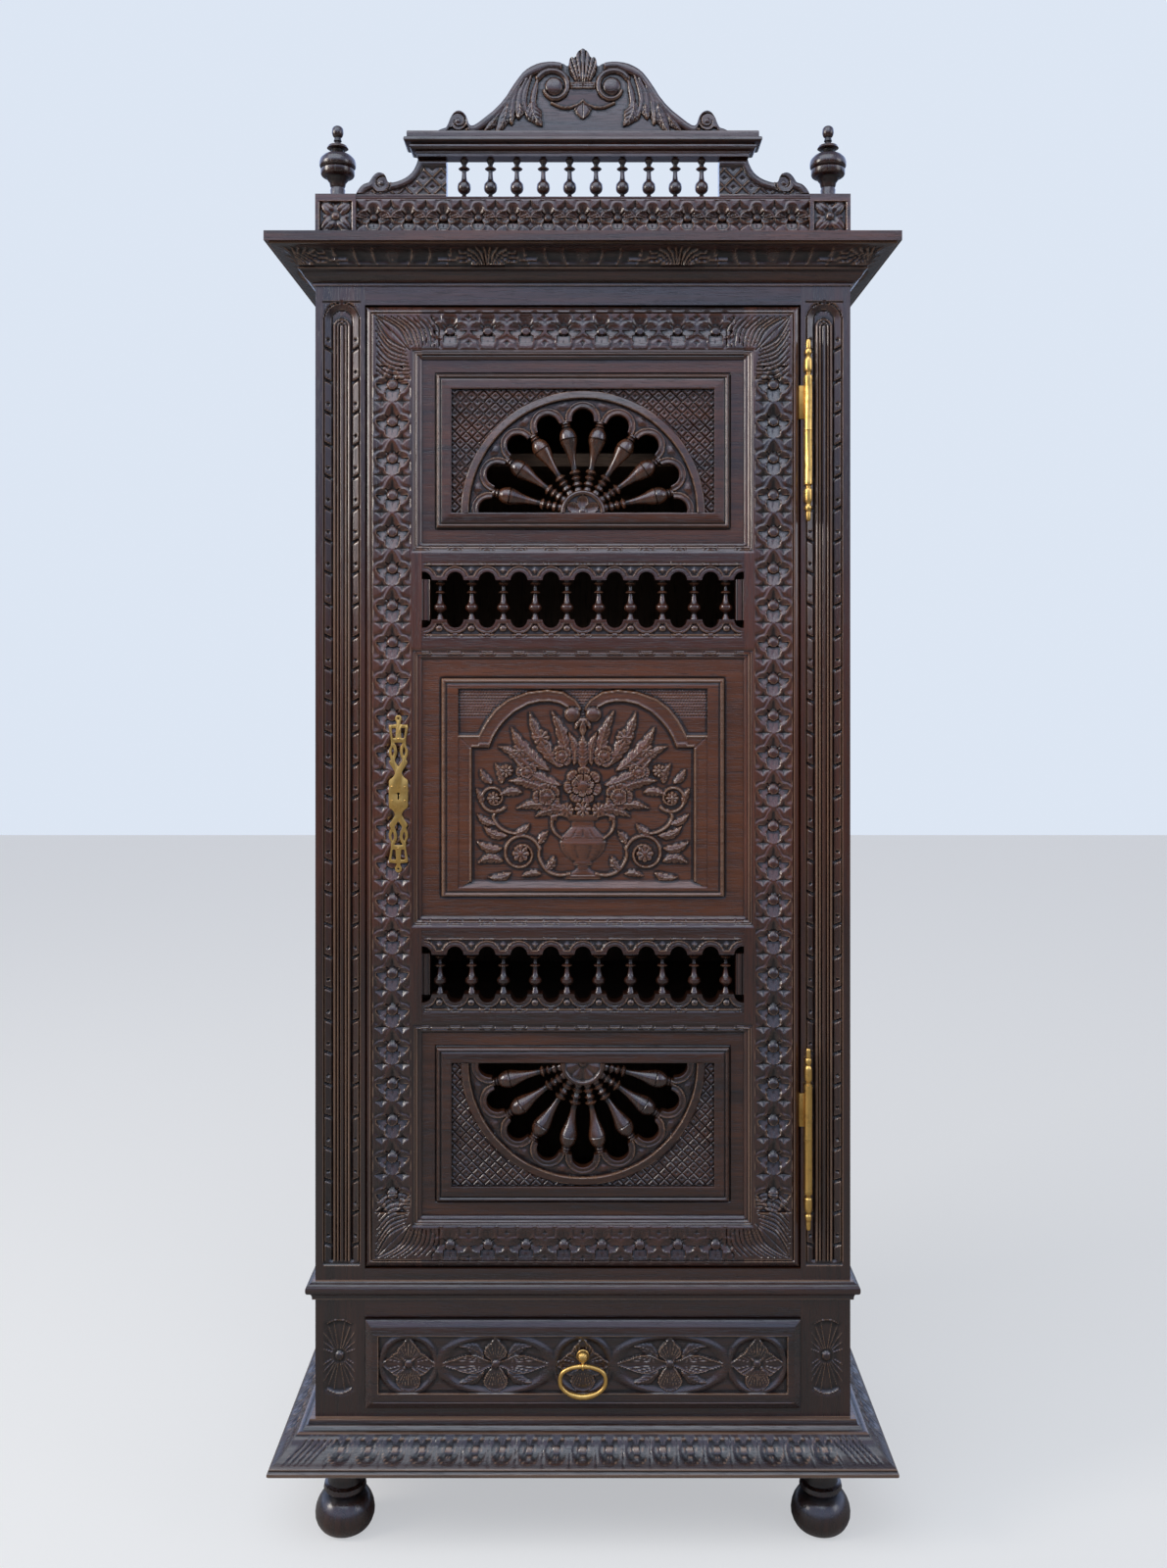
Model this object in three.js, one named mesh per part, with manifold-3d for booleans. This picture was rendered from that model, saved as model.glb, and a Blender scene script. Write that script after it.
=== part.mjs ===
// A carved oak bonnetiere: a tall narrow cabinet with one pierced and turned door over one drawer.
// Millimetres, +Z up. The front faces -Y, and the origin is on the floor in the middle of the plan.
import * as THREE from "three";
import { mergeVertices } from "three/addons/utils/BufferGeometryUtils.js";
import Module from "manifold-3d";

const wasm = await Module();
wasm.setup();

// Clearances
const seatGap = 0.3; // a glued, screwed or resting piece to its seat
const tongueGap = 0.3; // a tongue in its groove
const doorGap = 1.5; // the door in its opening
const drawerGap = 1.3; // the drawer front in its opening
const slideGap = 0.4; // a metal slide or pin in its way
const overrun = 5; // how far a cut runs past what it cuts
const lap = 1; // how far a fused piece runs into its neighbour

// Case
const caseWidth = 740;
const caseDepth = 420;
const stileWidth = 68.5;
const stileDepth = 40;
const sideThickness = 24;
const boardThickness = 18;
const topThickness = 13;
const backThickness = 12;
const bottomRailHeight = 48;
const drawerOpeningHeight = 124.5;
const middleRailHeight = 66.5;
const topRailHeight = 72;
const stopThickness = 14;
const stopHeight = 12;

// Pilaster: a long round-headed recess in each front stile, with a fluted band between two bars
const pilasterWidth = 52;
const pilasterDepth = 5;
const pilasterFoot = 3; // above the door's lower edge
const pilasterHead = 6; // above the door's upper edge
const bandWidth = 24;
const bandInset = 1.2;
const bandMargin = 6;
const fluteRadius = 2.9;
const flutePitch = 7.4;
const barWidth = 8;
const barOffset = 19;

// Side frames, their panels and the cleats under the boards
const sideStileWidth = 24;
const sideBackStileWidth = 64;
const sideBottomRailTop = 447;
const sideMiddleRailHeight = 68;
const sideTopRailHeight = 147;
const grooveDepth = 8;
const grooveWidth = 8;
const grooveSetback = 8;
const panelBevel = 26;
const panelField = 5;
const edgeMould = 9;
const edgeMouldDepth = 5;
const cleatThickness = 12;
const cleatHeight = 20;
const shelfSetback = 52;
const lowerShelfTop = 708;
const middleShelfTop = 1130;
const upperShelfTop = 1511;
const backBoards = 5;
const backJoint = 3;

// Drawer
const drawerReach = 12;
const drawerFrontThickness = 26;
const drawerBevel = 14;
const drawerBevelDepth = 10;
const drawerSideThickness = 12;
const drawerSideInset = 2;
const drawerSideHeight = 104;
const drawerBackClear = 22; // behind the drawer
const drawerBottomThickness = 6;
const drawerBottomRise = 8;
const drawerTongue = 4;
const runnerReach = 20;
const guideHeight = 40;

// Drawer pull: a domed post with an eye, and an oval bail that hangs in it
const postRise = 75.7;
const postRadius = 8.8;
const postDome = 10;
const eyeDrop = 11;
const eyeReach = 7;
const eyeRadius = 5.5;
const eyeThickness = 4;
const bailWidth = 68;
const bailHeight = 47;
const bailWire = 4.7;
const bailCollarRadius = 3.1;
const bailCollarWidth = 2.6;
const bailCollarOffset = 4.6;
const bailBeadRadius = 4.4;
const bailBeadLength = 8;
const bailBeadPitch = 7.3;

// Door, from the bottom rail to the top rail
const doorThickness = 24;
const doorStileWidth = 77;
const doorBottomRail = 69.5;
const fanOpening = 253.5;
const galleryLowRail = 55;
const galleryHighRail = 52.5;
const spindleOpening = 54.5;
const centreOpening = 356.5;
const doorTopRail = 73;
const stickingWidth = 14;
const stickingDepth = 6;
const quirkDepth = 2;
const quirkShare = 0.7;
const panelThickness = 14.5;
const panelFaceSetback = 2;
const panelMargin = 20.5;
const groundMargin = 20.5;
const groundDepth = 6;

// Scalloped rails and their turned spindles
const doorSpindles = 10;
const doorSpindleEnd = 2; // beside the outer notches' middles
const galleryRailSetback = 2;
const scallopRadius = 11.7;
const doorSpindleRadius = 8.9;

// Fans: a lobed half-round opening with a hub and turned spindles
const fanLobeStep = 22; // degrees
const fanLobes = 9;
const archClear = 12.3; // beside the arch
const archCrownGap = 1.8; // above the arch
const hubThickness = 15;

// Centre panel: a sunk field under a double arch with a drop
const centreMargin = 17;
const centreStep = 2;
const archSide = 19;
const archFoot = 16;
const archShoulder = 72; // below the top of the surround
const archRise = 10; // the tops of the arches below the top of the surround
const dropHalf = 15;
const dropDepth = 62;

// Door furniture
const hingeRadius = 5.5;
const hingeStand = 5.8; // barrel axis in front of the face
const hingeOffset = 9.5; // barrel axis beside the edge of the opening
const hingeHalfLength = 125.7;
const hingeSeam = 0.4;
const hingePinRadius = 2.1;
const hingePinLength = 30;
const leafThickness = 1.2;
const leafLength = 92;
const leafStart = 16;
const leafDepth = 15;
const upperHingeDrop = 172.5; // from the door's upper edge to the seam
const lowerHingeRise = 179.5; // from the door's lower edge to the seam
const lockRise = 655.5;
const lockFromEdge = 45;
const lockWidth = 62;
const lockHeight = 84;
const lockThickness = 16;
const lockWall = 3.5;
const boltHeight = 24;
const boltLength = 46;
const boltTravel = 10;
const plateHeight = 219.5;
const plateWidth = 27;
const plateThickness = 1.6;
const keyholeRadius = 2.6;
const keyholeSlot = 3.2;
const keyholeDrop = 9;

// Feet
const footHeight = 119;
const footRadius = 42;
const footInset = 36; // axis from the side
const footSetback = 30; // axis behind the front
const backFootClear = 3; // behind the back feet

// Mouldings around the front and sides: [share of reach, share of height]
const corniceReach = 58;
const corniceSetback = 4;
const corniceHeight = 46;
const waistReach = 12;
const waistHeight = 18;
const plinthReach = 55;
const plinthHeight = 53;

// Gallery over the cornice
const friezeHeight = 64.6;
const friezeThickness = 22;
const endBlockWidth = 56;
const endBlockHeight = 68;
const endBlockDepth = 36;
const endBlockReach = 2;
const finialHeight = 100;
const finialRadius = 26.3;
const topSpindles = 10;
const topSpindleEnd = 10.5; // less room at each end of the row
const topSpindleHeight = 53;
const topSpindleRadius = 9.4;
const capInset = 124; // from the end of the frieze to the end of the cap
const capHeight = 32;
const capReach = 20;
const capBackReach = 6;
const bracketCover = 52; // how far the bracket runs under the cap
const crestInset = 42; // from the end of the cap to the end of the crest
const crestHeight = 120.6;
const crestThickness = 18;

// Facets
const turnedSides = 8;
const roundSides = 12;
const bailSides = 6;
const bailSteps = 16;
const curveSteps = 4;

// Where things come in the case
const half = caseWidth / 2;
const frontY = (corniceReach - caseDepth) / 2;
const backY = frontY + caseDepth;
const baseTop = footHeight + boardThickness;
const drawerOpeningBottom = baseTop + bottomRailHeight;
const drawerOpeningTop = drawerOpeningBottom + drawerOpeningHeight;
const doorOpeningBottom = drawerOpeningTop + middleRailHeight;
const doorHeight =
  doorBottomRail + 2 * (fanOpening + galleryLowRail + galleryHighRail + spindleOpening)
  + centreOpening + doorTopRail;
const doorBottom = doorOpeningBottom + doorGap;
const doorTop = doorBottom + doorHeight;
const doorOpeningTop = doorTop + doorGap;
const topBoardBottom = doorOpeningTop + topRailHeight;
const caseTop = topBoardBottom + topThickness;
const openingHalf = half - stileWidth;
const doorHalf = openingHalf - doorGap;
const sideInner = half - sideThickness;
const insideBack = backY - backThickness - seatGap;
const postBack = frontY + stileDepth;

// Materials
const oak = new THREE.MeshStandardMaterial({ color: 0x3c2823, roughness: 0.42, metalness: 0 });
const panelOak = new THREE.MeshStandardMaterial({ color: 0x4d3328, roughness: 0.45, metalness: 0 });
const turnedOak = new THREE.MeshStandardMaterial({ color: 0x6e4b3c, roughness: 0.35, metalness: 0 });
const insideOak = new THREE.MeshStandardMaterial({ color: 0x5a4130, roughness: 0.7, metalness: 0 });
const brass = new THREE.MeshStandardMaterial({ color: 0xbe913c, roughness: 0.3, metalness: 1 });
const steel = new THREE.MeshStandardMaterial({ color: 0x77736c, roughness: 0.45, metalness: 1 });

// Solids

// A closed geometry as a solid with its faces pointing out.
function solidOf(geometry) {
  const bare = geometry.clone();
  bare.deleteAttribute("normal");
  bare.deleteAttribute("uv");
  const merged = mergeVertices(bare);
  const corners = [];
  const index = merged.index.array;
  for (let i = 0; i < index.length; i += 3) {
    const [a, b, c] = [index[i], index[i + 1], index[i + 2]];
    if (a !== b && b !== c && c !== a) corners.push(a, b, c);
  }
  const vertProperties = merged.attributes.position.array;
  const made = new wasm.Manifold(
    new wasm.Mesh({ numProp: 3, vertProperties, triVerts: new Uint32Array(corners) }),
  );
  if (made.volume() > 0) return made;
  corners.reverse();
  return new wasm.Manifold(
    new wasm.Mesh({ numProp: 3, vertProperties, triVerts: new Uint32Array(corners) }),
  );
}

function geometryOf(solid) {
  const mesh = solid.getMesh();
  const geometry = new THREE.BufferGeometry();
  geometry.setAttribute("position", new THREE.BufferAttribute(mesh.vertProperties, 3));
  geometry.setIndex(new THREE.BufferAttribute(mesh.triVerts, 1));
  const faceted = geometry.toNonIndexed();
  faceted.computeVertexNormals();
  return faceted;
}

const joined = (solids) => solids.reduce((whole, next) => whole.add(next));
const cutFrom = (solid, cutters) => cutters.reduce((left, cutter) => left.subtract(cutter), solid);

function boxGeometry(xs, ys, zs) {
  const size = [xs, ys, zs].map((range) => Math.abs(range[1] - range[0]));
  const middle = [xs, ys, zs].map((range) => (range[0] + range[1]) / 2);
  return new THREE.BoxGeometry(...size).translate(...middle);
}

const box = (xs, ys, zs) => solidOf(boxGeometry(xs, ys, zs));

// A box whose end at ys[1] is smaller by shrink all round than its end at ys[0].
function taperedBox(xs, ys, zs, shrink) {
  const geometry = boxGeometry(xs, ys, zs);
  const place = geometry.getAttribute("position");
  const [midX, midY, midZ] = [xs, ys, zs].map((range) => (range[0] + range[1]) / 2);
  const farSide = Math.sign(ys[1] - ys[0]);
  for (let i = 0; i < place.count; i++) {
    if ((place.getY(i) - midY) * farSide < 0) continue;
    place.setX(i, place.getX(i) - shrink * Math.sign(place.getX(i) - midX));
    place.setZ(i, place.getZ(i) - shrink * Math.sign(place.getZ(i) - midZ));
  }
  return solidOf(geometry);
}

// The same, with its small end towards the side of the cabinet.
function sideTaperedBox(xs, ys, zs, shrink) {
  const geometry = boxGeometry(xs, ys, zs);
  const place = geometry.getAttribute("position");
  const [midX, midY, midZ] = [xs, ys, zs].map((range) => (range[0] + range[1]) / 2);
  const farSide = Math.sign(xs[1] - xs[0]);
  for (let i = 0; i < place.count; i++) {
    if ((place.getX(i) - midX) * farSide < 0) continue;
    place.setY(i, place.getY(i) - shrink * Math.sign(place.getY(i) - midY));
    place.setZ(i, place.getZ(i) - shrink * Math.sign(place.getZ(i) - midZ));
  }
  return solidOf(geometry);
}

const alongX = new THREE.Vector3(1, 0, 0);
const alongY = new THREE.Vector3(0, 1, 0);
const alongZ = new THREE.Vector3(0, 0, 1);
const towardsFront = new THREE.Vector3(0, -1, 0);
const standUp = new THREE.Matrix4().makeBasis(alongX, alongZ, towardsFront);
const turnSideways = new THREE.Matrix4().makeBasis(alongY, alongZ, alongX);

function extruded(shape, depth, steps = curveSteps) {
  return new THREE.ExtrudeGeometry(shape, { depth, bevelEnabled: false, curveSegments: steps });
}

// An outline drawn in x and z, from ys[0] at the front to ys[1] at the back.
function plateGeometry(shape, ys, steps) {
  return extruded(shape, ys[1] - ys[0], steps).applyMatrix4(standUp).translate(0, ys[1], 0);
}

const plate = (shape, ys, steps) => solidOf(plateGeometry(shape, ys, steps));

// A profile turned on the z axis: [radius, height] pairs from the bottom to the top.
function turnedGeometry(profile, sides = turnedSides) {
  const [foot, head] = [profile[0][1], profile[profile.length - 1][1]];
  const points = [[0, foot], ...profile, [0, head]].map(([r, z]) => new THREE.Vector2(r, z));
  return new THREE.LatheGeometry(points, sides, Math.PI / sides).applyMatrix4(standUp);
}

// Shares of a radius and a height as real sizes.
const sized = (shares, radius, height) => shares.map(([r, z]) => [r * radius, z * height]);

// A moulding profile drawn as reach and height, run along the left side, the front and the right
// side with mitred corners.
function mitred(shape, halfWidth, front, back) {
  const runs = 3;
  const geometry = new THREE.ExtrudeGeometry(shape, {
    depth: runs,
    steps: runs,
    bevelEnabled: false,
    curveSegments: curveSteps,
  });
  const place = geometry.getAttribute("position");
  for (let i = 0; i < place.count; i++) {
    const reach = place.getX(i);
    const corner = Math.round(place.getZ(i));
    const onLeft = corner < runs / 2;
    const atBack = corner === 0 || corner === runs;
    const x = (onLeft ? -1 : 1) * (halfWidth + reach);
    place.setXYZ(i, x, atBack ? back : front - reach, place.getY(i));
  }
  return solidOf(geometry);
}

function outline(points) {
  return new THREE.Shape(points.map(([x, y]) => new THREE.Vector2(x, y)));
}

// A strip with a round head.
function roundHeaded(centre, halfWidth, bottom, top) {
  const shape = new THREE.Shape();
  shape.moveTo(centre - halfWidth, bottom);
  shape.lineTo(centre + halfWidth, bottom);
  shape.absarc(centre, top - halfWidth, halfWidth, 0, Math.PI, false);
  shape.closePath();
  return shape;
}

function piece(name, solid, material, parent) {
  const mesh = new THREE.Mesh(geometryOf(solid), material);
  mesh.name = name;
  parent.add(mesh);
  return mesh;
}

const sides = [
  ["left", -1],
  ["right", 1],
];

const cabinet = new THREE.Group();
const carcass = new THREE.Group();
const door = new THREE.Group();
const drawer = new THREE.Group();
const gallery = new THREE.Group();
door.position.set(0, frontY, doorBottom);
drawer.position.set(0, frontY, drawerOpeningBottom + drawerGap);
gallery.position.set(0, frontY, caseTop + seatGap);
cabinet.add(carcass, door, drawer, gallery);

// Hinges: a fluted barrel in two halves with finials, the frame half below with the pin.

const hingeShares = [
  [1, 0],
  [0.93, 0.02],
  [0.93, 0.565],
  [1, 0.58],
  [0.6, 0.62],
  [0.87, 0.68],
  [0.87, 0.78],
  [0.55, 0.82],
  [0.78, 0.86],
  [0.6, 0.92],
  [0.5, 1],
];
const hingeX = openingHalf + hingeOffset;
const barrelLength = hingeHalfLength - hingeSeam / 2;

function hingeBarrel() {
  const profile = sized(hingeShares, hingeRadius, barrelLength);
  return turnedGeometry(profile).translate(0, 0, hingeSeam / 2);
}

// The door half stands above the seam. Its leaf passes over the stile and into the door's edge.
function doorHingeHalf() {
  const backOfLeaf = hingeStand - leafThickness / 2;
  const leafX = openingHalf - doorGap - leafThickness - hingeX;
  const leafZ = [leafStart, leafStart + leafLength / 2];
  const bore = new THREE.CylinderGeometry(hingePinRadius + slideGap, hingePinRadius + slideGap,
    hingePinLength + overrun, turnedSides);
  bore.applyMatrix4(standUp).translate(0, 0, (hingePinLength - overrun) / 2 + slideGap);
  const body = joined([
    solidOf(hingeBarrel()),
    box([leafX, 0], [backOfLeaf - leafThickness, backOfLeaf], leafZ),
    box([leafX, leafX + leafThickness], [backOfLeaf - leafThickness, hingeStand + leafDepth], leafZ),
  ]);
  return body.subtract(solidOf(bore));
}

// The frame half hangs below the seam, with its leaf straight into the stile.
function frameHingeHalf() {
  const barrel = solidOf(hingeBarrel().rotateX(Math.PI));
  const leaf = box(
    [-leafThickness / 2, leafThickness / 2],
    [0, hingeStand + leafDepth],
    [-leafStart - leafLength / 2, -leafStart],
  );
  const pin = new THREE.CylinderGeometry(hingePinRadius, hingePinRadius, hingePinLength, turnedSides);
  pin.applyMatrix4(standUp).translate(0, 0, hingePinLength / 2 - lap);
  return joined([barrel, leaf, solidOf(pin)]);
}

const hingeSeams = [
  ["upper", doorHeight - upperHingeDrop],
  ["lower", lowerHingeRise],
];
for (const [place, rise] of hingeSeams) {
  const frameHalf = piece(`${place}_hinge_frame_half`, frameHingeHalf(), brass, carcass);
  frameHalf.position.set(hingeX, frontY - hingeStand, doorBottom + rise);
  const doorHalf = piece(`${place}_hinge_door_half`, doorHingeHalf(), brass, door);
  doorHalf.position.set(hingeX, -hingeStand, rise);
}

// Front stiles, with the pilaster, the hinge mortises on the right and the bolt mortise on the left

const boltY = doorThickness + seatGap + lockThickness / 2;
const boltThickness = lockThickness - 2 * (lockWall + slideGap);
const boltTipX = -(doorHalf - doorGap / 2);

function frontStile(side) {
  const centre = side * (half - stileWidth / 2);
  const bottom = doorBottom + pilasterFoot;
  const top = doorTop + pilasterHead;
  const spring = top - pilasterWidth / 2;
  const sunk = frontY + pilasterDepth;
  const recess = plate(
    roundHeaded(centre, pilasterWidth / 2, bottom, top), [frontY - overrun, sunk], 2 * curveSteps,
  );
  const band = plate(
    roundHeaded(centre, bandWidth / 2, bottom + bandMargin, top - bandMargin * 2),
    [frontY + bandInset, sunk + lap],
  );
  const bars = [-1, 1].map((way) => {
    const x = centre + way * barOffset;
    return box([x - barWidth / 2, x + barWidth / 2], [frontY + bandInset, sunk + lap],
      [bottom + bandMargin, spring]);
  });
  const fluteLength = spring - bandMargin - bottom - bandWidth;
  const flutes = [-1, 0, 1].map((i) => {
    const flute = new THREE.CapsuleGeometry(fluteRadius, fluteLength, 1, turnedSides);
    flute.applyMatrix4(standUp);
    flute.translate(centre + i * flutePitch, frontY + bandInset, (bottom + bandWidth + spring) / 2);
    return solidOf(flute);
  });
  const body = box(
    [side * openingHalf, side * half], [frontY, postBack], [baseTop, topBoardBottom],
  );
  const carved = cutFrom(joined([body.subtract(recess), band, ...bars]), flutes);
  return side > 0 ? cutFrom(carved, hingeMortises()) : cutFrom(carved, [boltMortise()]);
}

function hingeMortises() {
  const room = leafThickness / 2 + slideGap;
  return hingeSeams.map(([, rise]) => {
    const seam = doorBottom + rise;
    return box(
      [hingeX - room, hingeX + room],
      [frontY - overrun, frontY + leafDepth + slideGap],
      [seam - leafStart - leafLength / 2 - slideGap, seam - leafStart + slideGap],
    );
  });
}

function boltMortise() {
  const middle = doorBottom + lockRise;
  const room = boltHeight / 2 + slideGap * 2;
  return box(
    [-openingHalf - boltTravel - slideGap * 2, -openingHalf + overrun],
    [frontY + boltY - boltThickness / 2 - slideGap, frontY + boltY + boltThickness / 2 + slideGap],
    [middle - room, middle + room],
  );
}

for (const [name, side] of sides) piece(`${name}_front_stile`, frontStile(side), oak, carcass);

// Front rails between the stiles

const railSpan = [-openingHalf, openingHalf];
const topRail = joined([
  box(railSpan, [frontY, postBack], [doorOpeningTop, topBoardBottom]),
  box(railSpan, [postBack - stopThickness, postBack],
    [doorOpeningTop - stopHeight, doorOpeningTop + lap]),
]);
piece("front_top_rail", topRail, oak, carcass);
piece("front_middle_rail",
  box(railSpan, [frontY, postBack], [drawerOpeningTop, doorOpeningBottom]), oak, carcass);
piece("front_bottom_rail",
  box(railSpan, [frontY, postBack], [baseTop, drawerOpeningBottom]), oak, carcass);

// Side frames: back stile and rails around two panel openings, grooved for the panels

const sideSpanY = [postBack + sideStileWidth, backY - sideBackStileWidth];
const sideUpperTop = topBoardBottom - sideTopRailHeight;
const sideLowerTop = (sideBottomRailTop + sideUpperTop - sideMiddleRailHeight) / 2;
const sideOpenings = [
  ["lower", [sideBottomRailTop, sideLowerTop]],
  ["upper", [sideLowerTop + sideMiddleRailHeight, sideUpperTop]],
];
const boardTops = [doorOpeningBottom, lowerShelfTop, middleShelfTop, upperShelfTop];
const grown = (range, by) => [range[0] - by, range[1] + by];

function sideFrame(side) {
  const body = box(
    [side * sideInner, side * half], [postBack, backY], [baseTop, topBoardBottom],
  );
  const cutters = sideOpenings.flatMap(([, zs]) => [
    box([side * (sideInner - overrun), side * (half + overrun)], sideSpanY, zs),
    box(
      [side * (half - grooveSetback - grooveWidth), side * (half - grooveSetback)],
      grown(sideSpanY, grooveDepth), grown(zs, grooveDepth),
    ),
    sideTaperedBox(
      [side * (half + lap), side * (half - edgeMouldDepth)],
      grown(sideSpanY, edgeMould), grown(zs, edgeMould), edgeMould,
    ),
  ]);
  const cleats = boardTops.map((top) => {
    const under = top - boardThickness - seatGap;
    return box(
      [side * (sideInner - cleatThickness), side * (sideInner + lap)],
      [postBack + lap, sideSpanY[1]], [under - cleatHeight, under],
    );
  });
  return joined([cutFrom(body, cutters), ...cleats]);
}

function sidePanel(side, zs) {
  const reach = grooveDepth - tongueGap;
  const outer = half - grooveSetback - tongueGap;
  const tongue = box(
    [side * (outer - grooveWidth + 2 * tongueGap), side * outer],
    grown(sideSpanY, reach), grown(zs, reach),
  );
  const field = sideTaperedBox(
    [side * (outer - lap), side * (outer + panelField)],
    grown(sideSpanY, -edgeMould), grown(zs, -edgeMould), panelBevel,
  );
  return tongue.add(field);
}

for (const [name, side] of sides) {
  piece(`${name}_side_frame`, sideFrame(side), oak, carcass);
  for (const [place, zs] of sideOpenings)
    piece(`${name}_${place}_side_panel`, sidePanel(side, zs), oak, carcass);
}

// Back: boards with a V at each joint, seen from outside

const insideSpan = [-sideInner + seatGap, sideInner - seatGap];

function backPanel() {
  const span = insideSpan;
  const boardWidth = (span[1] - span[0]) / backBoards;
  const shape = new THREE.Shape();
  shape.moveTo(span[0], backY - backThickness);
  shape.lineTo(span[1], backY - backThickness);
  shape.lineTo(span[1], backY);
  for (let i = backBoards - 1; i > 0; i--) {
    const joint = span[0] + i * boardWidth;
    shape.lineTo(joint + backJoint, backY);
    shape.lineTo(joint, backY - backJoint);
    shape.lineTo(joint - backJoint, backY);
  }
  shape.lineTo(span[0], backY);
  return solidOf(extruded(shape, topBoardBottom - baseTop).translate(0, 0, baseTop));
}

piece("back_panel", backPanel(), insideOak, carcass);

// Boards across the case

piece("top_board", box([-half - corniceReach, half + corniceReach],
  [frontY - corniceReach, backY], [topBoardBottom, caseTop]), oak, carcass);
piece("dust_board", box(insideSpan, [postBack + seatGap, insideBack],
  [doorOpeningBottom - boardThickness, doorOpeningBottom]), insideOak, carcass);
const shelfTops = [
  ["lower", lowerShelfTop],
  ["middle", middleShelfTop],
  ["upper", upperShelfTop],
];
for (const [name, top] of shelfTops) {
  const shelf = box(insideSpan, [frontY + shelfSetback, insideBack], [top - boardThickness, top]);
  piece(`${name}_shelf`, shelf, insideOak, carcass);
}

// Base board with the drawer's runners and guides

function baseBoard() {
  const board = box([-half, half], [frontY, backY], [footHeight, baseTop]);
  const runnerTop = drawerOpeningBottom + drawerGap;
  const runnerYs = [postBack + seatGap, insideBack];
  const ways = sides.flatMap(([, side]) => [
    box([side * (openingHalf - runnerReach), side * (sideInner - seatGap)], runnerYs,
      [baseTop - lap, runnerTop]),
    box([side * openingHalf, side * (sideInner - seatGap)], runnerYs,
      [baseTop - lap, runnerTop + guideHeight]),
  ]);
  return joined([board, ...ways]);
}

piece("base_board", baseBoard(), insideOak, carcass);

// Mouldings, each a profile of shares run around three sides

const corniceShares = [
  [0, 0],
  [0.06, 0],
  [0.06, 0.09],
  [0.09, 0.22],
  [0.17, 0.33],
  [0.3, 0.4],
  [0.37, 0.41],
  [0.37, 0.49],
  [0.42, 0.5],
  [0.47, 0.66],
  [0.6, 0.82],
  [0.8, 0.93],
  [0.93, 0.96],
  [1, 0.96],
  [1, 1],
  [0, 1],
];
const waistShares = [
  [0, 0],
  [0.33, 0],
  [0.45, 0.25],
  [0.8, 0.35],
  [1, 0.52],
  [1, 0.72],
  [0.75, 0.9],
  [0.3, 1],
  [0, 1],
];
const plinthShares = [
  [0, 0],
  [1, 0],
  [1, 0.13],
  [0.98, 0.19],
  [0.94, 0.23],
  [0.885, 0.245],
  [0.82, 0.3],
  [0.66, 0.42],
  [0.51, 0.58],
  [0.44, 0.72],
  [0.36, 0.74],
  [0.3, 0.8],
  [0.2, 0.84],
  [0.14, 0.9],
  [0.12, 1],
  [0, 1],
];

function aroundCase(shares, reach, bottom, height) {
  const points = sized(shares, reach, height).map(([p, z]) => [p, bottom + z]);
  return mitred(outline(points), half, frontY, backY);
}

const cornice = aroundCase(
  corniceShares, corniceReach - corniceSetback, topBoardBottom - corniceHeight, corniceHeight,
);
const waist = aroundCase(waistShares, waistReach, doorOpeningBottom - 2 * waistHeight, waistHeight);
const plinth = aroundCase(plinthShares, plinthReach, footHeight, plinthHeight);
piece("cornice_moulding", cornice, oak, carcass);
piece("waist_moulding", waist, oak, carcass);
piece("plinth_moulding", plinth, oak, carcass);

// Feet

const footShares = [
  [0.52, 0],
  [0.84, 0.06],
  [1, 0.21],
  [0.88, 0.37],
  [0.6, 0.46],
  [0.7, 0.5],
  [0.7, 0.54],
  [0.57, 0.58],
  [0.57, 1],
];
const footEnds = [
  ["front", frontY + footSetback],
  ["back", backY - footRadius - backFootClear],
];
for (const [end, y] of footEnds) {
  for (const [name, side] of sides) {
    const profile = sized(footShares, footRadius, footHeight - seatGap);
    const foot = piece(`${end}_${name}_foot`, solidOf(turnedGeometry(profile, roundSides)), oak,
      carcass);
    foot.position.set(side * (half - footInset), y, 0);
  }
}

// Turned spindles, fused at their lower end to the rail that carries them

const spindleShares = [
  [0.66, 0],
  [0.38, 0.1],
  [1, 0.27],
  [0.36, 0.56],
  [0.86, 0.68],
  [0.34, 0.82],
  [0.64, 1],
];

function spindleRow(count, pitch, radius, bottom, top, y) {
  const profile = sized(spindleShares, radius, top - bottom + lap);
  return Array.from({ length: count }, (_, i) => {
    const x = (i - (count - 1) / 2) * pitch;
    return solidOf(turnedGeometry(profile).translate(x, y, bottom - lap));
  });
}

// Gallery: frieze with end blocks, spindles under a moulded cap, scroll brackets, finials and crest

const friezeMiddle = friezeThickness / 2;
const blockOuter = half;
const blockInner = half - endBlockWidth;
const capHalfWidth = half - capInset;
const crestHalfWidth = capHalfWidth - crestInset;
const bracketInner = capHalfWidth - bracketCover;
const bracketLength = blockInner - bracketInner;
const topSpindlePitch = (2 * (bracketInner - topSpindleEnd)) / topSpindles;

function frieze() {
  const board = box([-blockInner - lap, blockInner + lap], [0, friezeThickness], [0, friezeHeight]);
  const blocks = sides.map(([, side]) => box(
    [side * blockInner, side * blockOuter],
    [-endBlockReach, endBlockDepth - endBlockReach],
    [0, endBlockHeight],
  ));
  return joined([board, ...blocks]);
}

const capShares = [
  [0.3, 0],
  [0.42, 0.12],
  [0.42, 0.3],
  [0.7, 0.42],
  [0.85, 0.56],
  [1, 0.62],
  [1, 0.7],
  [0.62, 0.82],
  [0.5, 1],
];

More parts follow.
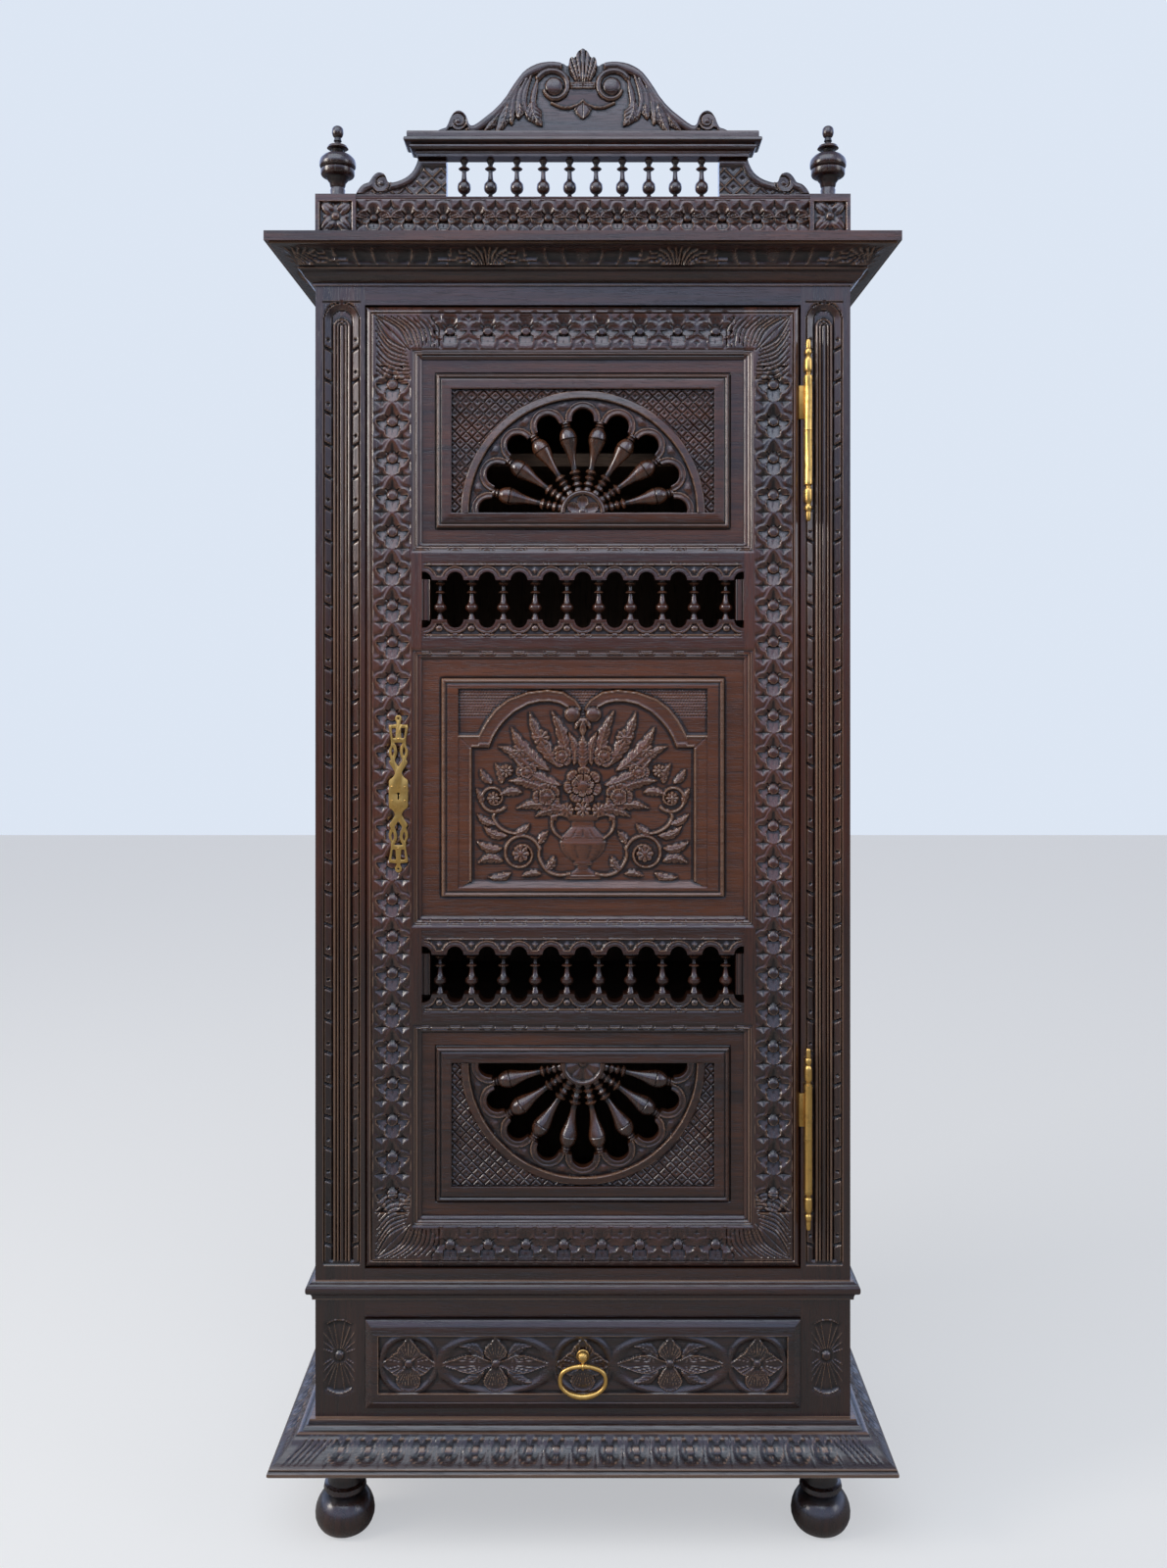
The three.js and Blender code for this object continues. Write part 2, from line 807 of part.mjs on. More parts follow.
// The cap's front and ends carry the moulding, its back is plain, and the spindles hang under it.
function capWithSpindles() {
  const bottom = friezeHeight + topSpindleHeight;
  const coreHalf = capHalfWidth - capReach;
  const points = sized(capShares, capReach, capHeight).map(([p, z]) => [p, bottom + z]);
  const back = friezeThickness + capBackReach;
  const edge = mitred(
    outline([[-lap, bottom], ...points, [-lap, bottom + capHeight]]),
    coreHalf, 0, back,
  );
  const core = box([-coreHalf, coreHalf], [0, back], [bottom, bottom + capHeight]);
  const spindles = spindleRow(topSpindles, topSpindlePitch, topSpindleRadius,
    friezeHeight + seatGap + lap, bottom + lap, friezeMiddle);
  return joined([core, edge, ...spindles]);
}

// Half a scroll bracket: [share of length from its inner edge, share of height]
const bracketShares = [
  [0, 0],
  [1, 0],
  [1, 0.1],
  [0.97, 0.22],
  [0.915, 0.35],
  [0.86, 0.385],
  [0.83, 0.5],
  [0.79, 0.61],
  [0.745, 0.65],
  [0.7, 0.61],
  [0.668, 0.52],
  [0.655, 0.4],
  [0.633, 0.375],
  [0.548, 0.4],
  [0.452, 0.51],
  [0.38, 0.655],
  [0.333, 0.87],
  [0.317, 1],
  [0, 1],
];

function bracket(side) {
  const height = topSpindleHeight - 2 * seatGap;
  const points = sized(bracketShares, bracketLength, height).map(([along, z]) => [
    side * (bracketInner + along),
    friezeHeight + seatGap + z,
  ]);
  return plate(outline(points), [0, friezeThickness]);
}

// Half the crest: [share of half width, share of height], from the end to the middle
const crestShares = [
  [1, 0],
  [0.99, 0.06],
  [0.93, 0.1],
  [0.905, 0.19],
  [0.878, 0.27],
  [0.845, 0.297],
  [0.81, 0.27],
  [0.785, 0.2],
  [0.775, 0.14],
  [0.74, 0.125],
  [0.668, 0.215],
  [0.561, 0.37],
  [0.488, 0.55],
  [0.434, 0.68],
  [0.348, 0.805],
  [0.234, 0.857],
  [0.127, 0.835],
  [0.1, 0.8],
  [0.087, 0.913],
  [0.062, 0.89],
  [0.045, 0.95],
  [0.022, 0.99],
];

function crest() {
  const right = sized(crestShares, crestHalfWidth, crestHeight);
  const left = right.map(([x, z]) => [-x, z]).reverse();
  const bottom = friezeHeight + topSpindleHeight + capHeight + seatGap;
  const points = [...right, [0, crestHeight], ...left].map(([x, z]) => [x, bottom + z]);
  const front = friezeMiddle - crestThickness / 2;
  return plate(outline(points), [front, front + crestThickness]);
}

const finialShares = [
  [0.52, 0],
  [0.44, 0.14],
  [0.44, 0.22],
  [0.85, 0.32],
  [1, 0.41],
  [0.6, 0.47],
  [0.9, 0.53],
  [0.55, 0.6],
  [0.28, 0.66],
  [0.58, 0.72],
  [0.2, 0.79],
  [0.32, 0.89],
  [0.14, 1],
];

piece("gallery_frieze", frieze(), oak, gallery);
piece("gallery_cap", capWithSpindles(), oak, gallery);
piece("crest", crest(), oak, gallery);
for (const [name, side] of sides) {
  piece(`${name}_gallery_bracket`, bracket(side), oak, gallery);
  const profile = sized(finialShares, finialRadius, finialHeight);
  const finial = piece(`${name}_finial`, solidOf(turnedGeometry(profile, roundSides)), oak, gallery);
  finial.position.set(
    side * (blockOuter + blockInner) / 2,
    endBlockDepth / 2 - endBlockReach,
    endBlockHeight + seatGap,
  );
}

// Door: where its rails and openings come, from its lower edge

const sightHalf = doorHalf - doorStileWidth;
const doorSpindlePitch = (2 * (sightHalf - doorSpindleEnd)) / doorSpindles;
const lowerFanZ = [doorBottomRail, doorBottomRail + fanOpening];
const lowerSpindleZ = [
  lowerFanZ[1] + galleryLowRail,
  lowerFanZ[1] + galleryLowRail + spindleOpening,
];
const centreZ = [
  lowerSpindleZ[1] + galleryHighRail,
  lowerSpindleZ[1] + galleryHighRail + centreOpening,
];
const upperSpindleZ = [
  centreZ[1] + galleryLowRail,
  centreZ[1] + galleryLowRail + spindleOpening,
];
const upperFanZ = [
  upperSpindleZ[1] + galleryHighRail,
  upperSpindleZ[1] + galleryHighRail + fanOpening,
];
const panelOpenings = [lowerFanZ, centreZ, upperFanZ];
const grooveY = [
  panelFaceSetback + panelThickness - grooveWidth,
  panelFaceSetback + panelThickness + tongueGap,
];

// The groove and the moulded edge that run around each panel opening, cut from stiles and rails
const frameCuts = panelOpenings.flatMap((zs) => {
  const xs = [-sightHalf, sightHalf];
  const quirk = stickingWidth * quirkShare;
  return [
    box(grown(xs, grooveDepth), grooveY, grown(zs, grooveDepth)),
    taperedBox(grown(xs, stickingWidth), [-lap, quirkDepth], grown(zs, stickingWidth),
      stickingWidth - quirk),
    taperedBox(grown(xs, quirk), [quirkDepth - lap, stickingDepth], grown(zs, quirk), quirk),
  ];
});

function keyhole(ys) {
  const x = -doorHalf + lockFromEdge;
  const shape = new THREE.Shape();
  shape.absarc(x, lockRise, keyholeRadius, 0, Math.PI, false);
  shape.lineTo(x - keyholeSlot / 2, lockRise - keyholeDrop);
  shape.lineTo(x + keyholeSlot / 2, lockRise - keyholeDrop);
  return plate(shape, ys);
}

function doorStile(side) {
  const body = box([side * sightHalf, side * doorHalf], [0, doorThickness], [0, doorHeight]);
  const framed = cutFrom(body, frameCuts);
  if (side < 0) return framed.subtract(keyhole([-overrun, doorThickness + overrun]));
  const leafRoom = leafThickness + slideGap;
  return cutFrom(framed, hingeSeams.map(([, rise]) => box(
    [doorHalf - leafRoom, doorHalf + overrun],
    [-overrun, leafDepth + slideGap],
    [rise + leafStart - slideGap, rise + leafStart + leafLength / 2 + slideGap],
  )));
}

const doorSpan = [-sightHalf, sightHalf];
const doorRail = (zs) => cutFrom(box(doorSpan, [0, doorThickness], zs), frameCuts);
piece("door_lock_stile", doorStile(-1), oak, door);
piece("door_hinge_stile", doorStile(1), oak, door);
piece("door_bottom_rail", doorRail([0, doorBottomRail]), oak, door);
piece("door_top_rail", doorRail([upperFanZ[1], doorHeight]), oak, door);

// Scalloped rails: a half-round notch between neighbouring spindles

function scalloped(zs, edge) {
  const rail = cutFrom(
    box(doorSpan, [galleryRailSetback, doorThickness], zs), frameCuts,
  );
  const notches = Array.from({ length: doorSpindles + 1 }, (_, i) => {
    const notch = new THREE.CylinderGeometry(scallopRadius, scallopRadius,
      doorThickness + 2 * overrun, roundSides);
    const x = (i - doorSpindles / 2) * doorSpindlePitch;
    return solidOf(notch.translate(x, doorThickness / 2, edge));
  });
  return cutFrom(rail, notches);
}

for (const [name, zs] of [["lower", lowerSpindleZ], ["upper", upperSpindleZ]]) {
  const spindles = spindleRow(doorSpindles, doorSpindlePitch, doorSpindleRadius,
    zs[0], zs[1] - seatGap - lap, doorThickness / 2 + galleryRailSetback / 2);
  const lowRail = joined([scalloped([zs[0] - galleryLowRail, zs[0]], zs[0]), ...spindles]);
  piece(`${name}_gallery_with_spindles`, lowRail, oak, door);
  piece(`${name}_gallery_top_rail`, scalloped([zs[1], zs[1] + galleryHighRail], zs[1]), oak, door);
}

// Panels: a tongue all round, a raised frame and a sunk ground

const panelBack = panelFaceSetback + panelThickness;
const groundY = panelFaceSetback + groundDepth;

function blankPanel(zs) {
  const reach = grooveDepth - tongueGap;
  const tongue = box(grown(doorSpan, reach), [grooveY[0] + tongueGap, panelBack], grown(zs, reach));
  const sight = box(grown(doorSpan, -seatGap), [groundY - lap, panelBack], grown(zs, -seatGap));
  const raised = taperedBox(
    grown(doorSpan, -panelMargin + lap), [groundY, panelFaceSetback], grown(zs, -panelMargin + lap), lap,
  );
  return joined([tongue, sight, raised]);
}

const sunkHalf = sightHalf - panelMargin - groundMargin;
const fanMargin = panelMargin + groundMargin;
const archRadius = Math.min(sunkHalf - archClear, fanOpening - 2 * fanMargin - archCrownGap);

// Radii of the fan's parts as shares of the arch's radius
const fanPartShares = {
  archInner: 0.93,
  borderOuter: 0.878,
  opening: 0.754,
  lobe: 0.0884,
  lobeReach: 0.0147,
  hub: 0.183,
  spindle: 0.0725,
};
const fanPart = (name) => archRadius * fanPartShares[name];
const fanRadius = fanPart("opening");
const hubRadius = fanPart("hub");

// A point on a fan, at an angle in degrees from its middle line. up is 1 or -1.
function fanPoint(centre, up, radius, degrees) {
  const angle = THREE.MathUtils.degToRad(degrees);
  return [radius * Math.sin(angle), centre + up * radius * Math.cos(angle)];
}

// The opening: round lobes with flats between them, where the spindles end
function lobedOpening(centre, up) {
  const points = [];
  const outerLobe = (fanLobes - 1) / 2;
  const lobeSpread = THREE.MathUtils.radToDeg(fanPart("lobe") / fanRadius);
  for (let lobe = -outerLobe; lobe <= outerLobe; lobe++) {
    const middle = lobe * fanLobeStep;
    for (let step = 0; step <= curveSteps; step++) {
      const turn = Math.PI * (step / curveSteps);
      const degrees = middle - lobeSpread * Math.cos(turn);
      const radius = fanRadius + (fanPart("lobe") + fanPart("lobeReach")) * Math.sin(turn);
      if (Math.abs(degrees) <= 90) points.push([radius, degrees]);
    }
  }
  const arch = points.map(([radius, degrees]) => fanPoint(centre, up, radius, degrees));
  const [first, last] = [arch[0], arch[arch.length - 1]];
  return outline([[first[0], centre], ...arch, [last[0], centre]]);
}

function halfRing(centre, up, outer, inner) {
  const steps = 4 * curveSteps;
  const arc = (radius) => Array.from({ length: steps + 1 }, (_, i) =>
    fanPoint(centre, up, radius, -90 + (180 * i) / steps));
  return outline([...arc(outer), ...arc(inner).reverse()]);
}

function fanPanel(zs, up) {
  const centre = up > 0 ? zs[0] + fanMargin : zs[1] - fanMargin;
  const ground = box(
    [-sunkHalf, sunkHalf], [panelFaceSetback - overrun, groundY], grown(zs, -fanMargin),
  );
  const arch = plate(
    halfRing(centre, up, archRadius, fanPart("archInner")), [panelFaceSetback + lap, groundY + lap],
  );
  const border = plate(
    halfRing(centre, up, fanPart("borderOuter"), fanRadius - lap),
    [panelFaceSetback + lap, groundY + lap],
  );
  const opening = plate(lobedOpening(centre, up), [-overrun, doorThickness + overrun]);
  return joined([blankPanel(zs).subtract(ground), arch, border]).subtract(opening);
}

const fanSpindleShares = [
  [0.46, 0],
  [0.6, 0.13],
  [0.4, 0.18],
  [0.56, 0.25],
  [0.33, 0.35],
  [0.95, 0.68],
  [1, 0.77],
  [0.36, 0.92],
  [0.46, 0.96],
  [0.34, 1],
];

// The hub and its spindles, which spread between the lobes
function fan(zs, up) {
  const centre = (up > 0 ? zs[0] + fanMargin : zs[1] - fanMargin) + up * seatGap;
  const middle = panelFaceSetback + panelThickness / 2;
  const hub = new THREE.Shape();
  hub.absarc(0, centre, hubRadius, up > 0 ? 0 : Math.PI, up > 0 ? Math.PI : 2 * Math.PI, false);
  const hubSolid = plate(hub, [middle - hubThickness / 2, middle + hubThickness / 2]);
  const length = fanRadius - 2 * seatGap - hubRadius + 2 * lap;
  const spindle = turnedGeometry(sized(fanSpindleShares, fanPart("spindle"), length));
  spindle.translate(0, 0, hubRadius - 2 * lap);
  const spindles = Array.from({ length: fanLobes - 1 }, (_, i) => {
    const degrees = (i - (fanLobes - 2) / 2) * fanLobeStep + (up > 0 ? 0 : 180);
    const placed = spindle.clone().rotateY(THREE.MathUtils.degToRad(degrees));
    return solidOf(placed.translate(0, middle, centre - up * seatGap));
  });
  return joined([hubSolid, ...spindles]);
}

piece("lower_fan_panel", fanPanel(lowerFanZ, -1), panelOak, door);
piece("upper_fan_panel", fanPanel(upperFanZ, 1), panelOak, door);
piece("lower_fan", fan(lowerFanZ, -1), turnedOak, door);
piece("upper_fan", fan(upperFanZ, 1), turnedOak, door);

// Centre panel: the sunk field has a double arch above its shoulders and a drop between the arches

function doubleArch(bottom, top) {
  const inner = sunkHalf - archSide;
  const shoulder = top - archShoulder;
  const crown = top - archRise;
  const middle = (inner - archSide + dropHalf) / 2;
  const shape = new THREE.Shape();
  shape.moveTo(-inner, bottom + archFoot);
  shape.lineTo(inner, bottom + archFoot);
  shape.lineTo(inner, shoulder);
  shape.lineTo(inner - archSide, shoulder);
  shape.quadraticCurveTo(inner - archSide, crown, middle, crown);
  shape.quadraticCurveTo(dropHalf, crown, dropHalf, top - dropDepth + dropHalf);
  shape.lineTo(0, top - dropDepth);
  shape.lineTo(-dropHalf, top - dropDepth + dropHalf);
  shape.quadraticCurveTo(-dropHalf, crown, -middle, crown);
  shape.quadraticCurveTo(archSide - inner, crown, archSide - inner, shoulder);
  shape.lineTo(-inner, shoulder);
  return shape;
}

function centrePanel() {
  const surround = grown(centreZ, -panelMargin - centreMargin);
  const front = panelFaceSetback - overrun;
  const border = box([-sunkHalf, sunkHalf], [front, panelFaceSetback + centreStep], surround);
  const field = plate(doubleArch(...surround), [front, groundY]);
  return cutFrom(blankPanel(centreZ), [border, field]);
}

piece("centre_panel", centrePanel(), panelOak, door);

// Lock: a case on the back of the door, a bolt that slides out of its edge, and a pierced plate

const lockX = [boltTipX, boltTipX + lockWidth];

function lockCase() {
  const body = box(lockX, [doorThickness + seatGap, doorThickness + seatGap + lockThickness],
    [lockRise - lockHeight / 2, lockRise + lockHeight / 2]);
  const way = box(
    [boltTipX - overrun, boltTipX + boltLength + slideGap],
    [boltY - boltThickness / 2 - slideGap, boltY + boltThickness / 2 + slideGap],
    [lockRise - boltHeight / 2 - slideGap, lockRise + boltHeight / 2 + slideGap],
  );
  return cutFrom(body, [way, keyhole([doorThickness - overrun, boltY])]);
}

// A quarter of the plate: [share of half width, share of half height], from the middle to the end
const plateShares = [
  [0.96, 0.15],
  [0.9, 0.18],
  [0.5, 0.225],
  [0.36, 0.26],
  [0.4, 0.285],
  [0.66, 0.34],
  [0.93, 0.41],
  [0.74, 0.43],
  [1, 0.53],
  [0.76, 0.62],
  [0.76, 0.68],
  [1, 0.85],
  [0.92, 0.88],
  [0.2, 0.885],
  [0.15, 0.91],
  [0.36, 0.95],
  [0.2, 0.99],
];
const plateOpeningShares = [
  [0, 0.35],
  [0.36, 0.425],
  [0.14, 0.54],
  [0.42, 0.645],
];
const plateLensShares = [
  [0.56, 0.49],
  [0.7, 0.54],
  [0.56, 0.59],
  [0.44, 0.54],
];
const plateSlotShares = [
  [0.3, 0.715],
  [0.6, 0.715],
  [0.68, 0.83],
  [0.26, 0.83],
];

function keyPlate() {
  const middleX = -doorHalf + lockFromEdge;
  const scaled = (shares) => sized(shares, plateWidth / 2, plateHeight / 2);
  const flip = (points, x, z) => points.map(([a, b]) => [middleX + x * a, lockRise + z * b]);
  const quarter = scaled(plateShares);
  const edge = [
    ...flip(quarter, 1, 1),
    ...flip(quarter, -1, 1).reverse(),
    ...flip(quarter, -1, -1),
    ...flip(quarter, 1, -1).reverse(),
  ];
  const ys = [-seatGap - plateThickness, -seatGap];
  const through = [-overrun, overrun];
  const cutters = [keyhole(through)];
  for (const end of [1, -1]) {
    const right = scaled(plateOpeningShares);
    const left = right.slice(1).reverse().map(([x, z]) => [-x, z]);
    cutters.push(plate(outline(flip([...right, ...left], 1, end)), through));
    for (const way of [1, -1])
      for (const shares of [plateLensShares, plateSlotShares])
        cutters.push(plate(outline(flip(scaled(shares), way, end)), through));
  }
  return cutFrom(plate(outline(edge), ys), cutters);
}

piece("lock_case", lockCase(), steel, door);
piece("lock_bolt", box(
  [boltTipX, boltTipX + boltLength],
  [boltY - boltThickness / 2, boltY + boltThickness / 2],
  [lockRise - boltHeight / 2, lockRise + boltHeight / 2],
), steel, door);
piece("key_plate", keyPlate(), brass, door);

// Drawer

const drawerHalf = openingHalf - drawerGap;
const drawerHeight = drawerOpeningHeight - 2 * drawerGap;
const frontBack = drawerFrontThickness - drawerReach;
const sideOuter = drawerHalf - drawerSideInset;
const drawerSideX = sideOuter - drawerSideThickness;
const drawerEnd = caseDepth - backThickness - drawerBackClear;
const bottomXs = [-drawerSideX - drawerTongue, drawerSideX + drawerTongue];
const bottomYs = [frontBack - drawerTongue, drawerEnd];
const bottomZs = [drawerBottomRise, drawerBottomRise + drawerBottomThickness];
const bottomGroove = box(grown(bottomXs, tongueGap), grown(bottomYs, tongueGap),
  grown(bottomZs, tongueGap));
const drawerSideZ = [seatGap, seatGap + drawerSideHeight];

const drawerFront = joined([
  box([-drawerHalf, drawerHalf], [drawerBevelDepth - drawerReach, frontBack], [0, drawerHeight]),
  taperedBox([-drawerHalf, drawerHalf], [drawerBevelDepth - drawerReach, -drawerReach],
    [0, drawerHeight], drawerBevel),
]);
piece("drawer_front", drawerFront.subtract(bottomGroove), oak, drawer);
for (const [name, side] of sides) {
  const board = box([side * drawerSideX, side * sideOuter], [frontBack, drawerEnd], drawerSideZ);
  piece(`drawer_${name}_side`, board.subtract(bottomGroove), insideOak, drawer);
}
piece("drawer_back", box([-drawerSideX, drawerSideX], [drawerEnd - drawerSideThickness, drawerEnd],
  [bottomZs[1] + tongueGap, drawerSideZ[1]]), insideOak, drawer);
piece("drawer_bottom", box(bottomXs, bottomYs, bottomZs), insideOak, drawer);

// Pull: the post's dome and eye, and the bail

const domeShares = [
  [1, 0],
  [0.86, 0.5],
  [0.5, 0.88],
];

function pullPost() {
  const profile = sized(domeShares, postRadius, postDome);
  const dome = turnedGeometry(profile, roundSides).rotateX(Math.PI / 2);
  const eye = new THREE.CylinderGeometry(eyeRadius, eyeRadius, eyeThickness, roundSides);
  eye.rotateZ(Math.PI / 2).translate(0, -eyeReach, -eyeDrop);
  const boreRadius = bailWire / 2 + slideGap;
  const bore = new THREE.CylinderGeometry(boreRadius, boreRadius, eyeThickness + overrun, roundSides);
  bore.rotateZ(Math.PI / 2).translate(0, -eyeReach, -eyeDrop);
  return cutFrom(joined([solidOf(dome), solidOf(eye)]), [solidOf(bore)]);
}

// The oval ring: a torus whose centre line is drawn out to an ellipse, with collars and beads
function pullBail() {
  const wire = bailWire / 2;
  const [wide, tall] = [bailWidth / 2 - wire, bailHeight / 2 - wire];
  const ring = new THREE.TorusGeometry(wide, wire, bailSides, bailSteps);
  const place = ring.getAttribute("position");
  for (let i = 0; i < place.count; i++) {
    const [x, y] = [place.getX(i), place.getY(i)];
    const angle = Math.atan2(y, x);
    const out = Math.hypot(x, y) - wide;
    const normal = new THREE.Vector2(tall * Math.cos(angle), wide * Math.sin(angle)).normalize();
    place.setX(i, wide * Math.cos(angle) + out * normal.x);
    place.setY(i, tall * Math.sin(angle) + out * normal.y);
  }
  ring.applyMatrix4(standUp).translate(0, 0, -tall);
  const round = (radius, length, x, z) => {
    const bead = new THREE.SphereGeometry(radius, turnedSides, curveSteps);
    return solidOf(bead.rotateZ(Math.PI / 2).scale(length / (2 * radius), 1, 1).translate(x, 0, z));
  };
  const collars = [-1, 1].map((way) => {
    const collar = new THREE.CylinderGeometry(bailCollarRadius, bailCollarRadius, bailCollarWidth,
      turnedSides);
    return solidOf(collar.rotateZ(Math.PI / 2).translate(way * bailCollarOffset, 0, 0));
  });
  const beads = [-1, 1].map((way) =>
    round(bailBeadRadius, bailBeadLength, (way * bailBeadPitch) / 2, -2 * tall));
  return joined([solidOf(ring), ...collars, ...beads]);
}

piece("pull_post", pullPost(), brass, drawer).position.set(0, -drawerReach - seatGap, postRise);
piece("pull_bail", pullBail(), brass, drawer).position.set(
  0, -drawerReach - seatGap - eyeReach, postRise - eyeDrop,
);

export default cabinet;
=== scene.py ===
"""A carved oak bonnetiere cabinet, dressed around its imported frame.

Every piece is one operator. Sizes are in millimetres in the tables below and in metres in Blender.
"""

import math

import bpy
import numpy as np
from bpy.props import FloatProperty, FloatVectorProperty, PointerProperty
from mathutils import Matrix, Vector


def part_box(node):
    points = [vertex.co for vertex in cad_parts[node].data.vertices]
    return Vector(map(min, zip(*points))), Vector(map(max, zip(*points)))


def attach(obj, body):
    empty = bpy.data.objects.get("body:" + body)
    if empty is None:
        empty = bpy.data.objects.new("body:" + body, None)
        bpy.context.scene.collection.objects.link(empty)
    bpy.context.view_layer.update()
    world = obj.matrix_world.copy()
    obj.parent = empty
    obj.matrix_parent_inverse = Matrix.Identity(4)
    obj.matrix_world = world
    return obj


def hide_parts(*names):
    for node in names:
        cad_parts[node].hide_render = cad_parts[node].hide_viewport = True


bl_info = {
    "name": "Carved bonnetiere cabinet",
    "version": (1, 0, 0),
    "blender": (4, 5, 0),
    "location": "3D View > Sidebar > Bonnetiere",
    "description": "Carves, turns and polishes a bonnetiere cabinet around its frame",
    "category": "Object",
}

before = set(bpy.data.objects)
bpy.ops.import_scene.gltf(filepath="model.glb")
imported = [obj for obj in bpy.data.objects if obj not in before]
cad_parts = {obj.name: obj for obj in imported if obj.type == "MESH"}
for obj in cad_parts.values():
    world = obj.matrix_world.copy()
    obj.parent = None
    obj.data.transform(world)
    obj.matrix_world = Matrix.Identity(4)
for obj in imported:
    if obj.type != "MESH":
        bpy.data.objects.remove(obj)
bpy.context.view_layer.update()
MM = 0.001


def node_box(name):
    """A frame node's lowest and highest corners in millimetres."""
    low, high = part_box(name)
    return np.array(low) / MM, np.array(high) / MM


# Planes and heights that the carving shares, from the frame
CASE_LOW, CASE_HIGH = node_box("base_board")
FRONT = CASE_LOW[1]
BACK = CASE_HIGH[1]
HALF = CASE_HIGH[0]
DOOR_LOW, DOOR_HIGH = node_box("door_lock_stile")[0], node_box("door_hinge_stile")[1]
DOOR_FRONT, DOOR_BACK = DOOR_LOW[1], DOOR_HIGH[1]
SIGHT = node_box("door_top_rail")[1][0]


def length(name, description, default, low, high):
    return FloatProperty(
        name=name, description=description, default=default, unit="LENGTH", min=low, max=high
    )


def colour(name, description, default):
    return FloatVectorProperty(
        name=name, description=description, default=default, subtype="COLOR", size=3, min=0, max=1
    )


class CabinetSizes(bpy.types.PropertyGroup):
    """Sizes of the carving."""

    flower_size: length("Flower width", "Across one carved flower", 0.0435, 0.02, 0.06)
    flower_depth: length("Flower depth", "How deep the petals are scooped", 0.0050, 0.001, 0.008)
    cell: length(
        "Carving cell", "Distance between the points of carved faces", 0.0014, 0.0008, 0.01
    )


class CabinetColours(bpy.types.PropertyGroup):
    """Colours of the woods and metals."""

    # The dark colour also serves the painted shade in hollows and near the floor
    oak_dark: colour(
        "Stained oak, dark", "Hollows and dark grain of the stained oak", (0.0120, 0.0046, 0.0030)
    )
    oak_light: colour("Stained oak, light", "Face of the stained oak", (0.0780, 0.0225, 0.0110))
    # This lighter colour goes on every ridge, for rubbing and for a painted highlight
    oak_worn_and_highlight: colour("Worn edge", "Edges where the stain has rubbed thin", (0.2900, 0.1750, 0.1150))
    panel_warm: colour("Panel oak", "Warmer oak of the door's panels", (0.1250, 0.0390, 0.0160))
    turned_warm: colour("Turned oak", "Polished spindles of the fans", (0.1500, 0.0500, 0.0200))
    inside_oak: colour(
        "Inside oak", "Plain boards inside and at the back", (0.1500, 0.0850, 0.0480)
    )
    brass: colour("Brass", "Hinges, key plate and drawer pull", (0.7200, 0.4300, 0.1250))
    iron: colour("Iron", "Lock case and bolt", (0.3000, 0.2800, 0.2600))


# Shader maths


class Wire:
    """A shader socket with arithmetic. Plain numbers on either side become node inputs."""

    def __init__(self, board, socket):
        self.board = board
        self.socket = socket

    def _math(self, operation, first, second):
        return self.board.node(
            "ShaderNodeMath", {"operation": operation}, {0: first, 1: second}
        )[0]

    def __add__(self, other):
        return self._math("ADD", self, other)

    def __sub__(self, other):
        return self._math("SUBTRACT", self, other)

    def __mul__(self, other):
        return self._math("MULTIPLY", self, other)

    def __rsub__(self, other):
        return self._math("SUBTRACT", other, self)

    __radd__ = __add__
    __rmul__ = __mul__

    def least(self, other):
        return self._math("MINIMUM", self, other)

    def most(self, other):
        return self._math("MAXIMUM", self, other)

    def between(self, low, high):
        """0 below low, 1 above high, smooth between them."""
        return self.board.node(
            "ShaderNodeMapRange", {"interpolation_type": "SMOOTHSTEP"},
            {"Value": self, "From Min": low, "From Max": high},
        )["Result"]


class Outputs:
    """A node's outputs by name or number, as wires."""

    def __init__(self, board, made):
        self.board = board
        self.made = made

    def __getitem__(self, key):
        return Wire(self.board, self.made.outputs[key])


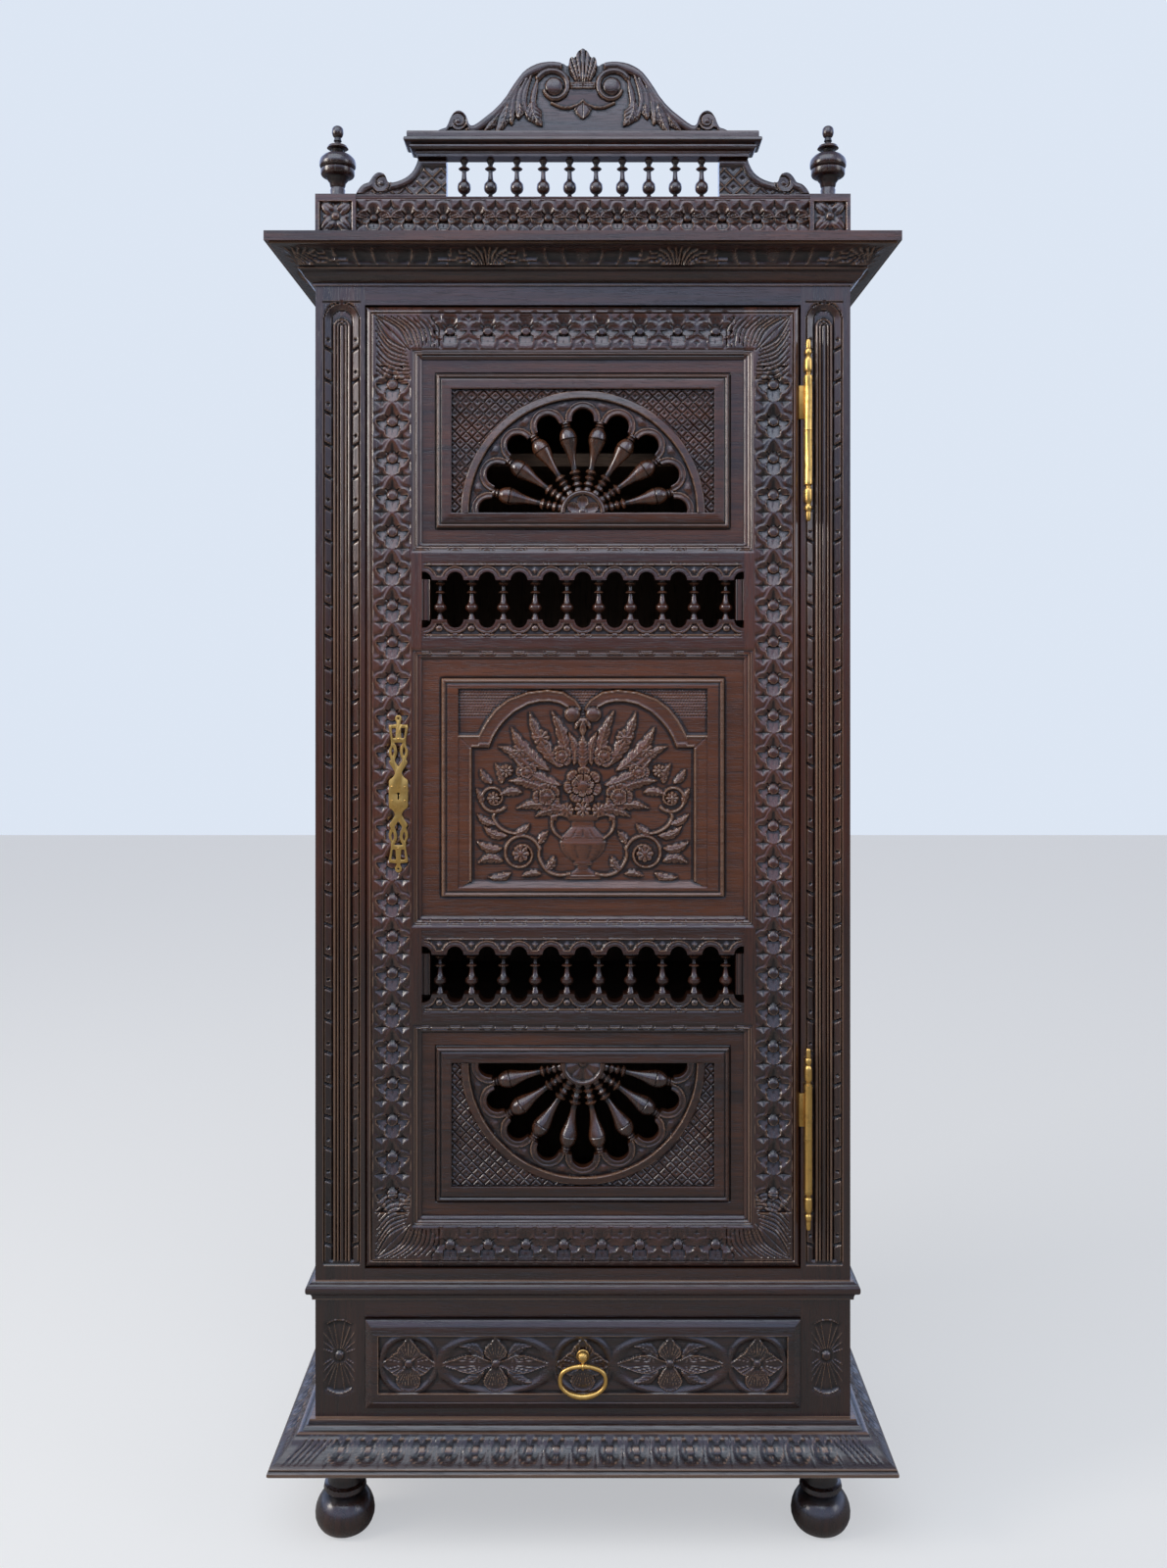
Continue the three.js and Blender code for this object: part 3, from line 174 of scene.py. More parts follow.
class Board:
    """The node tree of a material or of the world."""

    def __init__(self, owner):
        self.material = owner
        owner.use_nodes = True
        self.tree = owner.node_tree
        self.tree.nodes.clear()

    def node(self, kind, settings=None, sockets=None):
        """Adds a node and fills its settings, then its sockets, with values or wires."""
        made = self.tree.nodes.new(kind)
        for key, value in (settings or {}).items():
            if key == "stops":
                self._stops(made.color_ramp, value)
            else:
                setattr(made, key, value)
        for key, value in (sockets or {}).items():
            if isinstance(value, Wire):
                self.tree.links.new(value.socket, made.inputs[key])
            else:
                made.inputs[key].default_value = value
        return Outputs(self, made)

    def _stops(self, ramp, stops):
        while len(ramp.elements) > 1:
            ramp.elements.remove(ramp.elements[-1])
        for index, (place, colour) in enumerate(stops):
            element = ramp.elements[0] if index == 0 else ramp.elements.new(place)
            element.position = place
            element.color = (*colour, 1.0)

    def place(self, scale=(1, 1, 1)):
        """Object coordinates, scaled."""
        point = self.node("ShaderNodeTexCoord")["Object"]
        return self.node("ShaderNodeMapping", {}, {"Vector": point, "Scale": scale})["Vector"]

    def noise(self, scale, detail, roughness=0.5, distortion=0.0):
        return self.node("ShaderNodeTexNoise", {}, {
            "Vector": self.place(scale), "Scale": 1.0, "Detail": detail, "Roughness": roughness,
            "Distortion": distortion,
        })["Fac"]

    def mix(self, factor, first, second):
        """A colour between two colours."""
        node = self.node("ShaderNodeMix", {"data_type": "RGBA"}).made
        for socket, value in zip((node.inputs[0], node.inputs[6], node.inputs[7]),
                                 (factor, first, second)):
            if isinstance(value, Wire):
                self.tree.links.new(value.socket, socket)
            elif socket.type == "RGBA":
                socket.default_value = (*value[:3], 1.0)
            else:
                socket.default_value = value
        return Wire(self, node.outputs[2])

    def attribute(self, name):
        return self.node("ShaderNodeAttribute", {"attribute_name": name})["Fac"]

    def bump(self, height, distance, strength):
        return self.node(
            "ShaderNodeBump", {}, {"Height": height, "Distance": distance, "Strength": strength}
        )["Normal"]

    def surface(self, **sockets):
        """The Principled shader, with underscores in its socket names for spaces."""
        named = {key.replace("_", " "): value for key, value in sockets.items()}
        shader = self.node("ShaderNodeBsdfPrincipled", {}, named)["BSDF"]
        self.node("ShaderNodeOutputMaterial", {}, {"Surface": shader})
        return self.material


# Materials


def grain_scales(along, coarse, fine):
    """Scales of a texture that is drawn out along one axis: 0 for x, 1 for y, 2 for z."""
    return tuple(fine if axis == along else coarse for axis in range(3))


def tinted(colour, *shares):
    """A colour with all its parts, or each of them, times a share."""
    return tuple(part * share for part, share in zip(colour, shares * (3 // len(shares))))


def oak(name, along, dark, light, worn_and_highlight, sheen=0.75, shine=0.2):
    """Oak with its grain along one axis, stained dark and waxed. Its ridges take a lighter colour
    for rubbing and painted highlight, and its hollows painted shade.
    """
    board = Board(bpy.data.materials.new(name))
    figure = board.noise(grain_scales(along, 26, 1.6), 4, 0.55, 0.6)
    streaks = board.noise(grain_scales(along, 160, 5), 3, 0.6)
    pores = board.noise(grain_scales(along, 900, 34), 2)
    mottle = board.noise((5, 5, 5), 2)
    relief = board.attribute("relief")
    pore = 1 - pores.between(0.34, 0.46)
    tone = figure.between(0.3, 0.72) * 0.55 + streaks.between(0.3, 0.7) * 0.45
    face = board.mix(tone, dark, light)
    face = board.mix(mottle.between(0.35, 0.7) * 0.35, face, dark)
    # Painted shade near the floor, and warmer at the middle of the door
    height = board.node("ShaderNodeSeparateXYZ", {}, {0: board.place()})["Z"]
    face = board.mix((1 - height.between(0.45, 1.0)) * 0.4, face, dark)
    middle = height.between(0.75, 1.0) * (1 - height.between(1.2, 1.5))
    face = board.mix(middle * 0.35, face, tinted(light, 1.7))
    face = board.mix(pore * 0.55, face, tinted(dark, 0.35))
    # Painted shade: hollows, where the relief attribute is below zero, are darkened towards a deep
    # brown
    hollow = (relief * -1).between(0.02, 0.5)
    # Ridges take the lighter colour, for rubbing and for a painted highlight along edges
    ridge = relief.between(0.1, 0.8) * (0.45 + 0.55 * streaks.between(0.25, 0.6))
    face = board.mix(hollow * 0.85, face, tinted(dark, 0.28))
    face = board.mix(ridge * 0.7, face, worn_and_highlight)
    rough = shine + 0.16 * streaks + 0.12 * pore + 0.1 * hollow - 0.06 * ridge
    bumps = board.bump(streaks * 0.5 - pore * 0.8, 0.0004, 0.55)
    return board.surface(
        Base_Color=face, Roughness=rough, Normal=bumps, Coat_Weight=sheen * (1 - hollow * 0.6),
        Coat_Roughness=0.2, IOR=1.5, Specular_IOR_Level=0.5,
    )


def aged_brass(name, colour):
    board = Board(bpy.data.materials.new(name))
    cloud = board.noise((90, 90, 90), 4, 0.6)
    specks = board.noise((600, 600, 600), 2)
    relief = board.attribute("relief")
    # Dull where the cloud falls, in sunk places as patina, and on parts marked -1, such as the
    # hinge leaves, as painted shade
    tarnish_and_shade = cloud.between(0.48, 0.72) * 0.55 + (relief * -1).between(0.05, 0.6) * 0.6
    dull = tinted(colour, 0.42, 0.36, 0.3)
    bright = tinted(colour, 1.18, 1.25, 1.5)
    face = board.mix(tarnish_and_shade.least(0.85), colour, dull)
    face = board.mix(relief.between(0.1, 0.7) * 0.6, face, bright)
    rough = 0.24 + 0.22 * cloud + 0.15 * tarnish_and_shade
    bumps = board.bump(specks * 0.4 + cloud * 0.6, 0.0002, 0.35)
    return board.surface(Base_Color=face, Roughness=rough, Metallic=1.0, Normal=bumps)


def dull_iron(name, colour):
    board = Board(bpy.data.materials.new(name))
    scratches = board.noise((500, 60, 60), 3, 0.6)
    cloud = board.noise((40, 40, 40), 3, 0.6)
    face = board.mix(cloud.between(0.4, 0.75) * 0.7, colour, (0.07, 0.045, 0.03))
    bumps = board.bump(scratches, 0.0002, 0.4)
    return board.surface(
        Base_Color=face, Roughness=0.34 + 0.3 * cloud, Metallic=0.9, Normal=bumps,
    )


MATERIALS = {}


def finishes():
    """All the materials, made once from the colours."""
    if MATERIALS:
        return MATERIALS
    colours = bpy.context.scene.cabinet_colours
    dark, light, worn_and_highlight = (tuple(c) for c in (colours.oak_dark, colours.oak_light, colours.oak_worn_and_highlight))
    warm, inside = tuple(colours.panel_warm), tuple(colours.inside_oak)
    between = tuple(0.5 * (a + b) for a, b in zip(light, warm))
    border, shade = tinted(light, 1.5), tinted(inside, 0.45)
    for key, name, along, *looks in (
        ("upright", "dark_oak_upright", 2, dark, light, worn_and_highlight),
        ("lying", "dark_oak_lying", 0, dark, light, worn_and_highlight),
        ("border", "border_oak_lying", 0, dark, border, worn_and_highlight),
        ("border_upright", "border_oak_upright", 2, dark, border, worn_and_highlight),
        ("panel", "panel_oak_lying", 0, dark, tinted(warm, 1.08), worn_and_highlight, 0.5, 0.22),
        ("panel_upright", "panel_oak_upright", 2, dark, between, worn_and_highlight, 0.3, 0.24),
        ("turned", "turned_oak", 2, dark, tuple(colours.turned_warm), worn_and_highlight, 0.8, 0.18),
        ("inside", "inside_oak_lying", 0, shade, inside, inside, 0.0, 0.66),
        ("inside_upright", "inside_oak_upright", 2, shade, inside, inside, 0.0, 0.66),
    ):
        MATERIALS[key] = oak(name, along, *looks)
    MATERIALS["brass"] = aged_brass("aged_brass", tuple(colours.brass))
    MATERIALS["iron"] = dull_iron("dull_iron", tuple(colours.iron))
    return MATERIALS


# Modelling


def deselect():
    if bpy.context.object and bpy.context.object.mode != "OBJECT":
        bpy.ops.object.mode_set(mode="OBJECT")
    bpy.ops.object.select_all(action="DESELECT")


def activate(*pieces):
    """Selects these pieces alone, the first of them active."""
    deselect()
    for piece in pieces:
        piece.select_set(True)
    bpy.context.view_layer.objects.active = pieces[0]
    return pieces[0]


def in_edit_mode(piece, *steps):
    """Runs steps on everything in a piece."""
    activate(piece)
    bpy.ops.object.mode_set(mode="EDIT")
    bpy.ops.mesh.select_all(action="SELECT")
    for step in steps:
        step()
    bpy.ops.object.mode_set(mode="OBJECT")
    return piece


def outwards():
    bpy.ops.mesh.select_all(action="SELECT")
    bpy.ops.mesh.normals_make_consistent(inside=False)


def weld():
    bpy.ops.mesh.select_all(action="SELECT")
    bpy.ops.mesh.remove_doubles(threshold=0.00002)


def points_of(piece):
    """A piece's points in millimetres, one row each."""
    flat = np.empty(len(piece.data.vertices) * 3, np.float32)
    piece.data.vertices.foreach_get("co", flat)
    return flat.reshape(-1, 3).astype(float) / MM


def move_points(piece, points):
    piece.data.vertices.foreach_set("co", (np.asarray(points, np.float32) * MM).ravel())
    piece.data.update()


def mark_relief(piece, values):
    """Stores how far each point stands out or is sunk, for the finish: on oak, ridges get a lighter
    colour for rubbing and painted highlight, and hollows painted shade; on brass, sunk points go
    dull.
    """
    mark = piece.data.attributes.get("relief")
    mark = mark or piece.data.attributes.new("relief", "FLOAT", "POINT")
    full = np.zeros(len(piece.data.vertices), np.float32)
    full[: len(values)] = values
    mark.data.foreach_set("value", full)


def joined(*pieces):
    activate(*pieces)
    bpy.ops.object.join()
    return pieces[0]


def copied(piece, matrix):
    """A copy with its own mesh, moved by a matrix in millimetres."""
    twin = piece.copy()
    twin.data = piece.data.copy()
    bpy.context.scene.collection.objects.link(twin)
    scaled = matrix.copy()
    scaled.translation *= MM
    twin.data.transform(scaled)
    if scaled.determinant() < 0:
        in_edit_mode(twin, bpy.ops.mesh.flip_normals)
    return twin


def moved(piece, matrix):
    """The piece in another place: its copy stays, and it goes."""
    twin = copied(piece, matrix)
    bpy.data.objects.remove(piece)
    return twin


def dress(piece, name, finish, body, slot, *nodes, angle=32):
    """Names, smooths and finishes a piece, and hangs it on its body in place of its nodes."""
    piece.name = name
    piece.data.name = name
    activate(piece)
    bpy.ops.object.shade_smooth_by_angle(angle=math.radians(angle))
    piece.data.materials.clear()
    piece.data.materials.append(finishes()[finish])
    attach(piece, body)
    if nodes:
        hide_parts(*nodes)
    return piece


def ease_edges(piece, width, angle=30):
    """Rounds the edges that turn by more than an angle in degrees."""
    activate(piece)
    ease = piece.modifiers.new("ease", "BEVEL")
    ease.width = width * MM
    ease.segments = 2
    ease.limit_method = "ANGLE"
    ease.angle_limit = math.radians(angle)
    bpy.ops.object.modifier_apply(modifier=ease.name)


def solid_box(low, high, bevel):
    """A block with its edges eased, from two corners in millimetres."""
    deselect()
    low, high = Vector(low), Vector(high)
    bpy.ops.mesh.primitive_cube_add(size=1, location=(low + high) / 2 * MM)
    block = bpy.context.object
    block.scale = (high - low) * MM
    bpy.ops.object.transform_apply(location=True, rotation=True, scale=True)
    if bevel:
        ease_edges(block, bevel)
    return block


def cut_away(piece, tool):
    """Cuts a tool's shape out of a piece and removes the tool."""
    activate(piece)
    cut = piece.modifiers.new("cut", "BOOLEAN")
    cut.operation = "DIFFERENCE"
    cut.object = tool
    cut.solver = "EXACT"
    bpy.ops.object.modifier_apply(modifier=cut.name)
    bpy.data.objects.remove(tool)


def soft(values, low, high):
    """0 below low, 1 above high, smooth between them."""
    share = np.clip((values - low) / (high - low), 0, 1)
    return share * share * (3 - 2 * share)


def fall(distance, width):
    """1 at no distance, falling evenly to 0 at a width."""
    return np.clip(1 - distance / width, 0, 1)


def bulge(share, power):
    """1 in the middle and 0 where the share reaches 1, the fuller the higher the power."""
    return np.clip(1 - share ** power, 0, 1)


def grid_through(*planes):
    """A grid primitive through a table of points, from its tables of x, y and z."""
    rows, columns = np.shape(planes[0])
    deselect()
    bpy.ops.mesh.primitive_grid_add(x_subdivisions=columns - 1, y_subdivisions=rows - 1, size=1)
    grid = bpy.context.object
    move_points(grid, np.stack(planes, axis=-1).reshape(-1, 3))
    return grid


def relief_of(heights, wear_and_highlight=1.0):
    """Where a height table has thin ridges, up to a given share, and where it is hollow, down to
    -1. The finish lightens ridges, for rubbing and painted highlight, and paints shade into
    hollows.
    """
    rows, columns = heights.shape
    above = []
    for reach in (1, 3):
        padded = np.pad(heights, reach, mode="edge")
        steps = range(2 * reach + 1)
        around = [padded[i:i + rows, j:j + columns] for i in steps for j in steps]
        above.append(heights - np.mean(around, axis=0))
    return wear_and_highlight * np.clip(above[0] / 0.36 - 0.5, 0, 1) + np.clip(above[1] / 1.3, -1, 0)


def thickened(grid, back, relief):
    """Draws a carved face's rim to a flat back and stores the relief of its points."""

    def to_the_back():
        bpy.ops.mesh.region_to_loop()
        bpy.ops.mesh.extrude_edges_move()
        bpy.ops.transform.resize(value=(1, 0, 1), center_override=(0, back * MM, 0))
        bpy.ops.mesh.edge_face_add()

    in_edit_mode(grid, to_the_back, outwards)
    mark_relief(grid, relief.ravel())
    return grid


def carved_board(xs, zs, front, back, carve, edges=None, wear_and_highlight=1.0):
    """A board whose front is a carved face.

    xs and zs are the grid's lines. carve(x, z) gives how far the face stands in front of the
    plane `front`, negative where it is sunk, and may give a stain for each point too. edges(x) may
    give the lower and upper edge of each column, and the rows are then spread between them.
    """
    wide, tall = np.meshgrid(xs, zs)
    if edges is not None:
        low, high = edges(wide)
        share = (tall - zs[0]) / (zs[-1] - zs[0])
        tall = low + share * (high - low)
    heights = carve(wide, tall)
    stain = 0
    if isinstance(heights, tuple):
        heights, stain = heights
    grid = grid_through(wide, front - heights, tall)
    return thickened(grid, back, relief_of(heights, wear_and_highlight) + stain)


def lines(low, high, cell, at=()):
    """Grid lines about a cell apart, with pairs of lines close to each named place."""
    count = max(2, int(round((high - low) / cell)) + 1)
    extra = [place + way for place in at for way in (-0.15, 0.15)]
    every = np.concatenate([np.linspace(low, high, count), [e for e in extra if low < e < high]])
    return np.unique(np.round(every, 3))


def turned(profile, sides):
    """A turning on the z axis: rings of (radius, height) in millimetres, drawn up one by one."""
    deselect()
    first, height = profile[0]
    bpy.ops.mesh.primitive_circle_add(
        vertices=sides, radius=first * MM, fill_type="NGON", location=(0, 0, 0)
    )
    piece = bpy.context.object
    bpy.ops.object.mode_set(mode="EDIT")
    bpy.ops.mesh.select_all(action="SELECT")
    bpy.ops.transform.translate(value=(0, 0, height * MM))
    radius = first
    for wider, higher in profile[1:]:
        bpy.ops.mesh.extrude_region_move(
            TRANSFORM_OT_translate={"value": (0, 0, (higher - height) * MM)}
        )
        share = wider / radius
        bpy.ops.transform.resize(
            value=(share, share, 1), center_override=(0, 0, higher * MM)
        )
        radius, height = wider, higher
    outwards()
    bpy.ops.object.mode_set(mode="OBJECT")
    radii = np.array([r for r, _ in profile])
    heights = np.array([z for _, z in profile])
    points = points_of(piece)
    around = np.hypot(points[:, 0], points[:, 1])
    span = max(radii) * 0.35
    steps = np.linspace(-span, span, 9)
    usual = np.mean([np.interp(points[:, 2] + step, heights, radii) for step in steps], axis=0)
    # Rings that stand out get the lighter ridge colour, for rubbing and painted highlight, and
    # grooves painted shade
    stands = (around - usual) / (0.16 * max(radii))
    mark_relief(piece, 0.45 * np.clip(stands - 0.4, 0, 1) + np.clip(stands, -1, 0))
    return piece


def eased_point(a, b, c, d, t):
    """A point of the smooth line from b to c, at a share t of the way."""
    return tuple(0.5 * (
        2 * b + (c - a) * t + (2 * a - 5 * b + 4 * c - d) * t * t
        + (3 * b - a - 3 * c + d) * t ** 3
    ))


def rounded(profile, steps):
    """A smooth profile through points: Catmull-Rom between them, sharp where a point repeats."""
    runs, run = [], [profile[0]]
    for before, point in zip(profile, profile[1:]):
        if before == point:
            runs.append(run)
            run = [point]
        else:
            run.append(point)
    runs.append(run)
    smooth = []
    for run in runs:
        if len(run) < 3:
            smooth += run
            continue
        ends = np.array([run[0], *run, run[-1]], float)
        for i in range(1, len(ends) - 2):
            smooth += [eased_point(*ends[i - 1:i + 3], step / steps) for step in range(steps)]
        smooth.append(tuple(run[-1]))
    kept = [smooth[0]]
    for point in smooth[1:]:
        if math.dist(point, kept[-1]) > 0.05:
            kept.append(point)
    return kept


def stretched(profile, wide, bottom, top, steps):
    """A smooth profile from points given as shares of its width and of its height."""
    return [(r * wide, bottom + z * (top - bottom)) for r, z in rounded(profile, steps)]


def turned_to(profile, radius, bottom, top, sides=20, steps=2):
    return turned(stretched(profile, radius, bottom, top, steps), sides)


# Stage


PHOTO_TALL = 1600
FOCAL_PIXELS = 1370.0
HORIZON_PIXEL = 666.0
EYE = Vector((0.0009, -2.038, 1.228))


def soft_lamp(name, place, aim, size, power, colour=(1, 1, 1)):
    deselect()
    bpy.ops.object.light_add(type="AREA", location=place)
    lamp = bpy.context.object
    lamp.name = name
    lamp.rotation_euler = (Vector(aim) - Vector(place)).to_track_quat("-Z", "Y").to_euler()
    lamp.data.shape = "RECTANGLE"
    lamp.data.size, lamp.data.size_y = size
    lamp.data.energy = power
    lamp.data.color = colour


def floor_finish():
    """Pale floor that keeps its shadows, with a glow that only the camera sees."""
    board = Board(bpy.data.materials.new("pale_floor"))
    seen = board.node("ShaderNodeLightPath")["Is Camera Ray"]
    glow = board.mix(seen, (0, 0, 0), (0.47, 0.48, 0.50))
    return board.surface(
        Base_Color=(0.40, 0.39, 0.38, 1.0), Roughness=0.8, Emission_Color=glow,
        Emission_Strength=1.0,
    )


# What polished wood mirrors, by the height of the direction it comes from
MIRRORED_SKY = (
    (0.0, (0.05, 0.055, 0.065)), (0.14, (0.37, 0.47, 0.70)), (0.27, (0.58, 0.71, 1.04)),
    (0.42, (0.46, 0.58, 0.90)), (0.62, (0.39, 0.50, 0.80)), (0.85, (0.14, 0.18, 0.28)),
)
SKY_STRENGTH = 1.5


def studio_light(world):
    """Even, plain light, a pale backdrop for the camera, and a graded sky for reflections."""
    board = Board(world)
    path = board.node("ShaderNodeLightPath")
    gaze = board.node("ShaderNodeTexCoord")["Generated"]
    rise = board.node("ShaderNodeSeparateXYZ", {}, {0: gaze})["Z"]
    sky = board.node("ShaderNodeValToRGB", {"stops": MIRRORED_SKY}, {0: rise})["Color"]
    backdrop = tuple(part * 0.9 / SKY_STRENGTH for part in (0.80, 0.88, 1.0))
    shown = board.node("ShaderNodeBackground", {}, {
        "Color": board.mix(path["Is Camera Ray"], sky, backdrop), "Strength": SKY_STRENGTH,
    })[0]
    lit = board.node("ShaderNodeBackground", {}, {
        "Color": (0.86, 0.92, 1.0, 1.0), "Strength": 0.26,
    })[0]
    seen = path["Is Camera Ray"].most(path["Is Glossy Ray"])
    mixed = board.node("ShaderNodeMixShader", {}, {0: seen, 1: lit, 2: shown})[0]
    board.node("ShaderNodeOutputWorld", {}, {"Surface": mixed})


class CABINET_OT_stage(bpy.types.Operator):
    """Set up the camera, the pale floor and the soft lamps"""

    bl_idname = "object.cabinet_stage"
    bl_label = "Stage"

    def execute(self, context):
        scene = context.scene
        deselect()
        bpy.ops.object.camera_add(location=EYE, rotation=(math.radians(90), 0, 0))
        camera = bpy.context.object
        camera.data.sensor_width = 36
        camera.data.lens = FOCAL_PIXELS / PHOTO_TALL * camera.data.sensor_width
        camera.data.shift_y = (HORIZON_PIXEL - PHOTO_TALL / 2) / PHOTO_TALL
        camera.data.clip_end = 50
        scene.camera = camera

        bpy.ops.mesh.primitive_plane_add(size=14, location=(0, 0, 0))
        floor = bpy.context.object
        floor.name = "floor"
        floor.data.materials.append(floor_finish())

        soft_lamp("sky", (-0.7, -2.3, 4.3), (0, 0, 1.1), (4.6, 3.0), 102, (0.80, 0.90, 1.0))
        soft_lamp("left_window", (-3.5, -1.5, 2.5), (0, 0, 1.3), (1.3, 1.8), 80, (1.0, 0.93, 0.84))
        soft_lamp("right_window", (3.4, -1.8, 2.3), (0, 0, 1.0), (1.4, 2.0), 20)

        scene.world = bpy.data.worlds.new("studio")
        studio_light(scene.world)
        scene.view_settings.view_transform = "Standard"
        return {"FINISHED"}


# Frame nodes that keep their shape


FRAME_FINISHES = {
    "upright": ("left_side_frame", "right_side_frame"),
    "panel_upright": (
        "left_lower_side_panel", "left_upper_side_panel", "right_lower_side_panel",
        "right_upper_side_panel",
    ),
    "lying": ("front_top_rail", "front_middle_rail", "front_bottom_rail"),
    "panel": ("top_board",),
    "inside": (
        "dust_board", "base_board", "lower_shelf", "middle_shelf", "upper_shelf",
        "drawer_left_side", "drawer_right_side", "drawer_back", "drawer_bottom",
    ),
    "inside_upright": ("back_panel",),
    "iron": ("lock_case", "lock_bolt"),
}


class CABINET_OT_finish_frame(bpy.types.Operator):
    """Finish the frame nodes whose shape is right as it is"""

    bl_idname = "object.cabinet_finish_frame"
    bl_label = "Plain boards"

    def execute(self, context):
        for finish, names in FRAME_FINISHES.items():
            for name in names:
                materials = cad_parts[name].data.materials
                materials.clear()
                materials.append(finishes()[finish])
        return {"FINISHED"}


# Carving: heights in millimetres over x and z, negative where the wood is cut away


def fold(values, pitch, start=0.0):
    """Distance from the nearest of a row of places, pitch apart."""
    return (values - start + pitch / 2) % pitch - pitch / 2


def stroke_share(x, z, points, widths):
    """Distance from a line of points, as a share of its half width there."""
    nearest = np.full(np.shape(x), 9.0)
    for (ax, az), (bx, bz), wa, wb in zip(points, points[1:], widths, widths[1:]):
        dx, dz = bx - ax, bz - az
        along = np.clip(((x - ax) * dx + (z - az) * dz) / (dx * dx + dz * dz + 1e-9), 0, 1)
        away = np.hypot(x - ax - along * dx, z - az - along * dz)
        nearest = np.minimum(nearest, away / np.maximum(wa + along * (wb - wa), 0.05))
    return nearest


def curve(points, steps=6):
    """A smooth line through points."""
    return rounded([tuple(map(float, point)) for point in points], steps)


def close_to(x, z, points, spread):
    """Where the box round some points, grown by spread, lies."""
    xs, zs = zip(*points)
    near = (x > min(xs) - spread) & (x < max(xs) + spread)
    return near & (z > min(zs) - spread) & (z < max(zs) + spread)


def gouge(x, z, points, width, depth, peak):
    """A V cut along a line: thin at both ends, widest at the peak."""
    line = curve(points)
    along = np.linspace(0, 1, len(line))
    rise = np.where(along < peak, along / peak, (1 - along) / (1 - peak))
    widths = width * (0.2 + (1 - 0.2) * np.sin(rise * math.pi / 2))
    heights = np.zeros(np.shape(x))
    near = close_to(x, z, line, width + 0.5)
    if near.any():
        share = stroke_share(x[near], z[near], line, widths)
        heights[near] = -depth * np.clip(1 - share, 0, 1) ** 0.8
    return heights


def ridge(x, z, points, widths, height, power=0.5):
    """A raised, round-backed stroke along a line, zero beside it."""
    line = curve(points) if len(points) > 2 else points
    grown = np.interp(np.linspace(0, 1, len(line)), np.linspace(0, 1, len(widths)), widths)
    heights = np.zeros(np.shape(x))
    near = close_to(x, z, line, max(widths) + 0.5)
    if near.any():
        share = stroke_share(x[near], z[near], line, grown)
        heights[near] = height * bulge(share, 2) ** power
    return heights


def boss(x, z, radius, height):
    """A round button."""
    share = np.hypot(x, z) / radius
    return height * np.sqrt(bulge(share, 2))


def star_cut(x, z, wide, tall, depth):
    """A cut in the form of a four-pointed star with hollow sides."""
    share = (np.abs(x) / wide) ** 0.72 + (np.abs(z) / tall) ** 0.72
    return -depth * np.clip(1 - share, 0, 1) ** 0.8


# How far a flower reaches by angle from its top petal, in half widths
DOOR_FLOWER = (
    (0, 1.07), (8, 0.97), (20, 0.80), (34, 0.67), (48, 0.61), (57, 0.64), (68, 0.80), (82, 0.97),
    (93, 1.02), (102, 0.96), (114, 0.95), (126, 0.92), (136, 0.84), (143, 0.79), (150, 0.90),
    (158, 1.03), (168, 1.10), (180, 1.12),
)
RAIL_FLOWER = (
    (0, 1.02), (14, 1.0), (28, 0.90), (38, 0.70), (46, 0.62), (54, 0.70), (66, 0.92), (80, 1.04),
    (92, 1.06), (104, 1.0), (117, 0.84), (128, 0.68), (138, 0.66), (148, 0.82), (160, 1.0),
    (170, 1.08), (180, 1.1),
)
FRIEZE_FLOWER = (
    (0, 0.79), (10, 0.785), (20, 0.73), (30, 0.63), (42, 0.52), (52, 0.54), (66, 0.72), (80, 0.93),
    (90, 1.0), (98, 0.91), (112, 0.70), (126, 0.54), (136, 0.50), (148, 0.62), (162, 0.74),
    (180, 0.76),
)


def quatrefoil(x, z, size, depth, outline=DOOR_FLOWER, button=0.37):
    """One sunk flower round a large button: a petal above, two that droop to the sides and a
    shield below. A thin rim follows their outline."""
    unit = size / 2
    far = np.hypot(x, z)
    turn = np.degrees(np.arctan2(np.abs(x), z))
    share = far / (unit * np.interp(turn, *zip(*outline)))
    heights = -1.5 * depth * np.clip(1 - share, 0, 1) ** 0.85
    # Convex petals with dark cuts between them
    out = np.clip((np.abs(x) / unit - 0.18) / 0.86, 0, 1)
    leaf_foot = 0.40 * unit * np.sin(math.pi * out) ** 0.7
    drop = -z - 0.02 * unit
    side = (drop > 0) & (drop < leaf_foot)
    heights = np.where(side, -0.86 * depth + 0.27 * drop, heights)
    # The shield: a plate with a rounded foot that leans a little upwards
    half = 0.43 * unit * np.sqrt(bulge((drop / unit - 0.42) / 0.66, 4))
    plate = (drop > 0.3 * unit) & (np.abs(x) < half) & (share < 0.97)
    heights = np.where(plate, -0.92 * depth + 0.25 * (drop - 0.3 * unit), heights)
    for middle, wide in ((50, 0.07), (143, 0.1)):
        off = np.abs(far * np.sin(np.radians(turn - middle)))
        cut = fall(off, wide * unit) * (1 - soft(share, 0.85, 1.0)) * ~plate
        heights = heights - 0.55 * depth * cut
    heights = np.maximum(heights, -1.35 * depth)
    vein = fall(np.abs(x), 0.05 * unit)
    vein = vein * soft(share, 0.4, 0.6) * (1 - soft(share, 0.6, 0.9))
    heights = heights - 0.2 * depth * vein
    rim = 0.9 * np.exp(-(((share - 1.05) / 0.045) ** 2))
    rim = rim - 0.9 * soft(share, 1.12, 1.26) * (1 - soft(share, 1.4, 1.75))
    heights = np.where(share < 1, heights, rim)
    dome = bulge(far / (unit * button), 2) ** 0.4
    return np.where(far < unit * button, -depth + (depth + 0.4) * dome - 0.28 * z, heights)


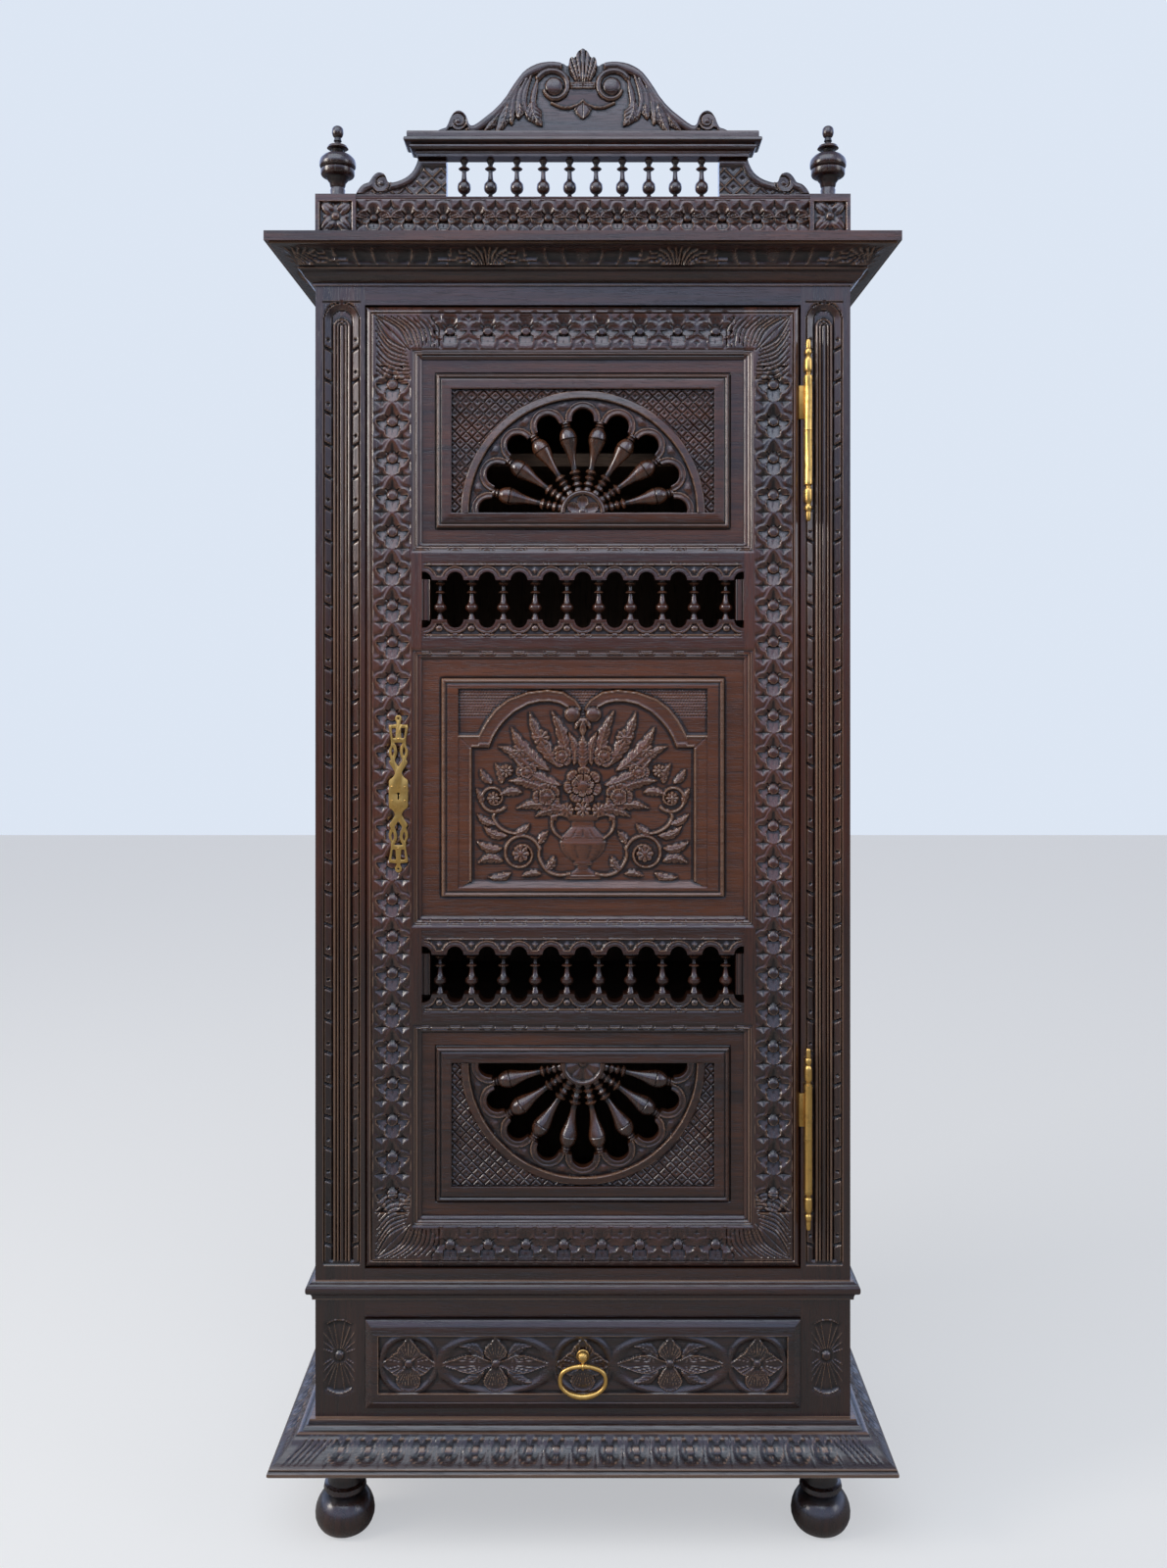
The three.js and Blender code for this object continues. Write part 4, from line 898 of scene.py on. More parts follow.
def corner_spray(x, z, size):
    """Long gouges that sweep from the mitre of a corner. The corner's outer point is (0, 0), and
    the frame's members run along +x and +z."""
    heights = np.zeros(np.shape(x))
    for flip in (False, True):
        a, b = (z, x) if flip else (x, z)
        for i in range(9):
            share = i / 8
            foot = (size * (0.66 + 0.55 * share), size * (0.62 + 0.08 * share))
            tip = (size * (0.08 + 0.98 * share), size * 0.05)
            bow = (0.5 * (foot[0] + tip[0]) + size * 0.10, 0.5 * (foot[1] + tip[1]) - size * 0.05)
            thick = 2.0 if i % 2 == 0 else 1.2
            heights = np.minimum(heights, gouge(a, b, [foot, bow, tip], thick, 1.9, 0.45))
    mitre = np.abs(x - z) / math.sqrt(2)
    line = -1.6 * fall(mitre, 1.1) * ((x > 0) & (z > 0))
    return np.minimum(heights, line)


def leaf(x, z, foot, tip, width, height, bend, lobes):
    """A raised leaf from foot to tip with a scalloped edge, a middle rib and side veins."""
    fx, fz = foot
    length = math.dist(foot, tip)
    ux, uz = (tip[0] - fx) / length, (tip[1] - fz) / length
    u = ((x - fx) * ux + (z - fz) * uz) / length
    v = -(x - fx) * uz + (z - fz) * ux
    v = v - bend * length * (4 * u * (1 - u))
    along = np.clip(u, 0, 1)
    half = width * np.sin(math.pi * np.clip(along, 0, 1) ** 0.8) ** 0.75
    half = half * (1 - 0.2 * np.abs(np.sin(math.pi * lobes * along)) ** 3)
    share = np.where((u < 0) | (u > 1), 9.0, np.abs(v) / np.maximum(half, 0.05))
    body = height * bulge(share, 2.4) ** 0.5
    rib = 0.28 * height * fall(np.abs(v), 0.9) * (share < 1)
    cut = np.abs(fold(np.abs(v) / width * 0.9 - u * lobes * 1.15, 0.5))
    vein = -0.3 * height * fall(cut, 0.11) * soft(share, 0.05, 0.3) * (share < 0.97)
    return body + rib + vein


def round_about(centre, angles, reaches):
    """Points round a centre, from their angles and distances."""
    return [
        (centre[0] + r * math.cos(a), centre[1] + r * math.sin(a)) for a, r in zip(angles, reaches)
    ]


def scroll(centre, radius, turns, start, way, tight):
    """Points of a spiral that winds in to its eye."""
    share = np.linspace(0, 1, 40)
    angles = start + way * share * turns * 2 * math.pi
    return round_about(centre, angles, radius * (tight + (1 - tight) * (1 - share) ** 0.85))


def stipple(x, z, pitch, depth):
    """Ground matted with a punch: rows of small pits, each row shifted."""
    row = np.round(z / pitch)
    shift = (row % 2) * pitch / 2 + 0.35 * np.sin(row * 2.1)
    pit = np.hypot(fold(x + shift, pitch), fold(z, pitch)) / (pitch * 0.42)
    return -depth * bulge(pit, 2)


def diamonds(x, z, pitch, size, depth):
    """Distance from lines that cross in diamonds, and a star cut in each of them."""
    near = pitch / math.sqrt(2)
    one, two = (x + z) / math.sqrt(2), (x - z) / math.sqrt(2)
    line = np.minimum(np.abs(fold(one, near)), np.abs(fold(two, near)))
    px, pz = fold(one + near / 2, near), fold(two + near / 2, near)
    return line, star_cut((px + pz) / 1.414, (px - pz) / 1.414, size, size, depth)


def inset(x, z, x0, x1, z0, z1):
    """Distance in from the edges of a rectangle."""
    return np.minimum(np.minimum(x - x0, x1 - x), np.minimum(z - z0, z1 - z))


def sticking(distance):
    """The moulded edge that runs round a panel opening: distance in from the opening's edge."""
    return np.interp(
        distance,
        [0, 0.01, 1.6, 2.4, 4.4, 5.6, 6.0, 8.2, 8.6, 10.6, 11.0, 12.6, 14.0, 14.3],
        [-6.5, -6.0, -5.2, -4.2, -3.6, -4.4, -2.6, -1.7, -3.0, -1.2, -2.2, -0.9, -0.4, 0.0],
    )


def opening_distance(x, z, openings):
    """Distance to the nearest of the rectangular openings, given as (x0, x1, z0, z1)."""
    nearest = np.full(np.shape(x), 99.0)
    for x0, x1, z0, z1 in openings:
        beside = np.maximum(np.maximum(x0 - x, x - x1), 0)
        above = np.maximum(np.maximum(z0 - z, z - z1), 0)
        nearest = np.minimum(nearest, np.maximum(beside, above))
    return nearest


# Raised forms on a sunk ground


GROUND = -8.0


def raise_patch(heights, x, z, points, spread, shape, ground=GROUND):
    """Puts a raised form on the ground near some points."""
    near = close_to(x, z, points, spread)
    if near.any():
        heights[near] = np.maximum(heights[near], ground + shape(x[near], z[near]))


def put_leaf(heights, x, z, foot, tip, width, height, bend, lobes=4, ground=GROUND):
    raise_patch(
        heights, x, z, (foot, tip), width + abs(bend) * math.dist(foot, tip) + 1,
        lambda a, b: leaf(a, b, foot, tip, width, height, bend, lobes), ground,
    )


def put_stem(heights, x, z, points, widths, height, ground=GROUND):
    raise_patch(
        heights, x, z, points, max(widths) + 1,
        lambda a, b: ridge(a, b, points, widths, height), ground,
    )


def rose(x, z, radius, height, petals=5, turn=0.0):
    """A rosette: two rings of hollowed petals round a domed button."""
    away = np.hypot(x, z) / radius
    angle = np.arctan2(z, x) + turn
    out = np.zeros(np.shape(x))
    for outer, lift, shift in ((1.0, 0.62, 0.0), (0.62, 0.85, math.pi / petals)):
        wave = np.abs(np.cos((angle + shift) * petals / 2))
        edge = outer * (0.78 + 0.22 * wave ** 0.6)
        share = np.clip(away / edge, 0, 2)
        body = lift + 0.22 * np.clip(share, 0, 1) ** 3
        groove = 0.34 * fall(wave, 0.22) * (share > 0.25)
        vein = 0.1 * (np.abs(fold(angle + shift, 2 * math.pi / petals / 4)) < 0.05) * (share > 0.5)
        petal = height * (body - groove - vein) * np.clip((1 - share) / 0.09, 0, 1) ** 0.5
        out = np.where(share < 1, np.maximum(petal, out * (share > 0.99)), out)
        if shift:
            rim = fall(np.abs(share - 1.04), 0.05)
            out = out - 0.25 * height * rim * (out > 0)
    button = boss(x, z, radius * 0.24, height * 0.3) + height * 0.82
    return np.where(away < 0.24, button, out)


def daisy(x, z, radius, height):
    """A flower of eight petals round a button."""
    away = np.hypot(x, z) / radius
    wave = np.abs(np.cos(np.arctan2(z, x) * 8 / 2))
    edge = 0.72 + 0.28 * wave ** 0.5
    petal = height * (0.45 + 0.5 * wave ** 0.7) * np.clip((1 - away / edge) / 0.12, 0, 1) ** 0.5
    button = boss(x, z, radius * 0.3, height * 0.5) + height * 0.6
    return np.where(away < 0.3, button, np.where(away < edge, petal, 0))


def put_flower(heights, x, z, centre, radius, height, shape):
    raise_patch(
        heights, x, z, [centre], radius,
        lambda a, b: shape(a - centre[0], b - centre[1], radius, height),
    )


# Case


PILASTER_WIDE = 50.4
PILASTER_FOOT = DOOR_LOW[2] + 3
PILASTER_HEAD = DOOR_HIGH[2] + 6


def pilaster(x, z):
    """The long arched recess of a front stile: two beaded bars and, between them, nested reeds.

    x is measured from the pilaster's middle line.
    """
    half = PILASTER_WIDE / 2
    spring = PILASTER_HEAD - half
    over = np.clip(z - spring, 0, None)
    away = np.hypot(x, over)
    inside = (away < half) & (z > PILASTER_FOOT)
    # The reeds nest inside each other round the arch's middle
    head = spring - 9
    reed_away = np.hypot(x, np.clip(z - head, 0, None))
    reeds = np.interp(
        reed_away,
        [0, 1.2, 2.6, 3.2, 3.8, 5.4, 7.0, 7.6, 8.2, 9.8, 11.4, 12.0, 13.2],
        [-0.8, -1.0, -2.4, -4.4, -2.2, -0.7, -2.2, -4.4, -2.2, -0.8, -2.0, -4.6, -4.8],
    )
    # The bars outside them slope inwards, with slanted notches and a punched dot between each two
    side = np.abs(away - 19.0)
    bar = -4.2 + 0.4 * (away - 14.6) - 3.0 * soft(side, 4.2, 5.2)
    step = fold(z - 0.5 * np.abs(x), 44.3)
    notch = -3.4 * np.clip(1.4 - np.abs(step) / 2.0, 0, 1) * (side < 5.2)
    dot = -3.2 * fall(np.hypot(fold(z + 22.1, 44.3), side), 2.3) ** 0.5
    straight = (z < spring - 3) & (z > PILASTER_FOOT + 8)
    bar = np.maximum(bar + (notch + dot) * straight, -6.0)
    ledge = -0.9 * (away > 25.0)
    floor = np.where(away > 24.6, ledge, np.where(away > 13.4, bar, reeds))
    foot = soft(z, PILASTER_FOOT + 3, PILASTER_FOOT + 7)
    floor = np.where(z < PILASTER_FOOT + 7, -2.0 * (1 - foot) + floor * foot, floor)
    edge = -0.9 * fall(np.abs(away - half), 1.2)
    square = (np.abs(x) < half + 1) & (np.abs(z - PILASTER_HEAD) < 1.0)
    return np.where(inside, floor, np.minimum(edge * (z > PILASTER_FOOT), -1.2 * square))


def foot_motif(x, z):
    """A long hollow beside the drawer, with fine gouges that fan up and down from a knot and a
    curled lip at each end."""
    rim = np.minimum(25.0 - np.abs(x), 57 - np.abs(z) - 0.016 * x * x)
    heights = -3.4 * soft(rim, 0, 13)
    away = np.hypot(x, z)
    turn = np.degrees(np.arctan2(np.abs(x), np.abs(z)))
    for lean in (9, 20, 32, 46, 64):
        off = np.abs(away * np.sin(np.radians(turn - lean)))
        reach = soft(away, 8, 12) * (1 - soft(away, 47 - 0.3 * lean, 52 - 0.3 * lean))
        heights = heights + 1.5 * fall(off, 1.15) * reach * (rim > 1.5)
    lip = np.abs(np.abs(z) - 51 + 0.022 * x * x)
    heights = heights + 1.7 * fall(lip, 1.6) * (np.abs(x) < 17)
    heights = np.where(away < 6.0, -2.6 + boss(x, z, 5.8, 2.6), heights)
    return np.where(rim > 0, np.minimum(heights, 0), 0)


def stile_face(side):
    middle = HALF - 36.1

    def face(x, z):
        across = side * x - middle
        return np.minimum(pilaster(across, z), foot_motif(across - 3.4, z - 254))

    return face


class CABINET_OT_stiles(bpy.types.Operator):
    """Carve the two front stiles with their pilasters"""

    bl_idname = "object.cabinet_stiles"
    bl_label = "Front stiles"

    def execute(self, context):
        cell = context.scene.cabinet_sizes.cell / MM
        for name, side in (("left", -1), ("right", 1)):
            low, high = node_box(f"{name}_front_stile")
            xs = lines(low[0], high[0], cell * 0.85)
            zs = lines(low[2], high[2], cell * 1.15)
            face = carved_board(xs, zs, low[1], low[1] + 9, stile_face(side), wear_and_highlight=0.8)
            post = solid_box((low[0], low[1] + 8.5, low[2]), tuple(high), 0)
            if side < 0:
                bolt_low, bolt_high = node_box("lock_bolt")
                slot = solid_box(
                    (bolt_low[0] - 11, bolt_low[1] - 0.6, bolt_low[2] - 1),
                    (bolt_low[0] + 6, bolt_high[1] + 0.6, bolt_high[2] + 1), 0,
                )
                cut_away(post, slot)
            dress(joined(face, post), f"{name}_stile_carved", "upright", "cabinet", "dark_oak",
                  f"{name}_front_stile")
        return {"FINISHED"}


def wrapped_moulding(profile, carve, cell):
    """A moulding round the left side, the front and the right side, with mitred corners.

    profile is a closed loop of (reach, height) in millimetres. carve may give how far the face
    stands out, from the distance along a side, the reach, the height, the distance from the
    corner and whether it is on a side.
    """
    loop = np.array(profile + [profile[0]], float)
    tangent = np.gradient(loop, axis=0)
    tangent[0] = tangent[-1] = loop[1] - loop[-2]
    size = np.maximum(np.hypot(*tangent.T), 1e-6)
    normal = np.stack([tangent[:, 1], -tangent[:, 0]], axis=-1) / size[:, None]
    side_count = max(3, int(round((BACK - FRONT) / cell)) + 1)
    front_count = max(3, int(round(2 * HALF / cell)) + 1)
    columns = [("left", share) for share in np.linspace(0, 1, side_count)[:-1]]
    columns += [("front", share) for share in np.linspace(0, 1, front_count)]
    columns += [("right", share) for share in np.linspace(0, 1, side_count)[1:]]
    reach = np.repeat(loop[:, :1], len(columns), axis=1)
    height = np.repeat(loop[:, 1:], len(columns), axis=1)
    heights = np.zeros_like(reach)

    def placed(reach, run, share):
        if run == "front":
            return (HALF + reach) * (2 * share - 1), FRONT - reach
        way, inwards = (-1, share) if run == "left" else (1, 1 - share)
        return (HALF + reach) * way, BACK + (FRONT - reach - BACK) * inwards

    along = np.zeros_like(reach)
    corner = np.zeros_like(reach)
    for index, (run, share) in enumerate(columns):
        x, y = placed(reach[:, index], run, share)
        along[:, index] = x if run == "front" else y - (FRONT + BACK) / 2
        ends = HALF + reach[:, index]
        corner[:, index] = ends - np.abs(x) if run == "front" else y - (FRONT - reach[:, index])
    if carve:
        is_side = np.array([run != "front" for run, _ in columns])[None, :]
        heights = carve(along, reach, height, corner, is_side)
        reach = reach + heights * normal[:, :1]
        height = height + heights * normal[:, 1:]
    wide, deep = np.zeros_like(reach), np.zeros_like(reach)
    for index, (run, share) in enumerate(columns):
        wide[:, index], deep[:, index] = placed(reach[:, index], run, share)
    grid = grid_through(wide, deep, height)
    # Sharp edges of the profile get the lighter ridge colour, for rubbing and painted highlight,
    # and its inner corners painted shade
    ahead, behind = np.diff(loop, axis=0), np.roll(np.diff(loop, axis=0), 1, axis=0)
    cross = behind[:, 0] * ahead[:, 1] - behind[:, 1] * ahead[:, 0]
    bend = np.arctan2(cross, (behind * ahead).sum(axis=1))
    bend = np.append(bend, bend[0])
    edge = 0.75 * np.clip(bend / 0.6 - 0.5, 0, 1) + 0.5 * np.clip(bend / 0.9, -1, 0)
    mark_relief(grid, (relief_of(heights) + edge[:, None]).ravel())

    in_edit_mode(grid, weld)
    in_edit_mode(grid, lambda: bpy.ops.mesh.fill_holes(sides=0), outwards)
    return grid


CORNICE_LOW, CORNICE_HIGH = node_box("cornice_moulding")
# How far out and up the tips of the cornice's leaf gouges stand
CORNICE_LEAVES = ((4, 24), (14, 24), (26, 23), (39, 20), (53, 14.5), (67, 8))


def cornice_carving(along, reach, height, corner, is_side):
    """Leaf lobes, eyes and fans of gouges along the cornice's upper hollow."""
    low, high = CORNICE_LOW[2] + 23.5, CORNICE_HIGH[2] - 3.0
    share = (height - low) / (high - low)
    inside = (share > 0) & (share < 1) & (reach > 4)
    place = np.where(is_side, fold(along, 259.5, 20.0), fold(along, 259.5, 0.0))
    rise = np.clip(share, 0, 1)
    heights = np.zeros(np.shape(along))
    apart = np.abs(place)
    # A fan of leaf gouges between each two eyes, its foot at the bottom
    outer = 129.75 - apart
    high = rise * 27.0
    for i, (tip_out, tip_up) in enumerate(CORNICE_LEAVES):
        foot_out = 1.0 + 3.2 * i
        bow = (foot_out + 0.42 * (tip_out - foot_out), 1 + 0.72 * (tip_up - 1))
        line = [(foot_out, 1.0), bow, (tip_out, tip_up)]
        heights = heights + ridge(outer, high, line, (1.3, 2.0, 1.3), 2.4, 0.8)
    # Broad scoops beside each eye
    for start, wide in ((3.0, 21.0), (25.0, 24.0), (50.0, 27.0)):
        bowed = apart - start - wide / 2 - 6 * rise
        scoop = -1.3 * bulge(bowed / (wide / 2), 2) ** 0.5
        heights = heights + scoop * soft(rise, 0.02, 0.3) * (1 - soft(rise, 0.7, 0.98))
        rib = np.abs(apart - start - wide + 3 - 6 * np.sin(math.pi * 0.6 * rise))
        heights = heights + 1.6 * fall(rib, 1.9) * (1 - soft(rise, 0.85, 0.98))
    eye = np.hypot(place, (rise - 0.34) * 30) / 4.6
    heights = np.where(eye < 1, 2.2 * np.sqrt(bulge(eye, 2)) - 1.6, heights)
    return np.where(inside, heights * soft(corner, 1.0, 8.0), 0)


PLINTH_FOOT = node_box("plinth_moulding")[0][2]
PLINTH_PITCH = 36.6


def plinth_carving(along, reach, height, corner, is_side):
    """A row of small flowers on the plinth's slope, with leaf gouges at the mitres."""
    low, high = PLINTH_FOOT + 13.5, PLINTH_FOOT + 38.0
    share = (height - low) / (high - low)
    inside = (share > 0) & (share < 1) & (reach > 14)
    up = (share - 0.5) * 33.0
    row = np.where(is_side, fold(along, PLINTH_PITCH, 16.0), fold(along, PLINTH_PITCH))
    flower = small_flower(row, up, 15.6)
    between = -1.4 * fall(np.abs(np.abs(row) - PLINTH_PITCH / 2), 1.0)
    flowers = np.where(corner > 58, np.minimum(flower, between), 0)
    spray = np.zeros(np.shape(along))
    for i in range(5):
        at = 12 + 8.5 * i
        bowed = corner - at - 14 * np.clip(share - 0.2, 0, None) ** 1.3
        spray = np.minimum(spray, -1.8 * fall(np.abs(bowed), 2.0))
    spray = spray * (corner < 56) * soft(share, 0.02, 0.15) * (1 - soft(share, 0.82, 0.98))
    return np.where(inside, np.minimum(flowers, spray), 0)


def small_flower(x, z, radius):
    """A sunk eight-rayed flower with a button, in a round hollow."""
    away = np.hypot(x, z)
    angle = np.arctan2(z, x)
    share = away / radius
    petals = 0.5 + 0.5 * np.cos(4 * angle)
    dish = -2.7 * bulge(share, 6)
    lobe = 2.1 * np.clip(petals, 0, 1) ** 0.5
    lobe = lobe * fall(np.abs(share - 0.55), 0.42) ** 0.7
    crease = -1.0 * fall(np.abs(np.sin(2 * angle)), 0.16) * (share < 0.9)
    heights = np.where(share < 1, dish + lobe + crease * (share > 0.3), 0)
    return np.where(share < 0.3, -0.5 + boss(x, z, radius * 0.3, 1.8), heights)


CORNICE_SHARES = [
    (-0.05, 0), (0.06, 0), (0.06, 0), (0.06, 0.07), (0.06, 0.07), (0.15, 0.11), (0.23, 0.21),
    (0.28, 0.32), (0.3, 0.39), (0.3, 0.39), (0.35, 0.39), (0.35, 0.39), (0.385, 0.44), (0.35, 0.49),
    (0.35, 0.49), (0.39, 0.49), (0.39, 0.49), (0.42, 0.6), (0.5, 0.735), (0.63, 0.85),
    (0.8, 0.915), (0.9, 0.93), (0.9, 0.93), (0.93, 0.93), (0.93, 0.93), (0.99, 0.955),
    (0.99, 0.995), (0.93, 1), (0.93, 1), (-0.05, 1),
]
WAIST_SHARES = [
    (-0.3, 0), (0.33, 0), (0.33, 0), (0.38, 0.2), (0.55, 0.32), (0.8, 0.36), (0.8, 0.36),
    (0.95, 0.44), (1.0, 0.6), (0.93, 0.76), (0.8, 0.8), (0.8, 0.8), (0.7, 0.86), (0.4, 0.93),
    (0.3, 1), (0.3, 1), (-0.3, 1),
]
PLINTH_SHARES = [
    (-0.05, 0), (0.97, 0), (0.97, 0), (1.0, 0.04), (1.0, 0.09), (0.98, 0.13), (0.98, 0.13),
    (0.955, 0.14), (0.955, 0.14), (0.965, 0.18), (0.94, 0.22), (0.89, 0.235), (0.89, 0.235),
    (0.88, 0.25), (0.88, 0.25), (0.8, 0.305), (0.66, 0.415), (0.52, 0.565), (0.44, 0.72),
    (0.44, 0.72), (0.4, 0.72), (0.4, 0.72), (0.385, 0.77), (0.32, 0.8), (0.27, 0.79),
    (0.27, 0.79), (0.24, 0.82), (0.24, 0.82), (0.2, 0.87), (0.13, 0.89), (0.13, 0.89),
    (0.12, 1), (0.12, 1), (-0.05, 1),
]


class CABINET_OT_mouldings(bpy.types.Operator):
    """Run the cornice, the waist moulding and the plinth round the case"""

    bl_idname = "object.cabinet_mouldings"
    bl_label = "Mouldings"

    def execute(self, context):
        fine = context.scene.cabinet_sizes.cell / MM * 1.1
        # How far the waist's profile goes on behind its neighbours, below and above
        under, over = 5, 3
        for name, node, shares, hidden, steps, carve, cell in (
            ("cornice_carved", "cornice_moulding", CORNICE_SHARES, (0, 0), 7,
             cornice_carving, fine),
            ("waist_run", "waist_moulding", WAIST_SHARES, (under, over), 4, None, 60.0),
            ("plinth_carved", "plinth_moulding", PLINTH_SHARES, (0, 0), 6,
             plinth_carving, fine),
        ):
            low, high = node_box(node)
            bottom, top = low[2] - hidden[0], high[2] + hidden[1]
            profile = stretched(shares, -HALF - low[0], bottom, top, steps)
            moulding = wrapped_moulding(profile, carve, cell)
            dress(moulding, name, "lying", "cabinet", "dark_oak", node)
        return {"FINISHED"}


FOOT_PROFILE = [
    (0.50, 0), (0.50, 0), (0.66, 0.015), (0.84, 0.06), (0.97, 0.14), (1.0, 0.22), (0.95, 0.31),
    (0.83, 0.39), (0.66, 0.445), (0.6, 0.455), (0.6, 0.455), (0.6, 0.47), (0.6, 0.47),
    (0.69, 0.48), (0.72, 0.515), (0.69, 0.55), (0.6, 0.56), (0.6, 0.56), (0.56, 0.58),
    (0.55, 0.62), (0.57, 0.7), (0.57, 0.7), (0.57, 1.0),
]


class CABINET_OT_feet(bpy.types.Operator):
    """Turn the four bun feet"""

    bl_idname = "object.cabinet_feet"
    bl_label = "Bun feet"

    def execute(self, context):
        low, high = node_box("front_left_foot")
        radius = (high[0] - low[0]) / 2 * 1.02
        first = turned_to(FOOT_PROFILE, radius, 0, high[2] - low[2], 40, 3)
        for end in ("front", "back"):
            for side in ("left", "right"):
                node = f"{end}_{side}_foot"
                low, high = node_box(node)
                middle = (low + high) / 2
                foot = copied(first, Matrix.Translation((middle[0], middle[1], low[2])))
                dress(foot, f"{node}_turned", "upright", "cabinet", "dark_oak", node)
        bpy.data.objects.remove(first)
        return {"FINISHED"}


# Door


def door_openings():
    """The three panel openings of the door, (x0, x1, z0, z1), from the nodes that frame them."""
    names = (
        ("door_bottom_rail", "lower_gallery_with_spindles"),
        ("lower_gallery_top_rail", "upper_gallery_with_spindles"),
        ("upper_gallery_top_rail", "door_top_rail"),
    )
    return [
        (-SIGHT, SIGHT, node_box(under)[1][2], node_box(over)[0][2]) for under, over in names
    ]


DOOR_OPENINGS = door_openings()
FLOWER_X = -264.0
STILE_FLOWERS = (478.6, 1600.2, 23)
RAIL_FLOWERS = 8
RAIL_PITCH = 52.6
CORNER_SIZE = 74.0
# How far the lock stile's face reaches over the gap beside the door
LIP = 1.6


def door_edge(x, z):
    """The rounded outer edge of the door's frame, with a quirk inside it."""
    away = np.minimum(
        np.minimum(x - DOOR_LOW[0] + LIP, DOOR_HIGH[0] - x),
        np.minimum(z - DOOR_LOW[2], DOOR_HIGH[2] - z),
    )
    return np.interp(
        away, [0, 0.6, 6.0, 7.2, 8.2, 8.8, 9.4, 10.4], [-4.2, -3.2, -0.5, -0.1, -0.2, -1.9, -1.9, 0]
    )


def door_face(sizes):
    """The door frame's whole carved face."""
    size, depth = sizes.flower_size / MM, sizes.flower_depth / MM
    first, last, count = STILE_FLOWERS
    pitch = (last - first) / (count - 1)

    def face(x, z):
        heights = np.minimum(door_edge(x, z), sticking(opening_distance(x, z, DOOR_OPENINGS)))
        stain = np.zeros(np.shape(x))
        across = np.abs(x) + FLOWER_X
        beside = (z > first - pitch / 2) & (z < last + pitch / 2)
        up = fold(z, pitch, first)
        flower = quatrefoil(across, up, size, depth)
        for way in (-1, 1):
            points = star_cut(np.abs(across) - 14.0, up - way * pitch / 2 - 0.8, 12.5, 10.5, 5.0)
            flower = np.minimum(flower, points)
        near = beside & (np.abs(across) < size / 2 + 4)
        heights = np.where(near, heights + flower, heights)
        stain[near & (np.hypot(across, up) < 0.36 * size / 2)] = -0.2
        for rail_z in (DOOR_LOW[2] + 30.5, DOOR_HIGH[2] - 33.0):
            along = fold(x, RAIL_PITCH, RAIL_PITCH / 2)
            up = z - rail_z
            flower = quatrefoil(along, up, 46.0, 0.78 * depth, RAIL_FLOWER, 0.3)
            apart = np.abs(along) - RAIL_PITCH / 2
            flower = np.minimum(flower, star_cut(apart, np.abs(up) - 17.0, 6.5, 8.0, 2.6))
            near = (np.abs(x) < RAIL_FLOWERS / 2 * RAIL_PITCH) & (np.abs(up) < size / 2 + 4)
            heights = np.where(near, heights + flower, heights)
            stain[near & (np.hypot(along, up) < 6.0)] = -0.2
        inner = np.abs(np.abs(x) - DOOR_HIGH[0]) - 10
        for corner_z, way in ((DOOR_HIGH[2], 1), (DOOR_LOW[2], -1)):
            inwards = way * (corner_z - z) - 10
            near = (inner < 92) & (inwards < 92)
            spray = corner_spray(inner[near], inwards[near], CORNER_SIZE)
            clear = soft(inner[near], 0, 3) * soft(inwards[near], 0, 3)
            keep = (opening_distance(x[near], z[near], DOOR_OPENINGS) > 16) * clear
            heights[near] = heights[near] + spray * keep
        return heights, stain

    return face


class CABINET_OT_door_frame(bpy.types.Operator):
    """Carve the door's stiles and its top and bottom rails"""

    bl_idname = "object.cabinet_door_frame"
    bl_label = "Door frame"

    def execute(self, context):
        sizes = context.scene.cabinet_sizes
        cell = sizes.cell / MM
        face = door_face(sizes)
        for node, finish in (
            ("door_lock_stile", "border_upright"), ("door_hinge_stile", "border_upright"),
            ("door_top_rail", "border"), ("door_bottom_rail", "border"),
        ):
            low, high = node_box(node)
            tall = [z for opening in DOOR_OPENINGS for z in opening[2:]]
            start = low[0] - LIP * (node == "door_lock_stile")
            xs = lines(start, high[0], cell * 0.9, (SIGHT, -SIGHT))
            zs = lines(low[2], high[2], cell * 0.94, tall)
            wear_and_highlight = 0.4 if finish == "border" else 1.0
            board = carved_board(xs, zs, DOOR_FRONT, DOOR_BACK, face, wear_and_highlight=wear_and_highlight)
            if node == "door_lock_stile":
                plate_low, plate_high = node_box("key_plate")
                middle = (plate_low + plate_high) / 2
                hole = solid_box(
                    (middle[0] - 1.7, DOOR_FRONT - 5, middle[2] - 9),
                    (middle[0] + 1.7, DOOR_BACK + 5, middle[2] + 2.5), 0,
                )
                cut_away(board, hole)
            dress(board, f"{node}_carved", finish, "door", "dark_oak", node)
        return {"FINISHED"}


NOTCH_RADIUS = 11.7
SPINDLE_PITCH = 44.2
GALLERY_SPINDLES = 10
GALLERY_RAIL = 55.0


